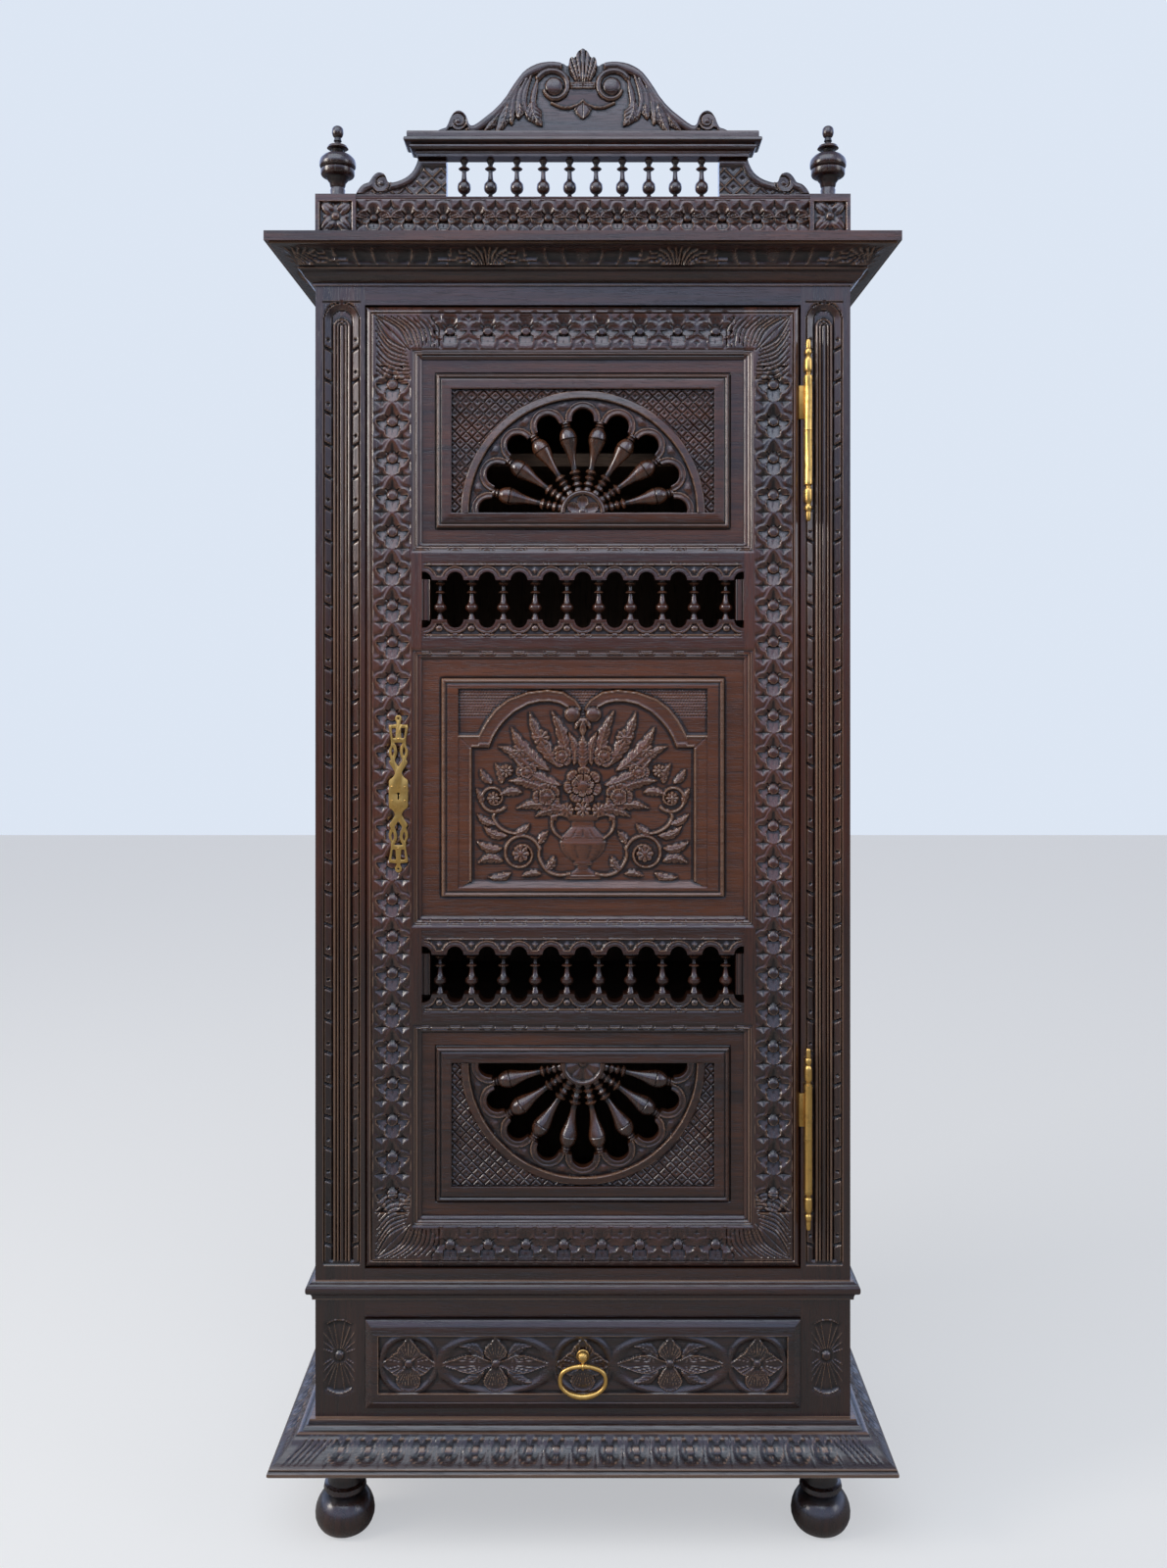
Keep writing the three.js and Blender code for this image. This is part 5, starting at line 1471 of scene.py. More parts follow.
def gallery_rail_face(edge, up):
    """Face of a scalloped rail. edge is the height of its scalloped edge, up is 1 where the notches
    are at its top."""

    def face(x, z):
        heights = sticking(opening_distance(x, z, DOOR_OPENINGS))
        inwards = (edge - z) * up
        away = np.hypot(fold(x, SPINDLE_PITCH), inwards)
        between = np.abs(fold(x, SPINDLE_PITCH, SPINDLE_PITCH / 2))
        inside = np.abs(x) < SIGHT - 4
        # Between the plain crescents over the notches, sunk corners with a pearl or a diamond
        sunk = soft(away, 19.0, 20.4) * soft(inwards, 5.2, 6.4) * (1 - soft(inwards, 19.6, 20.6))
        if up > 0:
            share = np.hypot(between / 5.2, (inwards - 12.4) / 4.6)
            raised = 3.6 * np.sqrt(bulge(share, 2))
        else:
            share = between / 5.6 + np.abs(inwards - 13.2) / 5.6
            raised = 2.4 * np.clip(1 - share, 0, 1)
        lip = -0.9 * fall(np.abs(away - 16.2), 0.9) * (inwards > 3)
        bar = -1.5 * fall(np.abs(inwards - 23.5), 0.9)
        carved = np.minimum(np.minimum(bar, lip), -2.8 * sunk)
        return np.minimum(heights, carved * inside) + raised * (sunk > 0.5) * inside

    return face


def scallop_edge(edge, up):
    """Height of the scalloped edge at x."""

    def height(x):
        beside = np.abs(fold(x, SPINDLE_PITCH))
        dip = np.sqrt(np.clip(NOTCH_RADIUS ** 2 - beside ** 2, 0, None))
        return edge - up * dip

    return height


SPINDLE_PROFILE = [
    (0.64, 0.0), (0.64, 0.0), (0.62, 0.03), (0.46, 0.09), (0.34, 0.15), (0.32, 0.18),
    (0.32, 0.18), (0.60, 0.215), (0.94, 0.27), (1.0, 0.315), (0.93, 0.36), (0.68, 0.40),
    (0.50, 0.45), (0.38, 0.54), (0.31, 0.65), (0.31, 0.65), (0.80, 0.685), (0.80, 0.71),
    (0.80, 0.71), (0.34, 0.74), (0.28, 0.80), (0.28, 0.87), (0.28, 0.87), (0.82, 0.905),
    (0.82, 0.93), (0.82, 0.93), (0.44, 0.945), (0.52, 1.0),
]


def reeded(x, _):
    """Three upright reeds."""
    return -1.8 + 1.8 * np.abs(np.cos((np.abs(x) - SIGHT + 5.4) / 3.75 * math.pi / 2)) ** 0.6


def row_of(first, count, pitch, y):
    """Copies of a turning in an even row, joined into one piece."""
    row = [
        copied(first, Matrix.Translation(((i - (count - 1) / 2) * pitch, y, 0)))
        for i in range(count)
    ]
    bpy.data.objects.remove(first)
    return joined(*row)


class CABINET_OT_door_galleries(bpy.types.Operator):
    """Cut the scalloped rails and turn their spindles"""

    bl_idname = "object.cabinet_door_galleries"
    bl_label = "Door galleries"

    def execute(self, context):
        cell = context.scene.cabinet_sizes.cell / MM
        for name in ("lower", "upper"):
            base = node_box(f"{name}_gallery_with_spindles")[0][2]
            top = node_box(f"{name}_gallery_top_rail")
            notches = [
                (i - GALLERY_SPINDLES / 2) * SPINDLE_PITCH + way * NOTCH_RADIUS
                for i in range(GALLERY_SPINDLES + 1) for way in (-1, 1)
            ]
            xs = lines(-SIGHT, SIGHT, cell, notches)
            rows = lines(0, GALLERY_RAIL, cell)
            low_edge, high_edge = base + GALLERY_RAIL, top[0][2]
            rails = []
            for edge, up, straight in ((low_edge, 1, base), (high_edge, -1, top[1][2])):
                cut = scallop_edge(edge, up)
                rails.append(carved_board(
                    xs, rows, DOOR_FRONT + 0.6, DOOR_BACK, gallery_rail_face(edge, up),
                    lambda x: (np.full(np.shape(x), straight), cut(x))[::up],
                ))
            first = turned_to(SPINDLE_PROFILE, 9.2, low_edge - 0.8, high_edge + 0.4)
            spindles = row_of(first, GALLERY_SPINDLES, SPINDLE_PITCH, (DOOR_FRONT + DOOR_BACK) / 2)
            posts = [
                carved_board(
                    lines(side * (SIGHT - 5.4) - 5.6, side * (SIGHT - 5.4) + 5.6, 0.8),
                    [low_edge - 1, high_edge + 1], DOOR_FRONT + 1.6, DOOR_BACK - 2, reeded,
                ) for side in (-1, 1)
            ]
            for piece, piece_name, finish, nodes in (
                (rails[0], "low_rail", "lying", [f"{name}_gallery_with_spindles"]),
                (joined(spindles, *posts), "spindles", "upright", []),
                (rails[1], "high_rail", "lying", [f"{name}_gallery_top_rail"]),
            ):
                dress(piece, f"{name}_gallery_{piece_name}", finish, "door", "dark_oak", *nodes)
        return {"FINISHED"}


# Panels of the door


# A panel's thickness behind the door's face and the tongue hidden in its groove
PANEL_THICK = 16.5
TONGUE = 7.5
# From a panel's edge to its carved ground
GROUND_MARGIN = 41.0


def panel_frame(x, z, opening):
    """Face of a fielded panel measured from the door's face: a flat margin, a moulded rise and a
    raised frame round the ground. Also gives the distance in from the opening's edge."""
    away = inset(x, z, *opening)
    heights = np.interp(
        away,
        [0, 17.5, 18.3, 19.4, 20.6, 22.6, 24.4, 25.2, 26.4, 27.4, 28.2, 40.2, 41.0, 41.8],
        [-8.0, -8.0, -9.2, -9.2, -4.2, -2.0, -2.4, -4.2, -4.2, -3.0, -2.9, -2.1, -2.6, -3.4],
    )
    return heights, away


FAN_STEP = math.radians(22)
FAN_LOBES = 9
ARCH_OUTER = 169.7
ARCH_INNER = 157.7
BORDER_REACH = 24.5
FAN_EDGE = 128.0
LOBE_RADIUS = 15.0
HUB_RADIUS = 31.0


def lobed_radius(angle):
    """Radius of the fan opening's lobed edge at an angle from its middle line."""
    off = fold(angle, FAN_STEP)
    sine = (FAN_EDGE + 1.5) * np.sin(off)
    reach = np.sqrt(np.clip((LOBE_RADIUS + 0.6) ** 2 - sine ** 2, 0, None))
    lobe = (FAN_EDGE + 1.5) * np.cos(off) + reach
    return np.where(np.abs(sine) < LOBE_RADIUS + 0.6, np.maximum(lobe, FAN_EDGE), FAN_EDGE)


def fan_border_face(radius, angle):
    """Carved border between the lobes and the arch, and the arch's plain convex band."""
    off = fold(angle, FAN_STEP)
    away = np.hypot(radius * np.cos(off) - FAN_EDGE - 1.5, radius * np.sin(off))
    shell = np.where(away < BORDER_REACH, -3.2 - 0.9 * soft(away, 15, 24), -6.6)
    rim = 1.0 * fall(np.abs(away - BORDER_REACH + 1.4), 1.4) ** 0.5
    lip = 0.8 * fall(np.abs(away - LOBE_RADIUS - 2.6), 1.6) ** 0.5
    turn = fold(angle, FAN_STEP, FAN_STEP / 2)
    bud = np.hypot((radius - 149.5) / 5.2, radius * turn / 8.0)
    rays = 0.5 + 0.5 * np.cos(3 * np.arctan2(radius * turn, radius - 144.0))
    leaf_bud = 1.7 * bulge(bud, 2) ** 0.6 * (0.45 + 0.55 * rays)
    border = shell + (away < BORDER_REACH) * (rim + lip) + (away >= BORDER_REACH) * leaf_bud
    band = (radius - ARCH_INNER) / (ARCH_OUTER - ARCH_INNER)
    arch = np.interp(band, [0, 0.06, 0.14, 0.9, 1.0], [-6.0, -1.2, -0.3, -2.9, -4.6])
    heights = np.where(radius > ARCH_INNER - 1.0, -7.0, border)
    return np.where(band >= 0, arch, heights)


def fan_border(centre, up, cell):
    """The half ring of a fan panel, as a grid that runs round its middle."""
    angles = np.linspace(-math.pi / 2, math.pi / 2, int(math.pi * 150 / cell) + 1)
    turn, share = np.meshgrid(angles, np.linspace(0, 1, int(42 / cell) + 2))
    radius = lobed_radius(turn) * (1 - share) + ARCH_OUTER * share
    heights = fan_border_face(radius, turn)
    grid = grid_through(
        radius * np.sin(turn), DOOR_FRONT - heights, centre + up * radius * np.cos(turn)
    )
    return thickened(grid, DOOR_FRONT + PANEL_THICK, relief_of(heights))


def fan_ground(opening, centre, up, cell):
    """The fan panel's frame and scored ground, open where the arch stands."""
    x0, x1, z0, z1 = opening

    def face(x, z):
        heights, away = panel_frame(x, z, opening)
        line, star = diamonds(x, z - centre, 16.2, 3.9, 2.2)
        scored = -6.6 + (-2.0 * fall(line, 1.25) + star)
        return np.where(away > GROUND_MARGIN, scored, heights)

    xs = lines(x0 - TONGUE, x1 + TONGUE, cell, (x0 + GROUND_MARGIN, x1 - GROUND_MARGIN))
    zs = lines(z0 - TONGUE, z1 + TONGUE, cell, (z0 + GROUND_MARGIN, z1 - GROUND_MARGIN))
    board = carved_board(xs, zs, DOOR_FRONT, DOOR_FRONT + PANEL_THICK, face, wear_and_highlight=0.4)
    deselect()
    bpy.ops.mesh.primitive_circle_add(vertices=160, radius=163.0 * MM, fill_type="NGON",
                                      location=(0, 0, 0), rotation=(math.radians(90), 0, 0))
    tool = bpy.context.object
    tool.location = (0, (DOOR_FRONT - 20) * MM, centre * MM)
    bpy.ops.object.transform_apply(location=True, rotation=True, scale=True)

    def half_disc():
        bpy.ops.mesh.extrude_region_move(TRANSFORM_OT_translate={"value": (0, 60 * MM, 0)})
        bpy.ops.mesh.select_all(action="SELECT")
        bpy.ops.mesh.bisect(
            plane_co=(0, 0, centre * MM), plane_no=(0, 0, up), clear_inner=True, use_fill=True
        )

    in_edit_mode(tool, half_disc, outwards)
    cut_away(board, tool)
    return board


FAN_SPINDLE = [
    (0.40, 0.0), (0.40, 0.0), (0.52, 0.02), (0.52, 0.05), (0.30, 0.065), (0.30, 0.08),
    (0.62, 0.10), (0.62, 0.125), (0.30, 0.145), (0.28, 0.165), (0.58, 0.19), (0.58, 0.21),
    (0.28, 0.23), (0.28, 0.25), (0.68, 0.27), (0.68, 0.29), (0.32, 0.315), (0.30, 0.36),
    (0.36, 0.42), (0.46, 0.5), (0.64, 0.585), (0.86, 0.665), (0.985, 0.725), (0.985, 0.725),
    (0.89, 0.733), (0.89, 0.742), (0.89, 0.742), (1.0, 0.75), (1.0, 0.75), (0.95, 0.80),
    (0.78, 0.85), (0.55, 0.885), (0.42, 0.90), (0.42, 0.90), (0.54, 0.915), (0.54, 0.93),
    (0.38, 0.94), (0.52, 0.955), (0.52, 0.97), (0.40, 0.985), (0.44, 1.0),
]


def hub_face(radius, turn, flower):
    """The half-round hub: a plain ring round a carved half flower or spray."""
    ring = -2.4 + 2.8 * np.sqrt(bulge((radius - 27.6) / 3.0, 2))
    x, z = radius * np.sin(turn), radius * np.cos(turn)
    if flower:
        inner = np.full(np.shape(radius), -5.4)
        for lean in (-64, 0, 64):
            a = math.radians(lean)
            u, v = x * math.sin(a) + z * math.cos(a), x * math.cos(a) - z * math.sin(a)
            lobe = np.sqrt(((u - 13.5) / 10.5) ** 2 + (v / 7.6) ** 2)
            inner = np.where(lobe < 1, -2.2 - 2.0 * (1 - lobe ** 2), inner)
        inner = np.maximum(inner, -4.2 + boss(x, z - 1, 5.5, 3.4))
    else:
        rays = np.abs(np.sin(turn * 4.0))
        inner = -4.6 + 2.6 * rays ** 0.7 * np.clip(radius / 20, 0, 1)
        inner = np.maximum(inner, -3.8 + boss(x, z - 1, 5.0, 2.6))
    return np.where(radius > 24.6, ring, inner)


def fan_hub(centre, up, flower, y):
    """A half disc on a polar grid, closed at the back."""
    angles = np.linspace(-math.pi / 2, math.pi / 2, 65)
    turn, radius = np.meshgrid(angles, np.linspace(0.6, HUB_RADIUS, 30))
    heights = hub_face(radius, turn, flower)
    grid = grid_through(
        radius * np.sin(turn), y - heights, centre + up * (radius * np.cos(turn) + 0.4)
    )
    return thickened(grid, y + 14, relief_of(heights))


class CABINET_OT_fans(bpy.types.Operator):
    """Carve the fan panels and turn their spindles"""

    bl_idname = "object.cabinet_fans"
    bl_label = "Fan panels"

    def execute(self, context):
        cell = context.scene.cabinet_sizes.cell / MM
        for name, opening, up in (
            ("upper", DOOR_OPENINGS[2], 1), ("lower", DOOR_OPENINGS[0], -1),
        ):
            centre = opening[2] + GROUND_MARGIN if up > 0 else opening[3] - GROUND_MARGIN
            ground = fan_ground(opening, centre, up, cell * 0.88)
            border = fan_border(centre, up, cell * 0.9)
            dress(ground, f"{name}_fan_ground", "panel", "door", "panel_oak", f"{name}_fan_panel")
            dress(border, f"{name}_fan_arch", "panel", "door", "panel_oak")
            depth = sum(corner[1] for corner in node_box(f"{name}_fan")) / 2
            blades = [fan_hub(centre, up, up > 0, depth - 8.5)]
            first = turned_to(FAN_SPINDLE, 12.3, HUB_RADIUS - 1.5, FAN_EDGE + 2.5, 24)
            for i in range(FAN_LOBES - 1):
                angle = (i - (FAN_LOBES - 2) / 2) * FAN_STEP + (0 if up > 0 else math.pi)
                place = Matrix.Translation((0, depth, centre)) @ Matrix.Rotation(angle, 4, "Y")
                blades.append(copied(first, place))
            bpy.data.objects.remove(first)
            dress(joined(*blades), f"{name}_fan_turned", "turned", "door", "turned_oak",
                  f"{name}_fan")
        return {"FINISHED"}


# Centre panel and drawer front


CENTRE_FIELD = (-173.0, 173.0, 901.6, 1178.5)
# Half the width inside the arch's side bands, and the height of the bands' top
ARCH_HALF = 153.5
ARCH_SPRING = 1113.8
ARCH_OUTSIDE = [
    (0, 1138), (2.5, 1151.5), (10.6, 1163.0), (27, 1173.6), (48.8, 1177), (76, 1173.6),
    (103.2, 1163.6), (120, 1151.0), (132, 1136.0), (140, 1122.0), (144.1, 1113.8),
    (144.3, 1113.8), (173, 1113.8),
]
ARCH_INSIDE = [
    (0, 1150), (8, 1144), (14, 1146), (22, 1151.5), (32, 1157), (45, 1159.8), (59.6, 1159.5),
    (76, 1155.6), (95, 1145.4), (108, 1133.6), (118, 1121.0), (125, 1109.0), (130.2, 1096.2),
    (130.4, 1096.2), (153.5, 1096.2),
]
VASE = [
    (913, 25), (918, 25.5), (919, 21), (925, 12), (929, 8), (932, 8), (933, 12), (937, 12.5),
    (938, 11), (944, 21), (954, 29.5), (964, 32), (973, 29), (981, 20), (986, 15.5), (994, 15.5),
    (995, 20), (999, 24), (1003, 25),
]
VASE_DEPTH = [
    (913, 2.6), (918, 3.0), (920, 2.4), (929, 2.2), (933, 2.8), (938, 2.8), (940, 2.4), (962, 5.6),
    (981, 3.8), (988, 2.6), (994, 2.6), (998, 3.8), (1003, 4.2),
]


def vase(x, z):
    """A gadrooned vase with a foot, a knop and a lip."""
    wide = np.interp(z, *zip(*VASE))
    deep = np.interp(z, *zip(*VASE_DEPTH))
    share = np.clip(np.abs(x) / wide, 0, 1)
    body = deep * np.sqrt(bulge(share, 2.4))
    turn = np.arcsin(np.clip(x / wide, -1, 1))
    flutes = 0.5 + 0.5 * np.cos(turn * 9)
    low = soft(z, 940, 944) * (1 - soft(z, 960, 963))
    body = body - 0.9 * low * (1 - flutes) ** 2
    for height in (919, 932.5, 938.5, 966.5, 969.5, 986, 994.5):
        body = body - 0.8 * fall(np.abs(z - height), 0.9)
    high = soft(z, 971, 973) * (1 - soft(z, 981, 984))
    body = body - 0.6 * high * (np.abs(fold(turn, 0.5)) < 0.06)
    return np.where((np.abs(x) < wide) & (z > 913) & (z < 1003), body, 0)


def bouquet(heights, x, z):
    """A vase of flowers and leaves, the same on both sides of its middle line."""
    s = np.abs(x)
    # Scrolling stems beside the vase
    for centre, radius, start, way, turns in (
        ((86, 949), 27, 2.9, -1, 1.35), ((124, 1026), 20, -2.4, 1, 1.3),
    ):
        points = scroll(centre, radius, turns, start, way, 0.34)
        widths = np.linspace(2.6, 1.5, len(points))
        put_stem(heights, s, z, points, widths, 3.6)
        put_flower(heights, s, z, centre, radius * 0.46, 4.4, daisy)
    put_stem(heights, s, z, [(18, 921), (34, 919), (50, 926), (60, 942), (60, 956)],
             (2.0, 2.6, 2.6, 2.4, 2.0), 3.6)
    put_stem(heights, s, z, [(86, 976), (104, 979), (118, 988), (124, 1000), (118, 1010)],
             (2.0, 2.4, 2.4, 2.2, 1.8), 3.4)
    for foot, tip, width, height, bend in (
        ((52, 926), (40, 946), 6.5, 3.4, 0.12), ((58, 921), (84, 917), 5.5, 3.2, 0.1),
        ((100, 922), (132, 917), 7.0, 3.6, -0.14), ((110, 938), (146, 936), 7.5, 3.6, 0.16),
        ((112, 956), (147, 966), 7.5, 3.6, -0.14), ((104, 974), (138, 988), 7.0, 3.6, -0.16),
        ((92, 978), (74, 990), 6.0, 3.2, 0.12), ((122, 990), (147, 1004), 6.0, 3.2, -0.12),
        ((140, 1016), (149, 1040), 5.5, 3.2, 0.1), ((126, 1046), (142, 1066), 6.0, 3.2, -0.1),
        ((112, 1046), (122, 1074), 7.0, 3.4, 0.12), ((60, 962), (48, 980), 6.0, 3.2, -0.1),
    ):
        put_leaf(heights, s, z, foot, tip, width, height, bend)
    # Handles of the vase
    put_stem(heights, s, z, [(20, 1000), (34, 1003), (43, 994), (40, 980), (29, 970)],
             (1.6, 2.2, 2.4, 2.2, 1.8), 4.0)
    put_flower(heights, s, z, (41, 999), 4.2, 2.4, lambda *parts: boss(*parts) + 1.8)
    # Leaves that hang over the lip and fill the sides
    for foot, tip, width, height, bend in (
        ((16, 1004), (66, 1000), 9.5, 4.0, 0.16), ((22, 1010), (92, 1012), 10.0, 4.2, 0.1),
        ((40, 1030), (104, 1050), 10.0, 4.0, 0.1), ((30, 1044), (96, 1082), 10.0, 4.0, -0.1),
        ((70, 1062), (118, 1098), 9.0, 3.8, 0.1), ((46, 1064), (100, 1126), 10.5, 4.0, -0.09),
        ((34, 1070), (74, 1146), 10.5, 4.0, -0.06), ((22, 1070), (44, 1148), 9.5, 3.8, 0.07),
        ((12, 1072), (20, 1118), 8.0, 3.6, 0.1), ((84, 1034), (116, 1030), 7.0, 3.4, 0.1),
    ):
        put_leaf(heights, s, z, foot, tip, width, height, bend, 5)
    put_leaf(heights, x, z, (0, 1066), (0.01, 1114), 10, 4.2, 0, 4)
    for centre, radius, height, shape in (
        ((58, 1110), 12, 5.0, daisy), ((88, 1092), 10.5, 5.0, daisy),
        ((106, 1064), 9.5, 5.0, daisy), ((78, 1062), 15.5, 5.6, rose),
        ((50, 1028), 20.0, 6.0, rose), ((30, 1084), 16.0, 5.6, rose),
    ):
        put_flower(heights, s, z, centre, radius, height, shape)
    put_flower(heights, x, z, (0, 1044), 27.0, 7.0, lambda *parts: rose(*parts, 7, 0.3))
    put_flower(heights, s, z, (22, 1010), 10.5, 5.0, daisy)
    put_flower(heights, x, z, (0, 1011), 12.0, 5.4, daisy)
    raise_patch(heights, x, z, ((-34, 912), (34, 1004)), 0, vase)


def centre_face(x, z):
    """The centre panel: a moulded frame, a broken double arch with two balls and a drop, and a
    vase of flowers on punched ground."""
    frame_face = np.interp(
        inset(x, z, *DOOR_OPENINGS[1]),
        [0, 24.6, 25.4, 26.6, 27.6, 29.4, 31.2, 32.6, 33.2, 34.2, 35.0],
        [-8.0, -8.0, -9.0, -9.0, -4.0, -2.1, -2.2, -3.6, -4.4, -4.4, -3.4],
    )
    _, x1, z0, z1 = CENTRE_FIELD
    s = np.abs(x)
    into = np.minimum(x1 - s, np.minimum(z - z0, z1 - z))
    over = np.interp(s, *zip(*ARCH_OUTSIDE)) - z
    under = z - np.interp(s, *zip(*ARCH_INSIDE))
    slope = 1.0 + 0.9 * soft(s, 100, 140) * (s < 144)
    band = np.minimum(over, under) / slope
    side = np.minimum(s - ARCH_HALF, ARCH_SPRING - z)
    band = np.where(s < ARCH_HALF, np.where(z > 1090, band, -9), np.maximum(side, -9))
    band = np.where((s > ARCH_HALF) & (z > 1096), np.minimum(ARCH_SPRING - z, s - 144), band)
    raised = np.interp(
        band, [-0.8, 0, 0.8, 2.0, 3.0, 3.8, 5.0], [-8.0, -6.0, -3.8, -2.9, -3.2, -4.2, -4.2]
    )
    mitre = np.abs((ARCH_SPRING - z) - (173 - s)) / 1.414
    raised = raised - 0.9 * fall(mitre, 0.9) * (s > 153) * (z > 1096)
    ground = GROUND + stipple(x, z, 4.0, 1.1)
    inside = (z < np.interp(s, *zip(*ARCH_INSIDE)) + 0.5) & (s < ARCH_HALF)
    field = ground.copy()
    bouquet(field, x, z)
    heights = np.where(inside, field, ground)
    heights = np.where(band > -0.8, np.maximum(raised, GROUND), heights)
    # The sloped sill at the foot, mitred to the side bands
    sill = z - z0
    on_sill = (sill < 10) & (sill < (173 - s) * 0.52)
    heights = np.where(on_sill, -3.4 - 0.46 * sill, heights)
    u, v = s - 14.6, z - 1142.3
    away = np.hypot(u, v)
    heights = np.where(away < 10.9, GROUND + 0.6 + boss(u, v, 10.9, 6.6), heights)
    heights = heights + -1.4 * fall(np.abs(away - 11.8), 0.9) * (band > -0.8)
    drop = np.full(np.shape(x), GROUND)
    put_leaf(drop, x, z, (0, 1137), (0.01, 1112), 7.5, 5.0, 0, 1)
    put_leaf(drop, s, z, (1, 1137), (10, 1121), 4.6, 4.2, 0.1, 1)
    heights = np.maximum(heights, np.where(z < 1138, drop, -99))
    return np.where(into > 0, heights, frame_face)


class CABINET_OT_centre_panel(bpy.types.Operator):
    """Carve the door's middle panel"""

    bl_idname = "object.cabinet_centre_panel"
    bl_label = "Centre panel"

    def execute(self, context):
        cell = context.scene.cabinet_sizes.cell / MM
        x0, x1, z0, z1 = DOOR_OPENINGS[1]
        xs = lines(x0 - TONGUE, x1 + TONGUE, cell, CENTRE_FIELD[:2])
        zs = lines(z0 - TONGUE, z1 + TONGUE, cell, CENTRE_FIELD[2:])
        board = carved_board(xs, zs, DOOR_FRONT, DOOR_FRONT + PANEL_THICK, centre_face)
        dress(board, "centre_panel_carved", "panel", "door", "panel_oak", "centre_panel")
        return {"FINISHED"}


# Middles and half widths of the drawer's circles and ovals, and the half height of them all
DRAWER_OVALS = ((-240, 38.5), (-120, 78.0), (0, 38.5), (120, 78.0), (240, 38.5))
OVAL_TALL = 38.5
DRAWER_MIDDLE = 248.5
# Half widths along a drawer petal, as shares of its length and of its widest half
POINTED = (
    (0, 0.15), (0.15, 0.42), (0.33, 0.92), (0.46, 1.0), (0.6, 0.84), (0.75, 0.5), (0.88, 0.26),
    (1, 0.04),
)
BROAD = ((0, 0.15), (0.25, 0.6), (0.5, 0.95), (0.65, 1.0), (0.8, 0.86), (0.92, 0.5), (1, 0.1))


def ogee_petals(u, v, wide, tall):
    """Four dished petals with fine veins round a button, in an oval of those half sizes."""
    heights = np.full(np.shape(u), -4.6)
    long = wide > tall * 1.3
    if long:
        for su in (1, -1):
            for sv in (1, -1):
                put_leaf(heights, u, v, (su * 16, sv * 9), (su * 50, sv * 25), 8.0, 2.6,
                         0.12 * su * sv, 2, ground=-4.6)
    away = np.hypot(u, v)
    side = (wide - 1, tall * (0.34 if long else 0.42), POINTED, 5.5 if long else 13.0)
    for along, across, (reach, half, outline, step) in (
        (v, u, (tall - 1, tall * 0.42, POINTED, 12.0)),
        (-v, u, (tall - 1, tall * 0.44, BROAD, 9.0)),
        (u, v, side), (-u, v, side),
    ):
        t = np.clip(along / reach, 0, 1)
        share = np.abs(across) / (half * np.interp(t, *zip(*outline)))
        inside = (share < 1) & (along > 0) & (along < reach)
        edge = fall(np.abs(share - 0.9), 0.12)
        dish = -3.9 + 1.7 * share ** 2 + 0.9 * t + 0.6 * edge
        turn = np.degrees(np.arctan2(across, np.maximum(along, 0.01)))
        off = away * np.abs(np.sin(np.radians(fold(turn, step))))
        vein = fall(off, 0.95) * soft(t, 0.2, 0.34) * (1 - soft(t, 0.7, 0.86))
        dish = dish + 1.2 * vein * (share < 0.82)
        heights = np.where(inside, np.maximum(heights, dish), heights)
    return np.where(away < 5.6, -3.4 + boss(u, v, 5.4, 2.8), heights)


def drawer_face(low, high):
    """Three circles and two long ovals of petals, a flat rim and a bevel all round."""

    def face(x, z):
        away = inset(x, z, low[0], high[0], low[2], high[2])
        top = high[2] - z
        bevel = np.interp(away, [0, 0.8, 9.0, 10.2, 11.0, 12.0], [-6.0, -5.2, -0.7, 0.0, -0.8, 0])
        upper = np.interp(top, [0, 1.0, 8.0, 16.5, 17.2, 18.2], [-6.0, -4.6, -1.6, -0.1, -0.8, 0.0])
        rim = np.where(top < away + 8, np.minimum(bevel, upper), bevel)
        field = (np.abs(x) < 281) & (np.abs(z - DRAWER_MIDDLE) < OVAL_TALL + 0.6)
        ground = np.full(np.shape(x), -1.2)
        out = np.full(np.shape(x), 9.0)
        for centre, half in DRAWER_OVALS:
            u, v = x - centre, z - DRAWER_MIDDLE
            oval = np.hypot(u / half, v / OVAL_TALL)
            near = oval < 1
            inner = ogee_petals(u[near], v[near], half, OVAL_TALL)
            wall = soft(oval[near], 0.80, 1.0) ** 1.2
            ground[near] = inner * (1 - wall) + -1.2 * wall
            out = np.minimum(out, oval)
        ground = np.where(out >= 1, -1.2 - 2.8 * soft(out, 1.0, 1.16), ground)
        return np.where(field, ground, rim)

    return face


class CABINET_OT_drawer_front(bpy.types.Operator):
    """Carve the drawer's front"""

    bl_idname = "object.cabinet_drawer_front"
    bl_label = "Drawer front"

    def execute(self, context):
        cell = context.scene.cabinet_sizes.cell / MM
        low, high = node_box("drawer_front")
        xs = lines(low[0], high[0], cell * 0.95)
        zs = lines(low[2], high[2], cell * 0.9)
        board = carved_board(xs, zs, low[1], high[1], drawer_face(low, high))
        dress(board, "drawer_front_carved", "lying", "drawer", "dark_oak", "drawer_front")
        return {"FINISHED"}


# Gallery and crest


FRIEZE_LOW = node_box("gallery_frieze")[0]
FRIEZE_TOP = 1858.9
BLOCK_TOP = 1862.3
BLOCK_INSIDE = 314.0
FRIEZE_PITCH = 48.3
FRIEZE_FLOWERS = 13
FRIEZE_FRONT = -181.0
FRIEZE_BACK = -159.0
BLOCK_FRONT, BLOCK_BACK = -183.0, -147.0
CAP_FOOT = 1911.9
TOP_SPINDLES = 10
TOP_PITCH = 36.7
TOP_SPINDLES_Y = -170.0


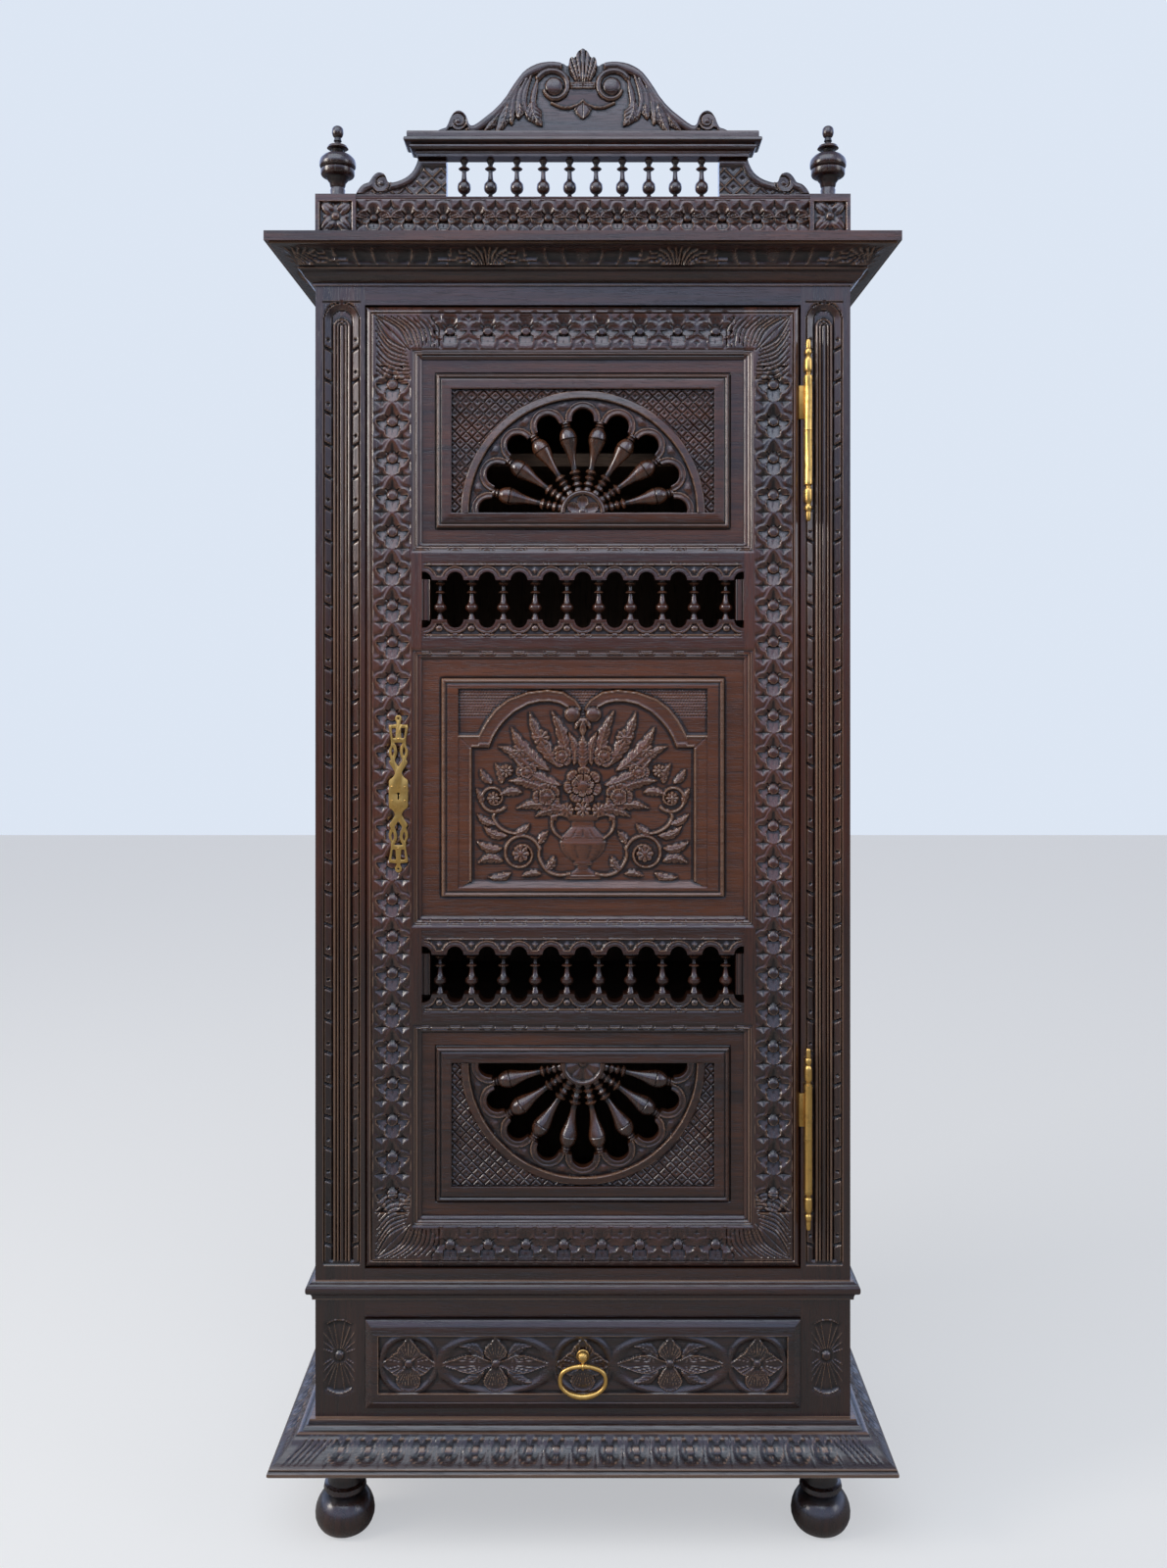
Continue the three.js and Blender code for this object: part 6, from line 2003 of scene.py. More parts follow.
def frieze_face(x, z):
    """A row of sunk four-petalled flowers with star cuts between them."""
    along = fold(x, FRIEZE_PITCH)
    up = z - FRIEZE_TOP + 28.0
    flower = quatrefoil(along, up, 48.0, 5.6, FRIEZE_FLOWER, 0.23)
    far, turn = np.hypot(along, up), np.degrees(np.arctan2(np.abs(along), up))
    # Veins along the petals
    for middle in (80, 92, 104):
        off = np.abs(far * np.sin(np.radians(turn - middle)))
        reach = soft(far, 7.5, 9.5) * (1 - soft(far, 19.0, 21.0))
        flower = flower + 1.3 * fall(off, 1.0) * reach * (np.abs(turn - middle) < 40)
    # A hollow star above and below each meeting of two flowers, with a small point left in it
    apart = np.abs(along) - FRIEZE_PITCH / 2
    for middle, tall in ((11.6, 13.5), (-10.2, 11.0)):
        star = star_cut(apart, up - middle, 16.0, tall, 6.4)
        point = fall(np.abs(apart) + np.abs(up - middle), 3.8)
        flower = np.minimum(flower, star + 3.0 * point)
    near = (np.abs(x) < FRIEZE_FLOWERS / 2 * FRIEZE_PITCH) & (up < 23)
    rim = FRIEZE_TOP - z
    edge = -1.2 * fall(np.abs(rim - 3.6), 0.8)
    stain = np.where(near & (far < 5.6), -0.4, 0.0)
    return np.minimum(np.where(near, flower, 0), edge), stain


def block_face(side):
    """The carved flower of an end block: four broad leaves in a square."""
    centre_x = side * (BLOCK_INSIDE + HALF) / 2
    centre_z = (FRIEZE_LOW[2] + BLOCK_TOP) / 2 + 3.5

    def face(x, z):
        u, v = x - centre_x, z - centre_z
        away = np.maximum(np.abs(u), np.abs(v) * 1.12)
        sunk = -4.4 * (1 - soft(away, 21.0, 23.0))
        turn = np.arctan2(v, u)
        far = np.hypot(u, v)
        reach = 8 + 19 * np.abs(np.sin(2 * turn)) ** 1.4
        petal = bulge(far / reach, 4) ** 0.5
        vein = 1.3 * fall(np.abs(np.cos(2 * turn)), 0.14) * (far > 6)
        small = 5 + 13 * np.abs(np.cos(2 * turn)) ** 3
        between = 2.2 * bulge(far / small, 4) ** 0.5
        body = np.maximum(petal * (4.4 * np.clip(far / 13, 0.3, 1) - vein), between)
        heights = sunk + body * (away < 22)
        return np.where(far < 6.0, -2.4 + boss(u, v, 5.8, 4.0), heights)

    return face


CAP_STEPS = [
    (0.0, 0), (0.0, 0), (0.12, 0.0), (0.12, 0.0), (0.12, 0.12), (0.12, 0.12), (0.2, 0.13),
    (0.24, 0.17), (0.2, 0.22), (0.2, 0.22), (0.34, 0.23), (0.34, 0.23), (0.52, 0.27),
    (0.62, 0.34), (0.6, 0.43), (0.5, 0.47), (0.5, 0.47), (0.5, 0.51), (0.5, 0.51), (0.8, 0.53),
    (0.97, 0.58), (1.0, 0.65), (0.93, 0.72), (0.82, 0.74), (0.82, 0.74), (0.78, 0.74),
    (0.78, 0.74), (0.78, 0.97), (0.74, 1.0), (0.74, 1.0), (0.0, 1.0),
]


def ring_run(profile, half_x, y0, y1):
    """A moulding round all four sides of a bar: each point of the profile is one ring."""
    deselect()
    bpy.ops.mesh.primitive_plane_add(size=1, location=(0, (y0 + y1) / 2 * MM, profile[0][1] * MM))
    bar = bpy.context.object
    bar.scale = (2 * half_x * MM, (y1 - y0) * MM, 1)
    bpy.ops.object.transform_apply(location=True, rotation=True, scale=True)
    bpy.ops.object.mode_set(mode="EDIT")
    bpy.ops.mesh.select_all(action="SELECT")
    wide, deep, height = half_x, (y1 - y0) / 2, profile[0][1]
    for out, z in profile[1:]:
        new_wide, new_deep = half_x + out, (y1 - y0) / 2 + out * 0.7
        bpy.ops.mesh.extrude_region_move(
            TRANSFORM_OT_translate={"value": (0, 0, (z - height) * MM)}
        )
        bpy.ops.transform.resize(
            value=(new_wide / wide, new_deep / deep, 1),
            center_override=(0, (y0 + y1) / 2 * MM, z * MM),
        )
        wide, deep, height = new_wide, new_deep, z
    weld()
    outwards()
    bpy.ops.object.mode_set(mode="OBJECT")
    return bar


class CABINET_OT_gallery(bpy.types.Operator):
    """Carve the frieze and its end blocks, turn the spindles and finials, run the cap"""

    bl_idname = "object.cabinet_gallery"
    bl_label = "Top gallery"

    def execute(self, context):
        cell = context.scene.cabinet_sizes.cell / MM
        xs = lines(-BLOCK_INSIDE, BLOCK_INSIDE, cell * 0.75)
        zs = lines(FRIEZE_LOW[2], FRIEZE_TOP, cell * 0.75)
        pieces = [carved_board(xs, zs, FRIEZE_FRONT, FRIEZE_BACK, frieze_face)]
        zs = lines(FRIEZE_LOW[2], BLOCK_TOP, cell)
        for side in (-1, 1):
            ends = sorted((side * BLOCK_INSIDE, side * HALF))
            xs = lines(ends[0], ends[1], cell)
            pieces.append(carved_board(xs, zs, BLOCK_FRONT, BLOCK_BACK, block_face(side)))
        dress(joined(*pieces), "frieze_carved", "border", "cabinet", "dark_oak", "gallery_frieze")

        low, high = node_box("left_finial")
        first = turned_to(FINIAL_PROFILE, (high[0] - low[0]) / 2, low[2], high[2], 32, 3)
        for name in ("left", "right"):
            low, high = node_box(f"{name}_finial")
            middle = (low + high) / 2
            finial = copied(first, Matrix.Translation((middle[0], middle[1], 0)))
            dress(finial, f"{name}_finial_turned", "upright", "cabinet", "dark_oak",
                  f"{name}_finial")
        bpy.data.objects.remove(first)

        first = turned_to(TOP_SPINDLE, 9.4, FRIEZE_TOP - 0.6, CAP_FOOT + 0.4)
        spindles = row_of(first, TOP_SPINDLES, TOP_PITCH, TOP_SPINDLES_Y)
        low, high = node_box("gallery_cap")
        profile = stretched(CAP_STEPS, 20.0, CAP_FOOT, high[2], 3)
        cap = ring_run(profile, high[0] - 20.0, low[1] + 14.0, high[1] - 14.0)
        dress(spindles, "top_spindles", "upright", "cabinet", "dark_oak")
        dress(cap, "gallery_cap_run", "lying", "cabinet", "dark_oak", "gallery_cap")
        return {"FINISHED"}


FINIAL_PROFILE = [
    (0.43, 0.0), (0.43, 0.0), (0.43, 0.045), (0.43, 0.045), (0.37, 0.05), (0.37, 0.06),
    (0.37, 0.06), (0.41, 0.065), (0.41, 0.1), (0.38, 0.12), (0.36, 0.135), (0.36, 0.135),
    (0.41, 0.15), (0.43, 0.175), (0.41, 0.19), (0.41, 0.19), (0.47, 0.21), (0.56, 0.24),
    (0.62, 0.278), (0.62, 0.278), (0.78, 0.283), (0.9, 0.305), (0.94, 0.345), (0.92, 0.39),
    (0.92, 0.39), (0.87, 0.397), (0.87, 0.403), (0.87, 0.403), (0.97, 0.415), (1.0, 0.46),
    (0.97, 0.51), (0.9, 0.54), (0.9, 0.54), (0.84, 0.545), (0.84, 0.552), (0.84, 0.552),
    (0.82, 0.562), (0.66, 0.59), (0.4, 0.612), (0.28, 0.62), (0.28, 0.62), (0.25, 0.64),
    (0.29, 0.662), (0.29, 0.662), (0.5, 0.672), (0.6, 0.69), (0.57, 0.712), (0.34, 0.73),
    (0.18, 0.745), (0.18, 0.745), (0.16, 0.775), (0.16, 0.775), (0.22, 0.785), (0.24, 0.805),
    (0.2, 0.825), (0.2, 0.825), (0.17, 0.835), (0.17, 0.835), (0.25, 0.85), (0.31, 0.885),
    (0.325, 0.918), (0.3, 0.955), (0.21, 0.985), (0.09, 0.998), (0.02, 1.0),
]
TOP_SPINDLE = [
    (0.66, 0.0), (0.66, 0.0), (0.6, 0.03), (0.42, 0.075), (0.28, 0.11), (0.26, 0.14),
    (0.26, 0.14), (0.52, 0.155), (0.87, 0.21), (1.0, 0.3), (0.93, 0.385), (0.66, 0.445),
    (0.45, 0.49), (0.37, 0.56), (0.33, 0.66), (0.33, 0.74), (0.33, 0.74), (0.62, 0.752),
    (0.85, 0.785), (0.62, 0.818), (0.62, 0.818), (0.33, 0.83), (0.33, 0.83), (0.31, 0.87),
    (0.42, 0.92), (0.62, 0.97), (0.68, 1.0),
]

# Heights of the scroll bracket's upper edge: (share from its inner end, share of its height)
BRACKET_EDGE = [
    (0.0, 1.0), (0.317, 1.0), (0.322, 0.93), (0.34, 0.83), (0.36, 0.73), (0.385, 0.645),
    (0.415, 0.575), (0.452, 0.51), (0.5, 0.452), (0.548, 0.41), (0.59, 0.385), (0.633, 0.375),
    (0.648, 0.39), (0.657, 0.44), (0.668, 0.52), (0.682, 0.575), (0.7, 0.615), (0.722, 0.642),
    (0.745, 0.65), (0.768, 0.64), (0.79, 0.61), (0.812, 0.56), (0.83, 0.5), (0.845, 0.435),
    (0.86, 0.39), (0.89, 0.365), (0.915, 0.345), (0.945, 0.29), (0.97, 0.22), (0.988, 0.155),
    (1.0, 0.1),
]
# Half of the crest's upper edge: (share of its half width, share of its height)
CREST_EDGE = [
    (0.0, 1.0), (0.022, 0.985), (0.036, 0.955), (0.048, 0.915), (0.062, 0.89), (0.076, 0.905),
    (0.086, 0.895), (0.094, 0.85), (0.1, 0.81), (0.112, 0.815), (0.127, 0.835), (0.16, 0.85),
    (0.2, 0.858), (0.234, 0.857), (0.275, 0.848), (0.312, 0.832), (0.348, 0.805), (0.38, 0.773),
    (0.41, 0.73), (0.434, 0.68), (0.462, 0.615), (0.488, 0.55), (0.52, 0.462), (0.561, 0.375),
    (0.61, 0.293), (0.668, 0.215), (0.71, 0.16), (0.74, 0.128), (0.76, 0.122), (0.775, 0.14),
    (0.78, 0.17), (0.785, 0.2), (0.795, 0.24), (0.81, 0.27), (0.828, 0.29), (0.845, 0.297),
    (0.862, 0.29), (0.878, 0.27), (0.893, 0.235), (0.905, 0.19), (0.917, 0.14), (0.93, 0.1),
    (0.96, 0.085), (0.985, 0.065), (0.995, 0.04), (1.0, 0.02),
]


def upper_edge(table, wide, tall, bottom):
    """The height of an outline's upper edge at a distance along it."""
    along = [a * wide for a, _ in table]
    high = [bottom + z * tall for _, z in table]
    return lambda x: np.interp(x, along, high)


def spiral(u, v, radius, turns, start, way, width, deep):
    """A spiral groove that winds in towards its eye."""
    away = np.hypot(u, v)
    turn = np.arctan2(v, u) * way
    pitch = radius / (turns + 0.35)
    phase = np.mod(turn - start, 2 * math.pi) / (2 * math.pi)
    ring = (radius - away) / pitch - phase
    off = np.abs(ring - np.round(ring)) * pitch
    groove = -deep * fall(off, width)
    inside = (away < radius) & (away > pitch * 0.8) & (ring > -0.5)
    return np.where(inside, groove, 0)


def bracket_face(side, edge, inner):
    """A raised band follows the scroll's edge into a volute. The flat is scored with diamonds."""

    def face(x, z):
        s = side * x - inner
        near = [
            np.hypot(np.maximum(edge(s + step) - z, 0), abs(step)) for step in (-9, -6, -3, 3, 6, 9)
        ]
        away = np.clip(np.minimum.reduce([*near, edge(s) - z]), 0, None)
        band = np.interp(
            away, [0, 1.5, 3.5, 6, 9, 10.2, 11.0, 12.5],
            [-2.6, -1.0, -0.2, 0, -0.6, -2.0, -3.0, -2.2],
        )
        low = z - FRIEZE_TOP
        rim = np.interp(low, [0, 0.8, 3.4, 4.2, 5.0], [-2.2, -0.6, -0.6, -2.4, -2.2])
        line, star = diamonds(s - 7.0, z - FRIEZE_TOP - 14.0, 25.0, 5.0, 2.0)
        flat = -2.8 + (1.8 * np.clip(1.3 - line / 1.5, 0, 1) + star)
        heights = np.where(away < 12.5, band, flat)
        heights = np.where(low < 5.0, np.maximum(rim, np.where(away < 3, band, -9)), heights)
        u, v = s - 0.745 * 120, z - (FRIEZE_TOP + 0.36 * 53)
        far = np.hypot(u, v)
        volute = spiral(u, v, 13.5, 1.4, 1.2, -1, 1.3, 2.4)
        eye = boss(u, v, 3.6, 1.8) - 0.6
        rolled = np.where(far < 3.8, eye, -0.7 * (1 - far / 13.5) + volute)
        return np.where(far < 13.5, rolled, heights)

    return face


LEAF_STROKES = (
    ((62, 2024), (67, 2006), (69, 1990), (67, 1978), 4.4),
    ((72, 2027), (80, 2006), (81.5, 1990), (76, 1972), 4.2),
    ((78, 2024), (87, 2003), (89, 1988), (89.5, 1972), 5.0),
    ((88, 2014), (96, 1995), (98, 1982), (99, 1964), 4.6),
    ((97, 2001), (106, 1982), (112, 1968), (117, 1953), 6.6),
    ((108, 1987), (120, 1970), (128, 1961), (134, 1953), 4.2),
    ((118, 1975), (132, 1963), (148, 1956), (161, 1953.6), 3.2),
)
LEAF_TIPS = (
    ((71, 1992), (56.5, 1958), 12.0, 0.12), ((87.5, 1989), (89.5, 1967), 7.4, -0.05),
    ((100, 1981), (98.4, 1959), 6.2, 0.02), ((104, 1989), (117, 1950.5), 9.8, -0.06),
    ((119, 1971), (134.5, 1951.5), 5.6, -0.05),
)
# The upper edge of the crest's swag over the shell, by distance from the middle
SWAG = (
    (0, 1993.4), (3, 1990), (12, 1985.4), (18, 1984), (26, 1983), (34, 1985.5), (43, 1990),
    (50, 1996),
)
SWAG_LINE = ((0, 1993), (5, 1988.2), (12, 1985.4), (20, 1983.4), (30, 1984.2), (43, 1990))


def crest_face(edge, bottom):
    """Two spirals that sweep down in leaves to the end volutes, a palmette and a hung shell."""

    def face(x, z):
        s = np.abs(x)
        steps = (-10, -7.5, -5, -2.5, 2.5, 5, 7.5, 10)
        near = [np.where(edge(np.abs(s + step)) - z > 0, 99, abs(step)) for step in steps]
        away = np.clip(np.minimum.reduce([*near, edge(s) - z]), 0, None)
        ground = -4.4
        wide = 1 + 0.42 * soft(s, 46, 62) * (1 - soft(s, 136, 162))
        rim = np.interp(
            away / wide, [0, 0.8, 2.4, 5.0, 7.6, 9.2, 10.0, 11.2],
            [-2.6, -1.2, -0.2, 0, -0.4, -1.3, -3.6, ground],
        )
        rim = np.where(s < 30, np.maximum(ground, rim - 6 * (1 - soft(s, 24, 34))), rim)
        heights = np.where(z - bottom < 5, np.maximum(rim, -1.6), rim)
        for *points, wide in LEAF_STROKES:
            put_stem(heights, s, z, points, (wide * 0.4, wide, wide, wide * 0.7), 3.9, ground)
        for foot, tip, wide, bend in LEAF_TIPS:
            put_leaf(heights, s, z, foot, tip, wide, 4.4, bend, 2, ground)
        # Spirals with their balls
        centre = (40.0, 2013.5)
        u, v = s - centre[0], z - centre[1]
        far = np.hypot(u, v)
        heights[far < 22.5] = ground - 0.6
        wind = np.radians(np.linspace(28, 335, 40))
        along = np.linspace(0, 1, 40)
        reach = np.interp(along, [0, 0.2, 0.5, 0.8, 1], [24.5, 21.0, 18.6, 17.8, 15.0])
        widths = np.interp(along, [0, 0.5, 1], [4.6, 4.0, 2.4])
        put_stem(heights, s, z, round_about(centre, wind, reach), widths, 5.4, ground)
        ball = 5.0 * bulge(far / 12.6, 2) ** 0.4
        heights = np.where(far < 12.6, ground + ball, heights)
        # The palmette and its band
        fan = (s < 27) & (z > 2016)
        if fan.any():
            turn = np.arctan2(x[fan], z[fan] - 1996)
            reach = np.hypot(x[fan], z[fan] - 1996)
            flutes = np.abs(fold(turn, 0.118)) / 0.059
            body = ground + 1.0 + 3.6 * bulge(flutes, 2) ** 0.5 * soft(reach, 18, 30)
            wide = np.abs(turn) < 0.42 + 0.04 * np.cos(reach / 6)
            heights[fan] = np.where(wide & (far[fan] > 22.6), body, heights[fan])
        band = (s < 17.5) & (np.abs(z - 2014) < 4.6) & (far > 22.6)
        bars = -1.0 + 1.4 * np.abs(np.sin((z - 2009.4) / 9.2 * 3 * math.pi)) ** 0.6
        heights = np.where(band, bars, heights)
        # The apron under the band ends in a swag, and a shell hangs from it
        swag = np.interp(s, *zip(*SWAG))
        apron = (z > swag) & (z < 2009.6) & (s < 44) & (far > 22.6)
        heights = np.where(apron, np.maximum(heights, -2.6 + 0.05 * (z - 2000)), heights)
        line = curve(SWAG_LINE, 5)
        put_stem(heights, s, z, line, np.full(len(line), 2.2), 4.6, ground)
        shell = (z < swag - 1) & (s < 16) & (z > 1966)
        if shell.any():
            depth = 1991 - z[shell]
            # Over its top, where depth is below zero, the shell has no width
            wide = 14.5 * bulge(np.abs(depth) / 23.0, 1.8) ** 0.7
            wide = np.where(depth < 0, 0, wide)
            turn = np.arctan2(x[shell], depth + 2)
            ribs = np.abs(np.sin(turn * 5))
            body = 3.4 * bulge(s[shell] / np.maximum(wide, 0.1), 4) ** 0.5
            body = ground + body - 0.9 * fall(ribs, 0.3)
            was = heights[shell]
            heights[shell] = np.where(s[shell] < wide, np.maximum(was, body), was)
        # End volutes
        u, v = s - 172.5, z - (bottom + 0.17 * 120.6)
        far = np.hypot(u, v)
        wound = -0.6 + spiral(u, v, 12.6, 1.3, 0.4, 1, 1.3, 2.6)
        wound = np.where(far < 3.8, -0.8 + boss(u, v, 3.6, 1.6), wound)
        return np.where(far < 12.0, np.minimum(wound, rim + 4 * (away > 3) + 3), heights)

    return face


class CABINET_OT_crest(bpy.types.Operator):
    """Carve the crest and the two scroll brackets"""

    bl_idname = "object.cabinet_crest"
    bl_label = "Crest"

    def execute(self, context):
        cell = context.scene.cabinet_sizes.cell / MM
        low, high = node_box("right_gallery_bracket")
        # The bracket's inner end goes on behind the cap
        inner = low[0] - 5
        edge = upper_edge(BRACKET_EDGE, high[0] - low[0] + 5, high[2] - low[2], low[2])
        rows = lines(0, high[2] - low[2], cell * 0.75)
        for name, side in (("left", -1), ("right", 1)):
            xs = lines(*sorted((side * inner, side * high[0])), cell * 0.75)
            piece = carved_board(
                xs, rows, low[1], high[1], bracket_face(side, edge, inner),
                lambda x, side=side: (np.full(np.shape(x), low[2]), edge(side * x - inner)),
            )
            dress(piece, f"{name}_bracket_carved", "lying", "cabinet", "dark_oak",
                  f"{name}_gallery_bracket")
        low, high = node_box("crest")
        edge = upper_edge(CREST_EDGE, high[0], high[2] - low[2], low[2])
        xs = lines(low[0], high[0], cell * 0.9)
        rows = lines(0, high[2] - low[2], cell * 0.75)
        crest = carved_board(
            xs, rows, low[1], high[1], crest_face(edge, low[2]),
            lambda x: (np.full(np.shape(x), low[2]), edge(np.abs(x))),
        )
        dress(crest, "crest_carved", "lying", "cabinet", "dark_oak", "crest")
        return {"FINISHED"}


# Brass


HINGE_AXIS = (311.0, -186.8)
HINGE_RADIUS = 5.9
HINGE_LENGTH = 125.5
# Half of the gap between the two barrels
HINGE_SEAM = 0.2
HINGE_BARREL = [
    (0.98, 0.0), (0.98, 0.0), (1.0, 0.004), (1.0, 0.016), (0.94, 0.02), (0.94, 0.02),
    (0.92, 0.028), (0.93, 0.04), (0.93, 0.545), (0.92, 0.556), (0.94, 0.562), (0.94, 0.562),
    (1.0, 0.568), (1.0, 0.59), (0.9, 0.598), (0.9, 0.598), (0.62, 0.606), (0.56, 0.62),
    (0.62, 0.635), (0.62, 0.635), (0.82, 0.645), (0.9, 0.665), (0.92, 0.70), (0.9, 0.75),
    (0.82, 0.785), (0.66, 0.80), (0.66, 0.80), (0.54, 0.81), (0.54, 0.82), (0.54, 0.82),
    (0.74, 0.835), (0.8, 0.858), (0.74, 0.882), (0.54, 0.893), (0.54, 0.893), (0.58, 0.91),
    (0.6, 0.94), (0.56, 0.97), (0.44, 0.992), (0.2, 1.0),
]


def hinge_barrel(way):
    """Half a fluted barrel with its finial, up or down from the seam at z 0."""
    barrel = turned_to(HINGE_BARREL, HINGE_RADIUS, HINGE_SEAM, HINGE_SEAM + HINGE_LENGTH, 40, 3)
    points = points_of(barrel)
    angle = np.arctan2(points[:, 1], points[:, 0])
    share = points[:, 2] / HINGE_LENGTH
    fluted = soft(share, 0.03, 0.045) * (1 - soft(share, 0.54, 0.553))
    radius = np.hypot(points[:, 0], points[:, 1])
    cut = 0.5 * fluted * (0.5 - 0.5 * np.cos(10 * angle))
    scale = np.where(radius > 1, (radius - cut) / np.maximum(radius, 1e-6), 1)
    points[:, 0] *= scale
    points[:, 1] *= scale
    move_points(barrel, points)
    return moved(barrel, Matrix.Diagonal((1, 1, -1, 1))) if way < 0 else barrel


def plate_of(points, front, back):
    """A flat plate from its outline in x and z."""
    deselect()
    bpy.ops.mesh.primitive_circle_add(vertices=len(points), radius=0.01, fill_type="NGON")
    plate = bpy.context.object
    move_points(plate, [(x, front, z) for x, z in points])
    thick = (back - front) * MM

    def thicken():
        bpy.ops.mesh.extrude_region_move(TRANSFORM_OT_translate={"value": (0, thick, 0)})

    in_edit_mode(plate, thicken, outwards)
    return plate


PLATE_QUARTER = [
    (0.97, 0.0), (1.0, 0.04), (0.97, 0.1), (0.99, 0.14), (0.96, 0.16), (0.9, 0.18), (0.66, 0.2),
    (0.46, 0.228), (0.35, 0.26), (0.4, 0.285), (0.52, 0.31), (0.68, 0.342), (0.86, 0.378),
    (0.95, 0.408), (0.86, 0.425), (0.74, 0.432), (0.82, 0.455), (0.94, 0.49), (1.0, 0.53),
    (0.95, 0.565), (0.83, 0.595), (0.76, 0.625), (0.75, 0.655), (0.78, 0.7), (0.86, 0.76),
    (0.97, 0.83), (1.0, 0.855), (0.93, 0.876), (0.7, 0.876), (0.45, 0.88), (0.24, 0.885),
    (0.17, 0.898), (0.2, 0.918), (0.34, 0.937), (0.38, 0.955), (0.33, 0.975), (0.2, 0.992),
    (0.07, 1.0),
]
PLATE_HEART = [
    (0, 0.35), (0.18, 0.38), (0.36, 0.425), (0.24, 0.475), (0.14, 0.54), (0.22, 0.6),
    (0.42, 0.645), (0.2, 0.652),
]
PLATE_LENS = [
    (0.57, 0.485), (0.67, 0.51), (0.71, 0.54), (0.66, 0.572), (0.57, 0.595), (0.48, 0.57),
    (0.44, 0.54), (0.48, 0.51),
]
PLATE_SLOT = [
    (0.3, 0.715), (0.45, 0.708), (0.6, 0.715), (0.64, 0.77), (0.7, 0.83), (0.48, 0.838),
    (0.26, 0.83), (0.27, 0.77),
]


def smooth_ring(points):
    """A closed smooth outline through points."""
    count = len(points)
    out = []
    for i in range(count):
        ends = [np.array(points[(i + k) % count]) for k in (-1, 0, 1, 2)]
        out += [eased_point(*ends, t) for t in (0, 0.25, 0.5, 0.75)]
    return out


def screw(x, y, z, radius, turn):
    """A round-headed screw with its slot, facing the front."""
    head = turned([
        (radius, 0), (radius, 0.2), (radius * 0.86, 0.55), (radius * 0.5, 0.8), (0.05, 0.9),
    ], 18)
    slot = solid_box((-radius * 1.2, -radius * 0.16, 0.35), (radius * 1.2, radius * 0.16, 2), 0)
    cut_away(head, slot)
    place = Matrix.Translation((x, y, z)) @ Matrix.Rotation(math.radians(90), 4, "X")
    return moved(head, place @ Matrix.Rotation(turn, 4, "Z"))


def key_plate():
    """A scrolled plate, the same in all four quarters but for its keyhole, with six screws."""
    low, high = node_box("key_plate")
    middle, half = (low + high) / 2, (high - low) / 2

    def at(points, way=1, end=1):
        return [(middle[0] + way * x * half[0], middle[2] + end * z * half[2]) for x, z in points]

    quarter = rounded(PLATE_QUARTER, 3)
    edge = at(quarter) + at(quarter, -1)[::-1] + at(quarter, -1, -1) + at(quarter, 1, -1)[::-1]
    plate = plate_of(edge, low[1], high[1])
    in_edit_mode(plate, weld)
    cutters = []
    for end in (1, -1):
        heart = PLATE_HEART + [(-x, z) for x, z in PLATE_HEART[:0:-1]]
        cutters.append(at(smooth_ring(heart), 1, end))
        for way in (1, -1):
            cutters += [at(smooth_ring(hole), way, end) for hole in (PLATE_LENS, PLATE_SLOT)]
        angles = np.linspace(0, 2 * math.pi, 14, endpoint=False)
        eye = [(0.11 * math.sin(a), 0.955 + 0.0135 * math.cos(a)) for a in angles]
        cutters.append(at(eye, 1, end))
    round_hole = [(1.9 * math.sin(a), 1.9 * math.cos(a)) for a in np.linspace(-2.6, 2.6, 18)]
    slot = [(1.1, -8.0), (-1.1, -8.0)]
    keyhole = [(middle[0] + x, middle[2] + z) for x, z in round_hole + slot]
    for outline in cutters + [keyhole]:
        cut_away(plate, plate_of(outline, low[1] - 2, high[1] + 2))
    ease_edges(plate, 0.35, 40)
    screws = [
        screw(middle[0] + x, low[1] + 0.1, middle[2] + z, 1.5, turn) for x, z, turn in
        ((-8.8, 9.5, 0.4), (8.8, 9.5, 1.5), (-8.8, -9.5, 2.2), (8.8, -9.5, 0.9),
         (0, 75.5, 0.2), (0, -75.5, 1.1))
    ]
    return joined(plate, *screws)


# Where the bail hangs in its eye, in y and z
BAIL_AXIS = (-200.3, 251.0)


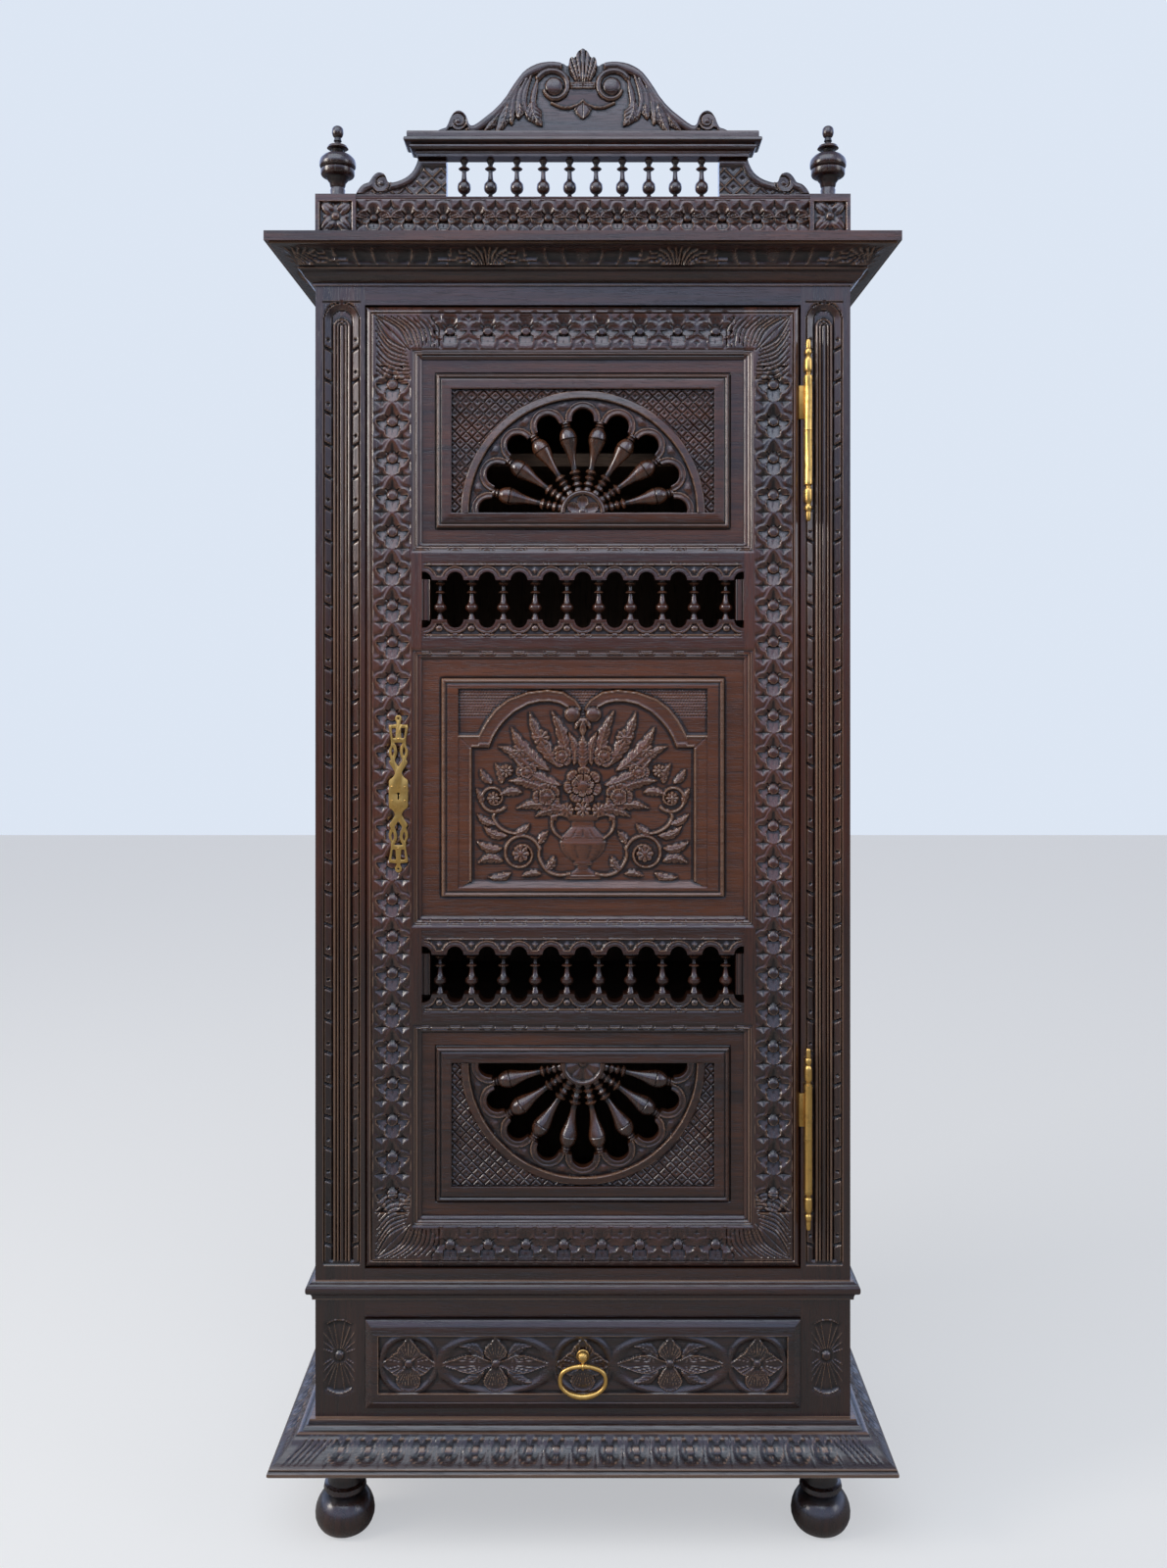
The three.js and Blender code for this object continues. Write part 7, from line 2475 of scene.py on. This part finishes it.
def pull_bail():
    """The oval ring, drawn out to an ellipse that thickens at its foot, with collars and beads."""
    wire = 2.7
    wide, tall = 34 - wire, 23.5 - wire
    y, top = BAIL_AXIS
    deselect()
    bpy.ops.mesh.primitive_torus_add(
        major_segments=96, minor_segments=16, major_radius=wide * MM, minor_radius=wire * MM,
        rotation=(math.radians(90), 0, 0),
    )
    ring = bpy.context.object
    bpy.ops.object.transform_apply(location=True, rotation=True, scale=True)
    points = points_of(ring)
    angle = np.arctan2(points[:, 2], points[:, 0])
    out = np.hypot(points[:, 0], points[:, 2]) - wide
    normal = np.stack([tall * np.cos(angle), wide * np.sin(angle)])
    normal /= np.hypot(*normal)
    swell = 1.05 + 0.45 * soft(-np.sin(angle), 0.72, 0.96)
    # Its top is flatter than its foot
    rise = np.sin(angle)
    rise = np.where(rise > 0, np.abs(rise) ** 0.72, rise)
    points = np.stack([
        wide * np.cos(angle) + out * normal[0] * swell, y + points[:, 1] * swell,
        top - tall + tall * rise + out * normal[1] * swell,
    ], axis=-1)
    move_points(ring, points)
    mark_relief(ring, np.zeros(len(points)))
    bead = turned([
        (0.3, -4.2), (2.6, -3.9), (3.0, -3.4), (2.7, -3.0), (3.6, -2.4), (4.2, -1.0), (4.3, 0.2),
        (3.9, 1.8), (3.0, 2.8), (2.6, 3.2), (0.3, 3.4),
    ], 24)
    collar = turned([
        (0.3, -1.3), (2.7, -1.3), (3.1, -0.8), (3.1, 0.8), (2.7, 1.3), (0.3, 1.3),
    ], 20)
    lying = Matrix.Rotation(math.radians(90), 4, "Y")
    parts = [ring]
    for way in (-1, 1):
        place = Matrix.Translation((way * 3.65, y, top - 2 * tall))
        parts.append(copied(bead, place @ Matrix.Rotation(math.radians(way * -90), 4, "Y")))
        parts.append(copied(collar, Matrix.Translation((way * 4.6, y, top)) @ lying))
    bpy.data.objects.remove(bead)
    bpy.data.objects.remove(collar)
    return joined(*parts)


def pull_post():
    """A dimpled dome with the eye that the bail hangs in."""
    back = node_box("pull_post")[1][1]
    y, z = BAIL_AXIS
    dome = turned(rounded([
        (8.6, 0), (8.6, 0), (8.6, 0.8), (7.8, 1.3), (7.8, 1.3), (7.6, 2.0), (7.5, 3.6), (6.8, 6.0),
        (5.2, 8.2), (2.8, 9.4), (0.1, 9.7),
    ], 3), 40)
    points = points_of(dome)
    angle = np.arctan2(points[:, 1], points[:, 0])
    away = np.hypot(points[:, 0], points[:, 1])
    rays = np.clip(np.cos(12 * angle), 0, 1) * soft(away, 2.2, 3.2) * (1 - soft(away, 6.6, 7.2))
    points[:, 2] -= 0.5 * rays
    move_points(dome, points)
    mark_relief(dome, -0.7 * rays)
    place = Matrix.Translation((0, back, z + 11)) @ Matrix.Rotation(math.radians(90), 4, "X")
    post = moved(dome, place)
    deselect()
    bpy.ops.mesh.primitive_torus_add(
        major_segments=36, minor_segments=12, major_radius=4.05 * MM, minor_radius=1.42 * MM,
        rotation=(0, math.radians(90), 0), location=(0, y * MM, z * MM),
    )
    eye = bpy.context.object
    bpy.ops.object.transform_apply(location=True, rotation=True, scale=True)
    neck = solid_box((-1.9, -202.0, 254.2), (1.9, -196.0, 259.0), 0.6)
    return joined(post, eye, neck)


class CABINET_OT_brass(bpy.types.Operator):
    """Make the hinges, the pierced key plate and the drawer pull"""

    bl_idname = "object.cabinet_brass"
    bl_label = "Brass"

    def execute(self, context):
        x, y = HINGE_AXIS
        for place in ("upper", "lower"):
            low, _ = node_box(f"{place}_hinge_door_half")
            side, seam = low[0], low[2] - HINGE_SEAM
            top, bottom = (
                moved(hinge_barrel(way), Matrix.Translation((x, y, seam))) for way in (1, -1)
            )
            leaves = [
                solid_box((x0, y0, seam + z0), (x1, y1, seam + z0 + 46), 0.3)
                for x0, x1, y0, y1, z0 in (
                    (side, x, -182.8, -181.6, 16), (side, side + 1.2, -182.8, -166.1, 16),
                    (x - 0.6, x + 0.6, y, -166.1, -62),
                )
            ]
            # The leaves sit in the shade of the gap beside the door: a relief of -1 paints them
            # dull, as painted shade
            for plate in leaves:
                mark_relief(plate, np.full(len(plate.data.vertices), -1.0))
            for parts, name, body, half in (
                ([top, *leaves[:2]], "upper_barrel", "door", "door_half"),
                ([bottom, leaves[2]], "lower_barrel", "cabinet", "frame_half"),
            ):
                dress(joined(*parts), f"{place}_hinge_{name}", "brass", body, "brass",
                      f"{place}_hinge_{half}")
        dress(key_plate(), "key_plate_pierced", "brass", "door", "brass", "key_plate")
        dress(pull_post(), "pull_post_cast", "brass", "drawer", "brass", "pull_post", angle=50)
        dress(pull_bail(), "pull_bail_cast", "brass", "pull_bail", "brass", "pull_bail", angle=50)
        return {"FINISHED"}


STEPS = (
    CABINET_OT_stage,
    CABINET_OT_finish_frame,
    CABINET_OT_stiles,
    CABINET_OT_mouldings,
    CABINET_OT_feet,
    CABINET_OT_door_frame,
    CABINET_OT_door_galleries,
    CABINET_OT_fans,
    CABINET_OT_centre_panel,
    CABINET_OT_drawer_front,
    CABINET_OT_gallery,
    CABINET_OT_crest,
    CABINET_OT_brass,
)


# The add-on


class CABINET_PT_panel(bpy.types.Panel):
    """Lists the steps that build the cabinet."""

    bl_idname = "CABINET_PT_panel"
    bl_label = "Bonnetiere cabinet"
    bl_space_type = "VIEW_3D"
    bl_region_type = "UI"
    bl_category = "Bonnetiere"

    def draw(self, context):
        column = self.layout.column()
        for group in (context.scene.cabinet_sizes, context.scene.cabinet_colours):
            for name in group.__annotations__:
                column.prop(group, name)
        for step in STEPS:
            column.operator(step.bl_idname)


CLASSES = (CabinetSizes, CabinetColours, *STEPS, CABINET_PT_panel)


def register():
    for made in CLASSES:
        bpy.utils.register_class(made)
    bpy.types.Scene.cabinet_sizes = PointerProperty(type=CabinetSizes)
    bpy.types.Scene.cabinet_colours = PointerProperty(type=CabinetColours)


def unregister():
    del bpy.types.Scene.cabinet_sizes
    del bpy.types.Scene.cabinet_colours
    for made in reversed(CLASSES):
        bpy.utils.unregister_class(made)


def main():
    register()
    for step in STEPS:
        getattr(bpy.ops.object, step.bl_idname.split(".")[1])()


if __name__ == "__main__":
    main()
